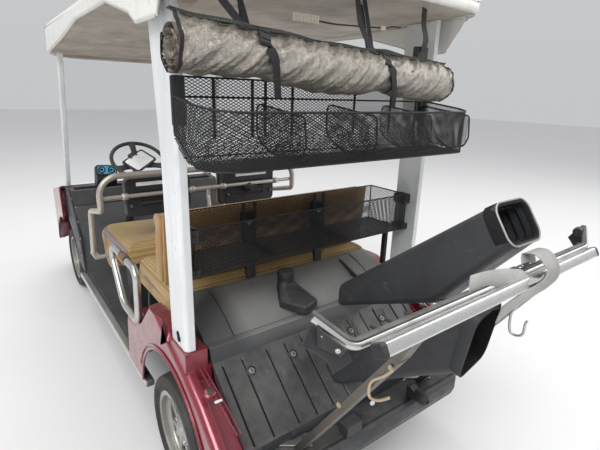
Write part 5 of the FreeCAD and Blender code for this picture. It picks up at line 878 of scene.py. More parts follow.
def round_off(obj, low, high, plan, top, lean=0.0):
    """Turns a pad's upright corners and its top edges into arcs."""
    def arc(a, b, radius):
        far = math.hypot(radius - a, radius - b)
        if a >= radius or b >= radius or far <= radius:
            return a, b
        return radius - (radius - a) * radius / far, radius - (radius - b) * radius / far

    for vert in obj.data.vertices:
        co = vert.co
        side, rear = co.x > 0, co.y > (low.y + high.y) / 2 + lean * (co.z - low.z)
        base = low.y + lean * (co.z - low.z)
        back = high.y - lean * (high.z - co.z)
        dx = high.x - co.x if side else co.x - low.x
        dy = back - co.y if rear else co.y - base
        dz = high.z - co.z
        if plan:
            dx, dy = arc(dx, dy, plan)
        if not (rear and lean):
            dy, dz = arc(dy, dz, top)
        if not lean:
            dx, dz = arc(dx, dz, top)
        co.x = high.x - dx if side else low.x + dx
        co.y = back - dy if rear else base + dy
        co.z = high.z - dz


def make_pad(node, name, finish, held, seams, swell, sizes, shrink=0.006,
             rounds=None):
    obj = copied_mesh(node, name, shrink)
    blow_up(obj, sizes, held, swell)
    low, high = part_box(node)
    if rounds:
        round_off(obj, low, high, *rounds)
    margin = Vector((0.006, 0.006, 0.004))
    low_limit = low - Vector((0.006, 0.006, 0.0))
    sew(obj, seams, sizes, (low_limit, high + margin))
    obj.data.materials.clear()
    obj.data.materials.append(FINISH[finish])
    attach(obj, "cart")
    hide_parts(node)
    return obj


def make_rear_cushion(sizes):
    low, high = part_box("rear_seat_cushion")
    edge = 0.507

    def cross_seam(co):
        return abs(abs(co.x) - edge) if co.z > low.z + 0.02 else None

    def welt(co):
        return abs(co.z - (high.z - 0.040)) if abs(co.x) < edge or co.y > low.y + 0.05 else None

    def rows(co):
        if co.z < high.z - 0.03 or abs(co.x) > edge:
            return None
        pitch = 0.078
        return 0.004 + abs((co.y - low.y) % pitch - pitch / 2) * 1.3

    make_pad("rear_seat_cushion", "Rear_seat_cushion", "rear_cloth",
             lambda co: co.z < low.z + 0.010, (cross_seam, welt, rows), sizes.pad_swell, sizes,
             rounds=(0.045, 0.030))


def make_front_cushion(sizes):
    low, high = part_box("front_seat_cushion")
    edge = 0.474

    def cross_seam(co):
        return abs(abs(co.x) - edge) if co.z > low.z + 0.02 else None

    def welt(co):
        return abs(co.z - (high.z - 0.042)) if co.y > low.y + 0.10 else None

    def rows(co):
        if co.z < high.z - 0.03 or abs(co.x) > edge:
            return None
        pitch = 0.088
        return 0.004 + abs((co.y - low.y) % pitch - pitch / 2) * 1.3

    make_pad("front_seat_cushion", "Front_seat_cushion", "front_cloth",
             lambda co: co.z < low.z + 0.135 and co.y > low.y + 0.20,
             (cross_seam, welt, rows), sizes.pad_swell, sizes, rounds=(0.070, 0.045))


def make_rear_back(sizes):
    low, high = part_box("rear_backrest_pad")
    middle = (low.y + high.y) / 2

    def side_seam(co):
        return abs(co.x) - 0.507 if abs(co.x) > 0.507 and co.y < middle - 0.01 else None

    def rows(co):
        if co.y > middle - 0.02 or abs(co.x) > 0.50:
            return None
        return 0.003 + abs((co.z - low.z) % 0.072 - 0.036) * 1.3

    make_pad("rear_backrest_pad", "Rear_backrest_pad", "back_cloth",
             lambda co: co.y > low.y + 0.097 + (co.z - low.z) * 0.083, (side_seam, rows),
             sizes.pad_swell * 0.8, sizes, rounds=(0.0, 0.055, 0.083))


def make_front_backs(sizes):
    _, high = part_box("front_backrest_pads")

    def seam(co):
        return abs(co.y - (high.y - 0.030))

    make_pad("front_backrest_pads", "Front_backrest_pads", "front_back_cloth",
             lambda co: co.y > high.y - 0.010, (seam,), sizes.pad_swell * 0.7, sizes, 0.004)


def make_seat_finishes(c):
    colours = (tuple(c.seat_tan), tuple(c.seat_mauve), tuple(c.seat_brown))
    plain_beige = (tuple(c.seat_tan), tuple(c.seat_mauve), shade(c.seat_tan, 0.85))
    rear_low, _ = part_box("rear_seat_cushion")
    back_low, back_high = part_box("rear_backrest_pad")
    _, pads_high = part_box("front_backrest_pads")
    front_low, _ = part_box("front_seat_cushion")
    FINISH["rear_cloth"] = seat_cloth("Rear seat cloth", plain_beige, "flat", 0.508,
                                      ("Z", rear_low.z + 0.045, -1))
    FINISH["front_cloth"] = seat_cloth("Front seat cloth", colours, "flat", 0.475,
                                       ("Z", front_low.z + 0.165, -1))
    FINISH["back_cloth"] = seat_cloth("Backrest cloth", colours, "upright", 0.508,
                                      ("Y", (back_low.y + back_high.y) / 2 - 0.014, 1))
    dark = (tuple(c.seat_tan), tuple(c.seat_mauve), tuple(c.black_plastic))
    FINISH["front_back_cloth"] = seat_cloth("Front backrest cloth", dark, "upright", 0.7,
                                            ("Y", pads_high.y - 0.030, 1))


def make_backrest_fittings():
    """Ribs, knobs and blank strips on the backs of the front backrests."""
    low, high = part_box("front_backrest_shells")
    rear = high.y
    shape = Shape()
    for sign in (1, -1):
        x_in, x_out = 0.150 * sign, 0.400 * sign
        left, right = min(x_in, x_out), max(x_in, x_out)
        z0, z1 = low.z + 0.052, high.z - 0.072
        for k in range(3):
            z = z0 + (z1 - z0) * (k + 0.5) / 3
            inset = 0.018 + 0.012 * abs(k - 1)
            line = [Vector((left + inset, rear - 0.0055, z)), Vector((right - inset, rear - 0.0055, z))]
            shape.use(0).sweep(line, rounded_rect(0.006, 0.0075, 0.005, 3), Vector((0, 0, 1)))
        for x in (x_in - 0.020 * sign, x_out + 0.022 * sign):
            spot = Vector((x, rear - 0.001, low.z + 0.060))
            shape.use(0).lathe([(0.011, 0), (0.011, 0.006), (0.008, 0.009)], spot, (0, 1, 0), 20)
            shape.use(1).lathe([(0.005, 0.009), (0.004, 0.0105)], spot, (0, 1, 0), 12)
        strip = Vector(((left + right) / 2 + 0.012 * sign, rear, high.z - 0.030))
        shape.use(2).block(strip - Vector((0.105, 0.001, 0.0095)),
                           strip + Vector((0.105, 0.0008, 0.0095)))
        outline = [Vector((x, rear - 0.0025, z)) for x, z in
                   rounded_corners(left - 0.022, right + 0.022, z0 - 0.014, z1 + 0.012, 0.02)]
        shape.use(0).tube(outline, 0.0032, 8, closed=True)
    obj = shape.piece("Backrest_fittings", [FINISH["black_plastic"], FINISH["screw"], FINISH["card"]])
    knob = Shape()
    spot = Vector((-0.262, rear + 0.001, (low.z + high.z) / 2 - 0.004))
    knob.lathe([(0.034, 0), (0.034, 0.010), (0.026, 0.014), (0.026, 0.020), (0.018, 0.030),
                (0.016, 0.044), (0.012, 0.046)], spot, (0, 1, 0), 28)
    knob.use(1).lathe([(0.011, 0.0455), (0.010, 0.0485), (0.004, 0.050)], spot, (0, 1, 0), 20)
    obj = knob.piece("Backrest_socket", [FINISH["black_plastic"], FINISH["tyre"]])
    clamps = Shape()
    bar_z = 0.967
    for x in (0.452, 0.095, -0.095, -0.452):
        spot = Vector((x, rear + 0.0113, bar_z))
        clamps.lathe([(0.016, -0.014), (0.0175, -0.012), (0.0175, 0.012), (0.016, 0.014)], spot,
                     (1, 0, 0), 20)
    obj = clamps.piece("Backrest_clamps", [FINISH["frame_beige"]])


def rounded_corners(x0, x1, z0, z1, radius, steps=5):
    """Corners of an upright rectangle with round corners, as (x, z)."""
    half_x, half_z = (x1 - x0) / 2, (z1 - z0) / 2
    return [((x0 + x1) / 2 + u, (z0 + z1) / 2 + v)
            for u, v in rounded_rect(half_x, half_z, radius, steps)]


# Baskets

UPPER_MESH = ((0.1603, 1.530), (0.1603, 1.378), (0.166, 1.358), (0.182, 1.341), (0.218, 1.317),
              (0.236, 1.308), (0.262, 1.303), (0.300, 1.3005), (0.402, 1.3005))
UPPER_RIM = ((0.1603, 1.478), (0.402, 1.446))
UPPER_CORNER = 0.10
LOWER_MESH = ((-0.1025, 1.0745), (-0.1025, 0.9115), (0.1185, 0.9115), (0.1185, 1.0745))


def along(profile, distance):
    """The (y, z) point at a distance along a profile."""
    for (y0, z0), (y1, z1) in zip(profile, profile[1:]):
        run = math.hypot(y1 - y0, z1 - z0)
        if distance <= run:
            share = distance / run
            return y0 + (y1 - y0) * share, z0 + (z1 - z0) * share
        distance -= run
    return profile[-1]


def inside(outline, y, z):
    """Whether a point lies in a closed (y, z) outline."""
    hit = False
    for (y0, z0), (y1, z1) in zip(outline, outline[1:] + outline[:1]):
        if (z0 > z) != (z1 > z) and y < (y1 - y0) * (z - z0) / (z1 - z0) + y0:
            hit = not hit
    return hit


def zigzags(shape, place, wide, high, sizes, keep=None):
    """Expanded metal: crossing zigzag strands laid through place(u, v)."""
    step_u, step_v = sizes.mesh_width / 2, sizes.mesh_height / 2
    columns, rows = round(wide / step_u), round(high / step_v)
    for row in range(rows):
        run = []
        for column in range(columns + 1):
            level = row + (column + row) % 2
            u, v = column * step_u, min(level * step_v, high)
            if keep is None or keep(u, v):
                run.append(place(u, v))
                continue
            if len(run) > 1:
                shape.tube(run, sizes.mesh_strand / 2, 3, caps=False)
            run = []
        if len(run) > 1:
            shape.tube(run, sizes.mesh_strand / 2, 3, caps=False)


def mesh_walls(shape, profile, x0, x1, sizes):
    reach = sum(math.dist(a, b) for a, b in zip(profile, profile[1:]))

    def place(u, v):
        y, z = along(profile, v)
        return at(x0 + u, y, z)

    zigzags(shape, place, x1 - x0, reach, sizes)


def mesh_end(shape, outline, x, sizes):
    low_y, low_z = min(y for y, _ in outline), min(z for _, z in outline)
    high_y, high_z = max(y for y, _ in outline), max(z for _, z in outline)
    zigzags(shape, lambda u, v: at(x, low_y + u, low_z + v), high_y - low_y, high_z - low_z,
            sizes, lambda u, v: inside(outline, low_y + u, low_z + v))


def rod_along_x(shape, y, z, x0, x1, radius):
    shape.tube([at(x0, y, z), at(x1, y, z)], radius, 8)


def upper_plan(x0, x1, steps=10):
    """The (x, y) route of the upper basket's rim, round its left end, rear and right end."""
    front, rear, r = UPPER_RIM[0][0], UPPER_RIM[1][0], UPPER_CORNER
    route = [(x1, front)]
    for cx, first in ((x1 - r, 0), (x0 + r, 90)):
        for k in range(steps + 1):
            a = math.radians(first + 90 * k / steps)
            route.append((cx + r * math.cos(a), rear - r + r * math.sin(a)))
    route.append((x0, front))
    return route


def rim_height(y):
    (y0, z0), (y1, z1) = UPPER_RIM
    return z0 + (z1 - z0) * (y - y0) / (y1 - y0)


def foot_height(y):
    """Height of the basket's underside at y."""
    for (y0, z0), (y1, z1) in zip(UPPER_MESH[1:], UPPER_MESH[2:]):
        if y <= y1:
            return z0 + (z1 - z0) * (y - y0) / (y1 - y0)
    return UPPER_MESH[-1][1]


def make_upper_basket(sizes):
    """Mesh basket behind the roof pillars with dividers."""
    low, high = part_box("upper_basket")
    x0, x1 = low.x + 0.003, high.x - 0.003
    plan = upper_plan(x0, x1)
    outline = plan + [plan[0]]
    shape = Shape()
    reach = sum(math.dist(a, b) for a, b in zip(UPPER_MESH, UPPER_MESH[1:]))
    zigzags(shape, lambda u, v: at(x0 + u, *along(UPPER_MESH, v)), x1 - x0, reach, sizes,
            lambda u, v: along(UPPER_MESH, v)[0] < 0.165
            or inside(outline, x0 + u, along(UPPER_MESH, v)[0]))
    girth = sum(math.dist(a, b) for a, b in zip(plan, plan[1:]))
    zigzags(shape, lambda u, v: at(*along(plan, u), 1.3005 + v), girth, 0.178, sizes,
            lambda u, v: foot_height(along(plan, u)[1]) <= 1.3005 + v
            <= rim_height(along(plan, u)[1]))
    obj = shape.piece("Upper_basket_mesh", [FINISH["mesh_black"]])
    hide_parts("upper_basket")

    bars = Shape()
    bars.tube([at(x, y, rim_height(y)) for x, y in plan], 0.0032, 10)
    bars.tube([at(x, y, foot_height(y)) for x, y in plan], 0.0024, 8)
    rod_along_x(bars, 0.1603, 1.4765, x0, x1, 0.0030)
    rod_along_x(bars, 0.1603, 1.5290, x0, x1, 0.0028)
    rod_along_x(bars, 0.2180, 1.3180, x0, x1, 0.0024)
    for x in (0.447, 0.319, 0.272, 0.169, -0.107, -0.300, -0.452):
        bars.block(at(x - 0.0045, 0.1613, 1.358), at(x + 0.0045, 0.1643, 1.529))
    for x in (x0, x1):
        bars.tube([at(x, 0.1603, 1.378), at(x, 0.1603, 1.529)], 0.0030, 8)
    for x in (0.305, 0.023, -0.250, -0.480):
        divider = [(0.166, 1.462), (0.166, 1.372), (0.186, 1.344), (0.231, 1.320), (0.318, 1.306),
                   (0.372, 1.318), (0.386, 1.352), (0.378, 1.432)]
        line = [at(x - (y - 0.166) * 0.12, y, z) for y, z in divider]
        ring = rounded(line + line[:2], (0.02, 0.015, 0.02, 0.03, 0.02, 0.02, 0.015, 0.02), 4)[1:-1]
        bars.tube(ring, 0.0030, 8, closed=True)
        zigzags(bars, lambda u, v: at(x - u * 0.12, 0.166 + u, 1.306 + v), 0.22, 0.156,
                sizes, lambda u, v: inside(divider, 0.166 + u, 1.306 + v))
    for x in (0.551, -0.495):
        bars.use(1).block(at(x - 0.018, 0.150, 1.400), at(x + 0.018, 0.1655, 1.530))
        bars.bolt(at(x, 0.1655, 1.430), (0, 1, 0), 0.006, 0.007)
        bars.use(0)
    obj = bars.piece("Upper_basket_frame", [FINISH["mesh_black"], FINISH["steel_black"]])


def make_lower_basket(sizes):
    """Mesh basket behind the rear backrest with its posts."""
    low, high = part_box("lower_basket")
    x0, x1 = low.x + 0.003, high.x - 0.003
    shape = Shape()
    mesh_walls(shape, LOWER_MESH, x0, x1, sizes)
    for x in (x0, x1):
        mesh_end(shape, list(LOWER_MESH), x, sizes)
    obj = shape.piece("Lower_basket_mesh", [FINISH["mesh_black"]])
    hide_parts("lower_basket")

    bars = Shape()
    front, rear, top, foot = -0.1025, 0.1185, 1.0735, 0.9125
    corners = [at(x0 + 0.05, front, top), at(x0, front, top), at(x0, rear, top), at(x1, rear, top),
               at(x1, front, top), at(x1 - 0.05, front, top)]
    bars.tube(rounded(corners, (0.012,) * 4, 5), 0.0030, 10)
    for y in (front, rear):
        rod_along_x(bars, y, top if y == front else foot, x0, x1, 0.0026)
        rod_along_x(bars, y, foot, x0, x1, 0.0022)
        for x in (x0, x1):
            bars.tube([at(x, y, foot), at(x, y, top)], 0.0024, 8)
    for x in (x0, x1):
        bars.tube([at(x, front, foot), at(x, rear, foot)], 0.0022, 8)
    for x in (0.206, 0.154, -0.154, -0.206):
        bars.block(at(x - 0.006, front + 0.001, foot), at(x + 0.006, front + 0.005, top))
    bars.use(1)
    for x in (0.180, -0.180):
        bars.bolt(at(x, front + 0.002, 0.992), (0, 1, 0), 0.0065, 0.006)
    bars.use(2)
    for side in (1, -1):
        x_in, x_out = 0.492 * side, 0.533 * side
        left, right = min(x_in, x_out), max(x_in, x_out)
        for z0, z1 in ((1.030, 1.072), (0.908, 0.934)):
            bars.block(at(left, 0.060, z0), at(right, 0.122, z1))
            bars.bolt(at(0.506 * side, 0.122, (z0 + z1) / 2), (0, 1, 0), 0.0055, 0.005)
        bars.block(at(left + 0.004, -0.004, 0.700), at(left + 0.024, 0.016, 0.912))
    obj = bars.piece("Lower_basket_frame", [FINISH["mesh_black"], FINISH["steel"],
                                            FINISH["steel_black"]])


# Roof fittings and the rolled curtain

STRAPS = (0.330, -0.150, -0.405)
CURTAIN = []


def curtain_point(x, turn, sizes):
    """A point of the rolled sheet: turn counts from the hem on top."""
    if not CURTAIN:
        CURTAIN.extend(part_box("rain_curtain"))
    low, high = CURTAIN
    share = (high.x - x) / (high.x - low.x)
    belly = math.sin(math.pi * min(1.0, max(0.0, (0.330 - x) / 0.480)))
    belly += 0.75 * math.sin(math.pi * min(1.0, max(0.0, (-0.150 - x) / 0.450)))
    centre = Vector((x, (low.y + high.y) / 2 + 0.004,
                     1.598 - 0.052 * share - sizes.curtain_sag * belly))
    r = 0.066 + 0.010 * belly - sizes.curtain_pitch * max(0.0, turn - 0.12)
    angle = math.radians(118) - math.tau * turn
    pinch = sum(math.exp(-((x - s + 0.02 * math.sin(angle)) / 0.034) ** 2) for s in STRAPS[:2])
    hold = 1.0 - 0.75 * min(1.0, pinch)
    fold = 0.0
    lean = x * 1.0 + 0.055 * angle
    for k, (length, size) in enumerate(((0.150, 0.0050), (0.083, 0.0030), (0.047, 0.0016))):
        warp = 0.35 * math.sin(x * 17.0 + k) + 0.25 * math.sin(angle * 2.0 + k * 2.1)
        ridge = math.sin(math.tau * lean / length + warp * 2.2 + 1.9 * k)
        fold += size * (1.0 - 2.0 * abs(ridge) ** 0.7)
    fold += 0.0045 * noise.noise(Vector((x * 9.0, angle * 0.9, 3.0)))
    crease = pinch * 0.0030 * math.sin(7 * angle + x * 40)
    flare = 0.016 * max(0.0, (x - high.x + 0.13) / 0.13) ** 1.5 * max(0.0, 1.0 - turn)
    r = r * (1.0 - 0.15 * pinch) + fold * hold * max(0.2, 1.0 - turn * 0.8) + crease + flare
    flap = max(0.0, 1.0 - turn / 0.14)
    point = centre + Vector((0, r * math.cos(angle), r * math.sin(angle) * 1.02))
    hem = Vector((x, centre.y + 0.012, centre.z + 0.0745 + flare * 0.4
                  + 0.002 * math.sin(x * 31.0)))
    return point.lerp(hem, flap ** 1.6)


def make_curtain(sizes):
    """The rain curtain, one sheet rolled under the roof."""
    low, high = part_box("rain_curtain")
    low.x = -0.488
    across, round_one = 220, 84
    n = round(sizes.curtain_turns * round_one) + 1
    grid = []
    for i in range(across + 1):
        x = low.x + (high.x - low.x) * i / across
        bend = 0.012 * math.sin(i * 0.9) if i in (0, across) else 0.0
        grid.append([curtain_point(x, k / round_one, sizes) + Vector((bend, 0, 0))
                     for k in range(n)])
    shape = Shape()
    shape.points = [p for ring in grid for p in ring]
    net = 7
    for finish, first, last in ((1, 0, net), (0, net, n - 1)):
        shape.faces += [[i * n + k, (i + 1) * n + k, (i + 1) * n + k + 1, i * n + k + 1]
                        for i in range(across) for k in range(first, last)]
        shape.marks += [finish] * (across * (last - first))
    obj = shape.piece("Rain_curtain", [FINISH["curtain"], FINISH["curtain_net"]], smooth=180)
    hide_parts("rain_curtain")

    hems = Shape()
    for x, width, turns in ((high.x - 0.004, 0.010, 0.92), (high.x - 0.050, 0.008, 1.9),
                            (low.x + 0.010, 0.008, 0.92)):
        ring = [curtain_point(x, turns - 0.9 + 0.9 * k / 60, sizes) for k in range(61)]
        middle = sum(ring, Vector()) / len(ring)
        hems.band([middle + (p - middle) * 1.014 for p in ring], (1, 0, 0), width, 0.0022)
    hems.use(1)
    for turn, width in ((0.002, 0.009), (0.085, 0.006)):
        line = [curtain_point(low.x + (high.x - low.x) * i / 120, turn, sizes)
                + Vector((0, 0.0014, 0.0016)) for i in range(121)]
        hems.band(line, (0, 0.5, 0.85), width, 0.0016)
    obj = hems.piece("Curtain_hems", [FINISH["strap_black"], FINISH["curtain_net"]])
    wound = sum(math.dist(a, b) for a, b in zip(grid[across // 2], grid[across // 2][1:]))


def make_straps(sizes):
    """Webbing straps that carry the curtain under the liner, with buckles."""
    low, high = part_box("curtain_straps")
    webbing, buckles = Shape(), Shape()
    for x, lean in zip(STRAPS[:2], (0.030, 0.030)):
        ring = []
        for k in range(49):
            turn = 0.10 + 0.90 * k / 48
            p = curtain_point(x, turn if turn < 0.999 else 0.999, sizes)
            middle = curtain_point(x, 0.25, sizes).lerp(curtain_point(x, 0.75, sizes), 0.5)
            out = (p - middle).normalized() * 0.0045
            ring.append(p + out + Vector((lean * math.sin(math.radians(118) - math.tau * turn), 0, 0)))
        webbing.band(ring, (1, 0, -0.15), 0.024, 0.0022)
        start = ring[0]
        top = Vector((x + 0.135, start.y + 0.01, high.z - 0.085))
        webbing.band([top + Vector((0.02, 0.0, 0.075)), top, start + Vector((0.045, 0, 0.018)), start],
                     (1, 0.1, 0.3), 0.022, 0.0020)
        webbing.band([Vector((x + 0.085, start.y - 0.03, high.z - 0.004)),
                      start + Vector((0.012, -0.020, 0.010)), ring[1]], (1, 0.1, 0.1), 0.020, 0.0018)
        webbing.band([Vector((x + 0.030, start.y - 0.10, high.z - 0.004)),
                      start + Vector((0.020, -0.030, 0.0))], (1, 0.2, 0.1), 0.018, 0.0018)
        pivot = ring[5] + Vector((0, 0.002, 0.001))
        turn = Matrix.Rotation(math.radians(-12), 3, "Y") @ Matrix.Rotation(math.radians(30), 3, "X")
        buckles.block(pivot - Vector((0.017, 0.003, 0.024)), pivot + Vector((0.017, 0.0045, 0.024)),
                      turn, pivot)
        for dz in (-0.018, -0.006, 0.016):
            bar = pivot + Vector((0, 0.0045, dz))
            buckles.block(bar - Vector((0.0155, 0.001, 0.0024)), bar + Vector((0.0155, 0.0030, 0.0024)),
                          turn, pivot)
        tail = [ring[9] + Vector((0.006, 0.006, 0)), ring[14] + Vector((0.006, 0.008, 0)),
                ring[18] + Vector((0.010, 0.012, -0.012)), ring[20] + Vector((0.006, 0.016, -0.060))]
        webbing.band(spline(tail, 6), (1, 0, 0.1), 0.022, 0.0018)
    x = STRAPS[2]
    webbing.band(spline([Vector((x + 0.062, low.y + 0.075, high.z - 0.002)),
                         Vector((x + 0.064, low.y + 0.080, high.z - 0.055)),
                         Vector((x + 0.050, low.y + 0.085, 1.690)),
                         Vector((x + 0.040, low.y + 0.060, 1.640))], 6), (1, 0.2, 0), 0.034, 0.0024)
    buckles.block(Vector((x + 0.010, low.y + 0.045, 1.628)), Vector((x + 0.066, low.y + 0.070, 1.672)))
    obj = webbing.piece("Curtain_straps", [FINISH["strap_black"]])
    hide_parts("curtain_straps")
    obj = buckles.piece("Curtain_buckles", [FINISH["black_plastic"]], bevel=0.0012)


def make_roof_fittings():
    """What is screwed to the liner above the curtain."""
    shape = Shape()
    box_low, box_high = at(0.150, 0.225, 1.690), at(0.245, 0.262, 1.713)
    shape.use(0).block(box_low, box_high)
    for k in range(9):
        x = 0.156 + 0.0098 * k
        shape.block(at(x, 0.262, 1.692), at(x + 0.004, 0.265, 1.711))
    shape.lathe([(0.032, 0.0), (0.034, 0.008), (0.030, 0.020), (0.022, 0.030)],
                at(0.520, 0.175, 1.742), (0, 0, -1), 28)
    shape.use(1)
    shape.tube(spline([at(0.150, 0.244, 1.703), at(0.09, 0.252, 1.699), at(0.0, 0.258, 1.702),
                       at(-0.105, 0.262, 1.707)], 8), 0.0028, 8)
    shape.use(0).block(at(-0.126, 0.256, 1.700), at(-0.104, 0.270, 1.714))
    shape.use(1)
    shape.tube(spline([at(-0.126, 0.262, 1.707), at(-0.165, 0.262, 1.716),
                       at(-0.205, 0.262, 1.718)], 8), 0.0032, 8)
    obj = shape.piece("Roof_fittings", [FINISH["liner_beige"], FINISH["black_plastic"]], bevel=0.0012)


# Club tubes and the bag rack


class Mouth:
    """The open end of a club tube."""

    def __init__(self, centre, line, half_wide, half_long, corner):
        self.centre = centre
        self.line = Vector(line).normalized()
        self.half_wide, self.half_long, self.corner = half_wide, half_long, corner
        self.out = Vector((1, 0, 0)).cross(self.line).normalized()
        if self.out.y < 0:
            self.out.negate()

    def ring(self, grow, push, steps=7, skew=0.0):
        """A ring round the mouth, pushed out more on its left by the skew."""
        corner = self.corner + grow
        section = rounded_rect(self.half_wide + grow, self.half_long + grow, corner, steps)
        return [self.centre + Vector((u, 0, 0)) + self.line * v
                + self.out * (push + skew * (1 + u / self.half_wide) / 2) for u, v in section]


UPPER_MOUTH = Mouth(at(-0.189, 0.7785, 1.165), (0, -0.567, 0.824), 0.088, 0.0644, 0.036)
LOWER_MOUTH = Mouth(at(-0.006, 0.813, 0.871), (0, 0.1356, 0.9908), 0.084, 0.0959, 0.034)


def make_tube_collars():
    """Collars, lips and inner ribs of the two club tubes."""
    shape = Shape()
    mouth = UPPER_MOUTH
    band = [mouth.ring(0.0005, -0.040), mouth.ring(0.0035, -0.039), mouth.ring(0.0035, -0.003),
            mouth.ring(0.0, 0.0), mouth.ring(-0.0085, 0.0), mouth.ring(-0.0105, -0.010)]
    shape.use(0).loft(band, caps=False)
    shape.use(1).sweep(mouth.ring(0.0012, 0.0020, 9), rounded_rect(0.0024, 0.0024, 0.0018, 3),
                       None, closed=True)
    for push in (-0.030, -0.058, -0.090):
        shape.use(0).sweep(mouth.ring(-0.0115, push, 9), rounded_rect(0.003, 0.004, 0.002, 2), None,
                           closed=True)
    mouth = LOWER_MOUTH
    skew = 0.024
    shape.use(3).loft([mouth.ring(0.0005, -0.012), mouth.ring(0.0020, -0.010),
                       mouth.ring(0.0020, -0.001, 7, skew), mouth.ring(0.0005, 0.0, 7, skew)],
                      caps=False)
    # Painted shade: the inside of the lower mouth is lined with the near-black opening finish
    shape.use(2).loft([mouth.ring(0.0005, 0.0, 7, skew), mouth.ring(-0.006, 0.0, 7, skew),
                       mouth.ring(-0.010, -0.060)], caps=False)
    obj = shape.piece("Tube_collars", [FINISH["collar"], FINISH["belt_grey"], FINISH["hole"],
                                       FINISH["tube_plastic"]], smooth=50)

    ribs = Shape()
    for z, y0, y1 in ((0.907, 0.628, 0.712), (0.853, 0.560, 0.700), (0.800, 0.500, 0.690)):
        for x in (LOWER_MOUTH.half_wide - 0.006, -LOWER_MOUTH.half_wide - 0.006):
            line = [at(x, y0, z - 0.02), at(x, y1, z)]
            ribs.sweep(line, rounded_rect(0.004, 0.0055, 0.0035, 3), Vector((0, 0, 1)))
    obj = ribs.piece("Tube_ribs", [FINISH["tube_plastic"]], smooth=60)


def make_rail_details(sizes):
    """The rail and its groove, the guard bar with its rubber strip, the end caps and the flap of the bag
    rack.
    """
    low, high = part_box("rack_rail")
    guard_low, guard_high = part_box("guard_bar")
    middle = (low + high) / 2 + Vector((0, 0.001, 0.005))
    wide, tall = 0.0170, 0.0145
    lean = Matrix.Rotation(math.radians(30), 3, "X")
    slot_at = wide * 0.52
    rail = Shape()
    outline = rounded_rect(wide, tall, 0.005, 4)
    cut = [(-slot_at + 0.0018, tall), (-slot_at + 0.0014, tall - 0.004),
           (-slot_at - 0.0014, tall - 0.004), (-slot_at - 0.0018, tall)]
    split = next(k for k, (u, v) in enumerate(outline) if u < 0 and abs(v - tall) < 1e-6)
    outline = outline[:split] + cut + outline[split:]
    rings = [[middle + lean @ Vector((x, u, v)) for u, v in outline] for x in (low.x, high.x)]
    rail.loft(rings)
    obj = rail.piece("Rack_rail", [FINISH["aluminium"]], smooth=50)
    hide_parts("rack_rail")

    bar_y, bar_z, bend = guard_high.y - 0.009, guard_low.z + 0.009, 0.512
    end = Vector((0.560, bar_y - 0.062, bar_z + 0.048))
    path = rounded([end, Vector((bend, bar_y, bar_z)), Vector((-bend, bar_y, bar_z)),
                    at(-0.5800, 0.8160, 1.0890)], (0.03, 0.03), 8)
    bar = Shape()
    bar.tube(path, 0.009, 16)
    strip = [p + Vector((0, -0.0035, 0.0085)) for p in path]
    bar.use(1).sweep(strip, rounded_rect(0.0075, 0.0050, 0.0045, 4), Vector((0, 0, 1)))
    obj = bar.piece("Guard_bar", [FINISH["hoop_silver"], FINISH["deck_plastic"]], smooth=50)
    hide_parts("guard_bar")

    rubber = Shape()
    for side in (1, -1):
        inner, outer = (high.x - 0.0005) * side, (high.x + 0.0125) * side
        rings = []
        section = rounded_rect(wide + 0.001, tall + 0.001, 0.007, 4)
        for x, grow in ((inner, 1.0), (outer - 0.003 * side, 1.0), (outer, 0.9)):
            rings.append([middle + lean @ Vector((x, u * grow, v * grow)) for u, v in section])
        rubber.loft(rings)
        if side > 0:
            continue
        corners = [at(-0.5740, 0.7760, 1.0500), at(-0.5740, 0.8070, 1.0980),
                   at(-0.5740, 0.8380, 1.0500), at(-0.5740, 0.8120, 1.0100)]
        plate_mid = sum(corners, Vector()) / 4
        rings = []
        for x, grow in ((-0.0055, 0.93), (-0.004, 1.0), (0.004, 1.0), (0.0055, 0.93)):
            rings.append([plate_mid + (p - plate_mid) * grow + Vector((x * side, 0, 0))
                          for p in corners])
        rubber.loft(rings)
        turn = Matrix.Identity(3)
        rubber.use(1)
        for dz in (0.020, -0.016):
            spot = plate_mid + turn @ Vector((-0.0055 * side, 0.006, dz))
            rubber.bolt(spot, turn @ Vector((-side, 0, 0)), 0.0045, 0.005, hexagon=False)
        rubber.use(0)
        clamp = Vector((0.546 * side, bar_y - 0.040, bar_z + 0.034))
        rubber.lathe([(0.0125, -0.012), (0.0145, -0.010), (0.0145, 0.010), (0.0125, 0.012)], clamp,
                     (end - path[1]) if side > 0 else Vector((end.x, path[1].y - end.y,
                                                               path[1].z - end.z)), 20)
    obj = rubber.piece("Rack_rubbers", [FINISH["black_plastic"], FINISH["screw"]], bevel=0.0012)
    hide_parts("rack_rubbers")

    flap = Shape()
    ribbon(flap, [at(0.574, 0.790, 1.066), at(0.548, 0.803, 1.050), at(0.527, 0.820, 1.028),
                  at(0.514, 0.830, 0.996)],
           [(0.7, 0, -0.7), (0.7, 0, -0.7), (0.62, 0, -0.78), (0.5, 0, -0.86)], 0.046, 0.0045)
    flap.use(1).plate([at(0.5600, 0.8030, 1.0900), at(0.5560, 0.8150, 1.0820),
                       at(0.5310, 0.8550, 1.0570), at(0.5400, 0.8500, 1.0430),
                       at(0.5580, 0.8060, 1.0460)], Vector((0.0030, 0.0030, 0.0)))
    flap.use(2).bolt(at(0.5560, 0.8150, 1.0720), (0.7, 0.7, 0), 0.0036, 0.0035, hexagon=False)
    flap.bolt(at(0.5480, 0.8500, 1.0560), (0.7, 0.7, 0), 0.0034, 0.0030, hexagon=False)
    obj = flap.piece("Rack_flap", [FINISH["black_plastic"], FINISH["steel_black"], FINISH["steel"]],
                     smooth=50)


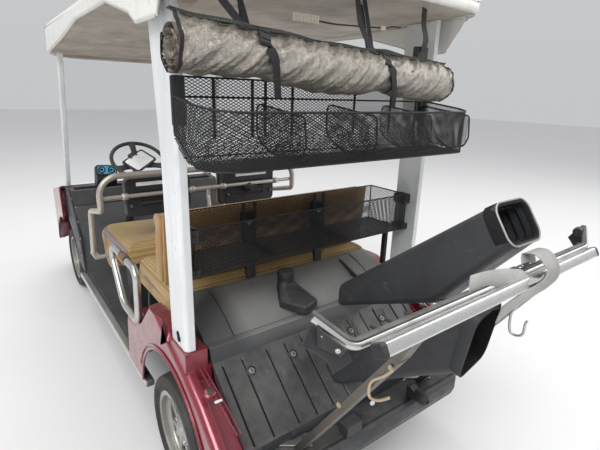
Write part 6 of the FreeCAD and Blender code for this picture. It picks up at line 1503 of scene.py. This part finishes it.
def ribbon(shape, points, wides, width, thickness, steps=8):
    """A strap through the points with its own wide direction at each."""
    line = spline(points, steps)
    turns = spline([Vector(w) for w in wides], steps)
    rings = []
    for i, p in enumerate(line):
        run = (line[min(len(line) - 1, i + 1)] - line[max(0, i - 1)]).normalized()
        wide = turns[i]
        wide = (wide - run * wide.dot(run)).normalized()
        out = run.cross(wide).normalized() * (thickness / 2)
        edge = thickness * 0.35
        rings.append([p - wide * (width / 2) + out * 0, p - wide * (width / 2 - edge) - out,
                      p + wide * (width / 2 - edge) - out, p + wide * (width / 2),
                      p + wide * (width / 2 - edge) + out, p - wide * (width / 2 - edge) + out])
    shape.loft(rings)


def make_belts(sizes):
    """The two rubber belts on the rail: one leaning, one looped over."""
    shape = Shape()
    width = sizes.belt_width
    ribbon(shape, [at(0.138, 0.848, 1.080), at(0.085, 0.849, 1.077), at(0.020, 0.857, 1.072),
                   at(-0.030, 0.870, 1.066), at(-0.062, 0.889, 1.0645), at(-0.088, 0.9010, 1.0560)],
           [(0, -0.10, 1), (0, -0.14, 1), (0.05, -0.3, 1), (0.2, -0.7, 0.8), (0.5, -1, 0.3),
            (1, -0.6, 0)], width * 0.82, 0.0034)
    ribbon(shape, [at(0.0350, 0.8790, 0.9840), at(-0.0220, 0.8860, 1.0040), at(-0.0750, 0.9010, 1.0270),
                   at(-0.1150, 0.9110, 1.0490), at(-0.1380, 0.9110, 1.0710), at(-0.1500, 0.8960, 1.0940),
                   at(-0.1550, 0.8680, 1.1090), at(-0.1550, 0.8380, 1.1000), at(-0.150, 0.846, 1.070)],
           [(0.3, 0.3, 0.9), (0.4, 0.3, 0.8), (0.85, 0.15, 0.45), (0.97, 0.05, 0.2),
            (1, 0, 0.05), (1, 0, 0), (1, 0, 0), (1, 0, 0), (1, 0, 0)], width * 1.3, 0.0034)
    obj = shape.piece("Bag_belts", [FINISH["belt_grey"]], smooth=60)
    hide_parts("bag_belts")
    buckle = Shape()
    buckle.block(at(-0.075, 0.842, 1.0625), at(-0.028, 0.862, 1.078))
    buckle.use(1).tube([at(-0.083, 0.858, 1.081), at(-0.118, 0.858, 1.081)], 0.004, 10)
    buckle.tube([at(-0.083, 0.846, 1.074), at(-0.118, 0.846, 1.074)], 0.003, 10)
    obj = buckle.piece("Belt_buckle", [FINISH["black_plastic"], FINISH["steel"]], bevel=0.002)


def make_hooks():
    """Bent wire hooks for the bags' straps."""
    steel = Shape()
    x = -0.062
    line = [at(x, 0.880, 1.027), at(x, 0.8735, 0.975), at(x, 0.8640, 0.950), at(x, 0.8690, 0.903),
            at(x, 0.8880, 0.8970), at(x, 0.9025, 0.9090), at(x, 0.9045, 0.940), at(x, 0.9095, 0.951)]
    steel.tube(spline(line, 8), 0.0034, 10)
    steel.use(1).bolt(at(x, 0.881, 1.0265), (0, 0, -1), 0.008, 0.008)
    obj = steel.piece("Bag_hook", [FINISH["steel"], FINISH["brass"]], smooth=60)
    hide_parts("bag_hook")
    brass = Shape()
    line = [at(0.3300, 0.8050, 0.9000), at(0.3340, 0.7850, 0.8730), at(0.3360, 0.7550, 0.8430),
            at(0.3370, 0.7450, 0.8160), at(0.3370, 0.7510, 0.7930), at(0.3370, 0.7770, 0.8010),
            at(0.3370, 0.8080, 0.8290)]
    brass.tube(spline(line, 8), 0.0038, 10)
    brass.bolt(line[0] + Vector((0.004, -0.004, 0.006)), (1, 0, 0), 0.0045, 0.006)
    obj = brass.piece("Wire_hook", [FINISH["brass"]], smooth=60)


def make_bumper_fittings():
    """Roller, pipe end and brackets on the rear bumper."""
    low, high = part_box("bumper_roller")
    middle = (low + high) / 2
    shape = Shape()
    axis = Vector((0.0, 1.0, -0.12)).normalized()
    base = Vector((middle.x, low.y + 0.030, middle.z))
    shape.lathe([(0.012, 0.0), (0.018, 0.004), (0.023, 0.014), (0.0238, 0.030), (0.0238, 0.044),
                 (0.019, 0.056), (0.012, 0.060)], base, axis, 36)
    shape.use(1).lathe([(0.0075, 0.0595), (0.0075, 0.0625)], base, axis, 20)
    outline = [Vector((middle.x - 0.017, low.y, low.z)),
               Vector((middle.x - 0.017, low.y + 0.05, low.z)),
               Vector((middle.x - 0.017, low.y + 0.05, middle.z + 0.006)),
               Vector((middle.x - 0.017, low.y + 0.015, high.z - 0.002)),
               Vector((middle.x - 0.017, low.y, high.z - 0.006))]
    shape.use(0).plate(outline, Vector((0.034, 0, 0)))
    obj = shape.piece("Bumper_roller", [FINISH["black_plastic"], FINISH["hole"]], bevel=0.002)
    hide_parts("bumper_roller")

    shape = Shape()
    shape.use(0).tube([at(-0.040, 0.408, 0.403), at(-0.020, 0.452, 0.405)], 0.0115, 20)
    shape.use(1).tube([at(-0.0185, 0.4555, 0.4052), at(-0.0165, 0.4600, 0.4054)], 0.0095, 20)
    for side in (1, -1):
        x = 0.310 * side
        shape.use(2).plate([at(x + 0.080, 0.394, 0.3815), at(x + 0.030, 0.430, 0.3815),
                            at(x - 0.034, 0.474, 0.3815), at(x - 0.040, 0.456, 0.3815),
                            at(x - 0.024, 0.424, 0.3815)], Vector((0, 0, 0.007)))
        shape.use(3).bolt(at(x - 0.016, 0.450, 0.3885), (0, 0, 1), 0.006, 0.006)
        shape.use(4).bolt(at(x + 0.0215 * side, 0.640, 0.690), (side, 0, 0), 0.006, 0.005)
    obj = shape.piece("Bumper_fittings", [FINISH["deck_plastic"], FINISH["card"],
                                          FINISH["hoop_silver"], FINISH["steel"], FINISH["brass"]],
                      bevel=0.001)


BAG_GROOVES = (0.453, 0.378, 0.276, 0.198, 0.121, 0.044)
BAG_BOLTS = (0.361, 0.181, -0.116, -0.301)
BAG_BOLT_Y = 0.2245


def bag_height(x, y):
    """Height of the ribbed slope at a place, Y counted from the rear axle."""
    z = 0.606 - (y - 0.172) * 0.181 / 0.228
    near = min(abs(abs(x) - g) for g in BAG_GROOVES)
    deep = 0.0065 * max(0.0, 1.0 - (near / 0.0042) ** 2)
    edge = min(1.0, max(0.0, (y - 0.180) / 0.006))
    for bolt in BAG_BOLTS:
        dx, dy = abs(x - bolt - 0.004), abs(y - BAG_BOLT_Y)
        if max(dx, dy) < 0.032:
            deep = max(deep, 0.0035 * min(1.0, (0.032 - max(dx, dy)) / 0.012))
    return z - deep * edge


def make_bag_floor():
    """The ribbed slope that the bags stand on, with its lip and foot."""
    low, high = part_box("bag_floor")
    columns, rows = 300, 56
    base_z = low.z
    rings = []
    y_low, y_high = 0.172, 0.400
    for i in range(columns + 1):
        x = low.x + (high.x - low.x) * i / columns
        run = [at(x, y_low + (y_high - y_low) * k / rows, 0) for k in range(rows + 1)]
        ring = [Vector((p.x, p.y, bag_height(x, p.y - AXLE_Y))) for p in run]
        ring += [at(x, 0.4045, 0.4235), at(x, 0.4105, 0.4215), at(x, 0.4115, 0.4190),
                 at(x, 0.4115, base_z + 0.001), at(x, 0.3900, base_z + 0.001),
                 at(x, 0.3780, 0.4000), at(x, 0.1900, 0.5500), at(x, 0.1725, 0.5800)]
        rings.append(ring)
    shape = Shape().loft(rings)
    # Painted shade: thin near-black strips laid in the grooves
    shape.use(1)
    for x in [side * g for g in BAG_GROOVES for side in (1, -1)]:
        ends = [at(x + dx, y, 0.606 - (y - 0.172) * 0.181 / 0.228 - 0.0036)
                for dx, y in ((-0.0026, 0.186), (0.0026, 0.186), (0.0026, 0.399), (-0.0026, 0.399))]
        shape.plate(ends, Vector((0, -0.0006, -0.0007)))
    obj = shape.piece("Bag_floor", [FINISH["bag_floor"], FINISH["hole"]], smooth=40)
    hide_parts("bag_floor")


def make_bag_floor_bolts():
    """Bolts in the recesses of the ribbed bag floor."""
    shape = Shape()
    out = Vector((0, 0.181, 0.228)).normalized()
    for x in BAG_BOLTS:
        spot = at(x, BAG_BOLT_Y, bag_height(x, BAG_BOLT_Y)) - out * 0.0005
        shape.use(0).lathe([(0.0200, 0.0), (0.0195, 0.0030), (0.0160, 0.0036), (0.0150, 0.0)],
                           spot, out, 28, caps=False)
        # Painted shade: a near-black ring round each bolt in its recess and a dark dot on its head
        shape.use(2).lathe([(0.0150, 0.0006), (0.0085, 0.0008)], spot, out, 28, caps=False)
        shape.use(1).bolt(spot, out, 0.0080, 0.0040, hexagon=False)
        shape.use(2).lathe([(0.0030, 0.0040), (0.0030, 0.0044)], spot, out, 12)
    obj = shape.piece("Bag_floor_bolts", [FINISH["bag_floor"], FINISH["screw"], FINISH["hole"]])


def make_pod():
    """The ribbed pod with a round cap that stands on the deck."""
    base_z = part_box("sensor_pod")[0].z
    foot = [at(0.100, -0.030, 0), at(0.142, 0.074, 0), at(0.091, 0.177, 0), at(0.005, 0.144, 0),
            at(0.007, -0.025, 0)]
    cap = at(0.080, 0.020, 0)
    heart = at(0.072, 0.070, 0)

    def foot_point(angle):
        run = Vector((math.cos(angle), math.sin(angle), 0))
        for a, b in zip(foot, foot[1:] + foot[:1]):
            edge, gap = b - a, a - heart
            cross = run.x * edge.y - run.y * edge.x
            if abs(cross) > 1e-9:
                far = (gap.x * edge.y - gap.y * edge.x) / cross
                share = (gap.x * run.y - gap.y * run.x) / cross
                if far > 0 and -1e-6 <= share <= 1 + 1e-6:
                    return heart + run * far
        return heart

    def level(angle, share, z, inset=0.0):
        outer = foot_point(angle)
        outer = outer + (heart - outer).normalized() * inset
        inner = cap + Vector((math.cos(angle), math.sin(angle), 0)) * 0.034
        spot = outer.lerp(inner, share)
        spot.z = z
        return spot

    turns = [math.tau * (k + 0.5) / 60 for k in range(60)]
    shape = Shape()
    shape.loft([[level(a, share, z, inset) for a in turns] for share, z, inset in
                ((0.0, base_z, 0.0), (0.0, base_z + 0.026, 0.0), (0.0, base_z + 0.029, 0.003),
                 (0.30, base_z + 0.045, 0.003), (0.85, base_z + 0.072, 0.002),
                 (1.0, base_z + 0.082, 0.0), (1.02, base_z + 0.090, 0.0))])
    for k in range(9):
        a = math.radians(48 + 9.5 * k)
        shape.tube([level(a, 0.02, base_z + 0.031, 0.004), level(a, 0.30, base_z + 0.0465, 0.003),
                    level(a, 0.80, base_z + 0.071, 0.002)], 0.0026, 6)
    base = Vector((cap.x, cap.y, base_z + 0.086))
    shape.lathe([(0.030, 0.0), (0.030, 0.008), (0.0275, 0.010), (0.0275, 0.014), (0.0335, 0.016),
                 (0.0345, 0.020), (0.0345, 0.034), (0.031, 0.040), (0.016, 0.0425)], base,
                (0, 0, 1), 36)
    obj = shape.piece("Sensor_pod", [FINISH["black_plastic"]], smooth=35)
    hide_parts("sensor_pod")


# Steering, dash and front end

STEER_TILT = math.radians(55)
STEER_OUT = Vector((0, math.cos(STEER_TILT), math.sin(STEER_TILT)))
STEER_UP = Vector((0, -math.sin(STEER_TILT), math.cos(STEER_TILT)))
STEER_LEFT = Vector((1, 0, 0))
STEER_CENTRE = at(0.212, -1.425, 1.060)


def steer(u, v, out=0.0):
    """A point on the steering wheel: u to the left, v up its face."""
    return STEER_CENTRE + STEER_LEFT * u + STEER_UP * v + STEER_OUT * out


def make_steering_wheel():
    """Ring, three spokes, hub clip and the blank card."""
    ring_radius, section = 0.158, 0.0115
    shape = Shape()
    ring = []
    for k in range(96):
        a = math.tau * k / 96
        ring.append(steer(ring_radius * math.cos(a), ring_radius * math.sin(a)))
    shape.tube(ring, section, 14, closed=True)
    for angle, wide in ((math.radians(90), 0.017), (math.radians(205), 0.020),
                        (math.radians(335), 0.020)):
        run = STEER_LEFT * math.cos(angle) + STEER_UP * math.sin(angle)
        side = STEER_OUT.cross(run)
        rings = []
        for share, half, drop in ((0.02, 2.2, -0.020), (0.06, 1.5, -0.018), (0.10, 1.0, -0.012),
                                  (0.135, 1.1, -0.004), (0.152, 1.6, 0.0)):
            middle = STEER_CENTRE + run * share + STEER_OUT * drop
            rings.append([middle + side * (wide * half * u) + STEER_OUT * (0.0075 * v)
                          for u, v in rounded_rect(1.0, 1.0, 0.6, 4)])
        shape.loft(rings)
    hub = STEER_CENTRE - STEER_OUT * 0.030
    shape.lathe([(0.030, -0.018), (0.046, 0.0), (0.050, 0.012), (0.044, 0.022), (0.030, 0.027)], hub,
                STEER_OUT, 36)
    turn = Matrix((STEER_LEFT, STEER_UP, STEER_OUT)).transposed() @ Matrix.Rotation(
        math.radians(-36), 3, "Z")

    def board(half_u, half_v, low, high, shift=(0.0, 0.0)):
        outline = [steer(-0.0015, -0.012) + turn @ Vector((u + shift[0], v + shift[1], low))
                   for u, v in rounded_rect(half_u, half_v, min(half_u, half_v) * 0.25, 4)]
        shape.plate(outline, (turn @ Vector((0, 0, 1))) * (high - low))

    board(0.094, 0.062, 0.0, 0.009)
    board(0.026, 0.011, 0.009, 0.021, (0.0, 0.060))
    for shift in (-0.024, 0.024):
        board(0.004, 0.014, 0.009, 0.017, (shift, 0.054))
    shape.use(1)
    board(0.0785, 0.051, 0.0092, 0.0104)
    obj = shape.piece("Steering_wheel", [FINISH["black_plastic"], FINISH["card"]],
                      "steering_wheel", bevel=0.0012)
    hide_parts("steering_wheel")


def make_dash_details():
    """Dials on the pod and rivets of the dash and foot panels."""
    shape = Shape()
    _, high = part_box("dash_panel")
    tilt = Matrix.Rotation(math.radians(20), 3, "X")
    heart = Vector((0.314, high.y + 0.002, 0.936))

    def spot(u, v, out=0.0):
        return heart + tilt @ Vector((u, out, v + u * 0.08))

    shape.use(0).loft([[spot(u * s, v * s, out) for u, v in rounded_rect(0.068, 0.036, 0.020, 6)]
                       for s, out in ((1.0, -0.030), (1.0, 0.006), (0.94, 0.010))])
    shape.use(2).plate([spot(u, v, 0.0102) for u, v in rounded_rect(0.058, 0.026, 0.014, 5)],
                       tilt @ Vector((0, 0.0012, 0)))
    out = tilt @ Vector((0, 1, 0))
    for dx in (0.031, -0.031):
        shape.use(3).lathe([(0.0240, 0.0), (0.0240, 0.0030), (0.0165, 0.0034), (0.0160, 0.0005)],
                           spot(dx, 0, 0.0114), out, 28, caps=False)
        shape.use(2).lathe([(0.0162, 0.0), (0.0162, 0.0014)], spot(dx, 0, 0.0114), out, 28)
        shape.use(3).lathe([(0.0095, 0.0014), (0.0085, 0.0034)], spot(dx, 0, 0.0114), out, 20)
    obj = shape.piece("Dash_dials", [FINISH["tyre"], FINISH["black_plastic"], FINISH["dial"],
                                     FINISH["hole"]])

    rivets = Shape()
    for side in (1, -1):
        x = 0.5573 * side
        for y, z in ((-1.580, 0.743), (-1.690, 0.638), (-1.690, 0.519), (-1.690, 0.397),
                     (-1.700, 0.735), (-1.845, 0.760), (-1.990, 0.770), (-1.845, 0.310)):
            if y < -1.665:
                rivets.lathe([(0.0075, 0.0), (0.0070, 0.0018), (0.0030, 0.0030)], at(x, y, z),
                             (side, 0, 0), 16)
    obj = rivets.piece("Panel_rivets", [FINISH["screw"]])


# Body sides, hoops and pillars

ARCH_BEADS = (0.338, 0.352)


def make_body_details():
    """Beads round the wheel arches, tail seams, fasteners and plugs."""
    _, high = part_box("rear_body")
    beads = Shape()
    for side in (1, -1):
        x = high.x * side
        for radius in ARCH_BEADS:
            line = []
            for k in range(49):
                a = math.radians(8 + 150 * k / 48)
                z = 0.2285 + radius * math.sin(a)
                y = radius * math.cos(a)
                if z > 0.272 and y < 0.47:
                    line.append(at(x - 0.0012 * side, y, z))
            beads.tube(line, 0.0030, 8)
        for x_run in (0.520, 0.534):
            line = [at(x_run * side, 0.185, 0.6135), at(x_run * side, 0.300, 0.5820),
                    at(x_run * side, 0.440, 0.5400)]
            beads.tube(line, 0.0022, 6)
    obj = beads.piece("Body_beads", [FINISH["body_red"]], smooth=70)

    parts = Shape()
    for side in (1, -1):
        spot = at(0.545 * side, 0.283, 0.590)
        out = Vector((0, 0.30, 0.954))
        parts.use(0).lathe([(0.019, -0.004), (0.019, 0.004), (0.015, 0.007)], spot, out, 28)
        parts.use(1).lathe([(0.012, 0.006), (0.0115, 0.0085), (0.009, 0.0095)], spot, out, 20)
        parts.use(2).block(at(0.536 * side - 0.012, 0.319, 0.5790),
                           at(0.536 * side + 0.012, 0.326, 0.5835))
        parts.use(3).lathe([(0.011, 0.0), (0.0105, 0.004), (0.006, 0.005)],
                           at(0.5688 * side, 0.106, 0.700), (side, 0, 0), 20)
    obj = parts.piece("Body_fasteners", [FINISH["body_red"], FINISH["tyre"], FINISH["card"],
                                         FINISH["hole"]])


def make_hoops():
    """Hip hoops of bright tube with a worn leather grip and end caps."""
    low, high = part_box("hip_hoops")
    grips = Shape()
    for side in (1, -1):
        x = (high.x - 0.015) * side
        z = high.z - 0.015
        y0 = low.y + 0.188
        line = [Vector((x, y0 + 0.010 * k, z)) for k in range(8)]
        grips.use(0).tube(line, 0.0168, 20, scale=lambda t: 1.0 + 0.03 * math.sin(math.pi * t))
        for y in (line[0].y - 0.0015, line[-1].y + 0.0015):
            grips.use(1).tube([Vector((x, y - 0.003, z)), Vector((x, y + 0.003, z))], 0.0172, 20)
    made = grips.piece("Hoop_grips", [FINISH["grip"], FINISH["strap_black"]], smooth=50)


def make_pillar_details():
    """Bolts and plugs of the pillars."""
    shape = Shape()
    for side in (1, -1):
        x = 0.5690 * side
        shape.use(0).lathe([(0.0125, 0.0), (0.0120, 0.0020), (0.0050, 0.0030)],
                           at(x, 0.098, 0.712), (side, 0, 0), 20)
        shape.use(1)
        for y, z in ((0.060, 1.735), (0.020, 1.760)):
            shape.bolt(at(x, y, z), (side, 0, 0), 0.006, 0.005)
    obj = shape.piece("Pillar_plugs", [FINISH["hole"], FINISH["screw"]])


def make_deck_details():
    """The fin on the right of the rear deck."""
    fin = Shape()
    outline = [at(-0.288, -0.092, 0.7035), at(-0.276, 0.068, 0.6960), at(-0.276, 0.090, 0.7080),
               at(-0.288, -0.060, 0.7440)]
    fin.plate(outline, Vector((-0.010, 0, 0)))
    obj = fin.piece("Deck_fin", [FINISH["deck_plastic"]], bevel=0.002)


# Stage, camera and lights


def make_stage():
    """Pale floor, soft studio lights and the camera at the photograph's angle."""
    scene = bpy.context.scene
    scene.view_settings.view_transform = "Standard"

    bpy.ops.mesh.primitive_plane_add(size=60)
    floor = bpy.context.object
    floor.name = "Stage_floor"
    r = Recipe("Stage floor")
    floor.data.materials.append(r.done(r.mix(r.noise(1.2, 2.0), (0.76, 0.755, 0.75),
                                             (0.80, 0.795, 0.79)), 0.9, None))

    world = bpy.data.worlds.new("Studio")
    scene.world = world
    world.use_nodes = True
    tree = world.node_tree
    tree.nodes.clear()
    out = tree.nodes.new("ShaderNodeOutputWorld")
    back = tree.nodes.new("ShaderNodeBackground")
    sky = tree.nodes.new("ShaderNodeTexGradient")
    ramp = tree.nodes.new("ShaderNodeValToRGB")
    place = tree.nodes.new("ShaderNodeTexCoord")
    turn = tree.nodes.new("ShaderNodeMapping")
    turn.inputs["Rotation"].default_value = (0, math.radians(90), 0)
    tree.links.new(place.outputs["Generated"], turn.inputs["Vector"])
    tree.links.new(turn.outputs[0], sky.inputs["Vector"])
    ramp.color_ramp.elements[0].color = (0.84, 0.85, 0.87, 1)
    ramp.color_ramp.elements[1].color = (0.96, 0.97, 1.0, 1)
    tree.links.new(sky.outputs[0], ramp.inputs[0])
    tree.links.new(ramp.outputs[0], back.inputs[0])
    back.inputs[1].default_value = 0.66
    tree.links.new(back.outputs[0], out.inputs[0])

    lamps = (
        # name, place, size, power
        ("Key", (5.5, 4.5, 7.0), 4.5, 520.0),
        ("Fill", (-6.0, 3.0, 5.0), 5.0, 160.0),
        ("Top", (0.0, -1.0, 7.5), 5.0, 200.0),
    )
    for name, spot, size, power in lamps:
        light = bpy.data.lights.new(name, "AREA")
        light.size = size
        light.energy = power
        obj = bpy.data.objects.new(name, light)
        scene.collection.objects.link(obj)
        obj.location = spot
        aim = Vector((0.0, 0.2, 0.6)) - Vector(spot)
        obj.rotation_euler = aim.to_track_quat("-Z", "Y").to_euler()

    yaw, pitch, roll = (math.radians(v) for v in (37.136, 17.211, -1.831))
    ahead, right, up = Vector((0, -1, 0)), Vector((-1, 0, 0)), Vector((0, 0, 1))
    level = ahead * math.cos(yaw) + right * math.sin(yaw)
    side = right * math.cos(yaw) - ahead * math.sin(yaw)
    look = level * math.cos(pitch) - up * math.sin(pitch)
    down = -level * math.sin(pitch) - up * math.cos(pitch)
    image_x = side * math.cos(roll) + down * math.sin(roll)
    image_y = -(down * math.cos(roll) - side * math.sin(roll))
    camera = bpy.data.cameras.new("Camera")
    camera.sensor_fit = "HORIZONTAL"
    camera.sensor_width = 36.0
    camera.lens = 36.0 * 426.4 / 600
    camera.clip_start = 0.05
    obj = bpy.data.objects.new("Camera", camera)
    scene.collection.objects.link(obj)
    turn = Matrix((image_x, image_y, -look)).transposed().to_4x4()
    obj.matrix_world = Matrix.Translation(at(1.009, 1.334, 1.496)) @ turn
    scene.camera = obj


# Operators, panel and running order


class CartStep:
    """What every step of the golf cart has in common."""

    bl_options = {"REGISTER"}

    def execute(self, context):
        self.make(context.scene.cart_sizes, context.scene.cart_colours)
        return {"FINISHED"}


class CART_OT_finishes(CartStep, bpy.types.Operator):
    """Makes the finishes of the golf cart"""

    bl_idname = "golf_cart.finishes"
    bl_label = "Finishes"

    def make(self, sizes, colours):
        make_finishes(colours)
        make_seat_finishes(colours)


class CART_OT_frame_nodes(CartStep, bpy.types.Operator):
    """Dresses the CAD nodes that stay in view"""

    bl_idname = "golf_cart.frame_nodes"
    bl_label = "Frame nodes"

    def make(self, sizes, colours):
        for row in KEPT:
            dress_node(*row)


class CART_OT_wheels(CartStep, bpy.types.Operator):
    """Makes the four treaded tyres and the wheel nuts"""

    bl_idname = "golf_cart.wheels"
    bl_label = "Wheels"

    def make(self, sizes, colours):
        for wheel in WHEELS:
            make_tyre(wheel, sizes)
            make_wheel_details(wheel)


class CART_OT_rear_cushion(CartStep, bpy.types.Operator):
    """Makes the rear seat cushion"""

    bl_idname = "golf_cart.rear_cushion"
    bl_label = "Rear cushion"

    def make(self, sizes, colours):
        make_rear_cushion(sizes)


class CART_OT_front_cushion(CartStep, bpy.types.Operator):
    """Makes the front seat cushion"""

    bl_idname = "golf_cart.front_cushion"
    bl_label = "Front cushion"

    def make(self, sizes, colours):
        make_front_cushion(sizes)


class CART_OT_rear_backrest(CartStep, bpy.types.Operator):
    """Makes the rear backrest pad"""

    bl_idname = "golf_cart.rear_backrest"
    bl_label = "Rear backrest"

    def make(self, sizes, colours):
        make_rear_back(sizes)


class CART_OT_front_backrests(CartStep, bpy.types.Operator):
    """Makes the front backrest pads and their fittings"""

    bl_idname = "golf_cart.front_backrests"
    bl_label = "Front backrests"

    def make(self, sizes, colours):
        make_front_backs(sizes)
        make_backrest_fittings()


class CART_OT_baskets(CartStep, bpy.types.Operator):
    """Makes the two mesh baskets"""

    bl_idname = "golf_cart.baskets"
    bl_label = "Baskets"

    def make(self, sizes, colours):
        make_upper_basket(sizes)
        make_lower_basket(sizes)


class CART_OT_curtain(CartStep, bpy.types.Operator):
    """Makes the rolled rain curtain"""

    bl_idname = "golf_cart.curtain"
    bl_label = "Rain curtain"

    def make(self, sizes, colours):
        make_straps(sizes)
        make_curtain(sizes)


class CART_OT_roof(CartStep, bpy.types.Operator):
    """Makes the fittings under the roof and on the pillars"""

    bl_idname = "golf_cart.roof"
    bl_label = "Roof fittings"

    def make(self, sizes, colours):
        make_roof_fittings()
        make_pillar_details()


class CART_OT_club_tubes(CartStep, bpy.types.Operator):
    """Makes the collars and ribs of the club tubes"""

    bl_idname = "golf_cart.club_tubes"
    bl_label = "Club tubes"

    def make(self, sizes, colours):
        make_tube_collars()


class CART_OT_bag_rack(CartStep, bpy.types.Operator):
    """Makes the rail's details, the belts and the hooks"""

    bl_idname = "golf_cart.bag_rack"
    bl_label = "Bag rack"

    def make(self, sizes, colours):
        make_rail_details(sizes)
        make_belts(sizes)
        make_hooks()


class CART_OT_rear_end(CartStep, bpy.types.Operator):
    """Makes the fittings of the bumper, bag floor and deck"""

    bl_idname = "golf_cart.rear_end"
    bl_label = "Rear end"

    def make(self, sizes, colours):
        make_bumper_fittings()
        make_bag_floor()
        make_bag_floor_bolts()
        make_pod()
        make_deck_details()


class CART_OT_body(CartStep, bpy.types.Operator):
    """Makes the beads, fasteners and hip hoop grips"""

    bl_idname = "golf_cart.body"
    bl_label = "Body"

    def make(self, sizes, colours):
        make_body_details()
        make_hoops()


class CART_OT_front_end(CartStep, bpy.types.Operator):
    """Makes the steering wheel, the dials and the panel rivets"""

    bl_idname = "golf_cart.front_end"
    bl_label = "Front end"

    def make(self, sizes, colours):
        make_steering_wheel()
        make_dash_details()


class CART_OT_stage(CartStep, bpy.types.Operator):
    """Makes the floor, the lights and the camera"""

    bl_idname = "golf_cart.stage"
    bl_label = "Stage"

    def make(self, sizes, colours):
        make_stage()


STEPS = (
    CART_OT_finishes, CART_OT_frame_nodes, CART_OT_wheels, CART_OT_rear_cushion,
    CART_OT_front_cushion, CART_OT_rear_backrest, CART_OT_front_backrests, CART_OT_baskets,
    CART_OT_curtain, CART_OT_roof, CART_OT_club_tubes, CART_OT_bag_rack, CART_OT_rear_end,
    CART_OT_body, CART_OT_front_end, CART_OT_stage,
)


class CART_PT_panel(bpy.types.Panel):
    """Lists the steps of the golf cart"""

    bl_idname = "CART_PT_panel"
    bl_label = "Golf cart"
    bl_space_type = "VIEW_3D"
    bl_region_type = "UI"
    bl_category = "Golf cart"

    def draw(self, context):
        for group in (context.scene.cart_sizes, context.scene.cart_colours):
            box = self.layout.box()
            for name in group.__annotations__:
                box.prop(group, name)
        for step in STEPS:
            self.layout.operator(step.bl_idname)


CLASSES = (CartSizes, CartColours, *STEPS, CART_PT_panel)


def register():
    for cls in CLASSES:
        bpy.utils.register_class(cls)
    bpy.types.Scene.cart_sizes = PointerProperty(type=CartSizes)
    bpy.types.Scene.cart_colours = PointerProperty(type=CartColours)


def unregister():
    del bpy.types.Scene.cart_colours
    del bpy.types.Scene.cart_sizes
    for cls in reversed(CLASSES):
        bpy.utils.unregister_class(cls)


def main():
    register()
    for step in STEPS:
        group, name = step.bl_idname.split(".")
        getattr(getattr(bpy.ops, group), name)()


if __name__ == "__main__":
    main()
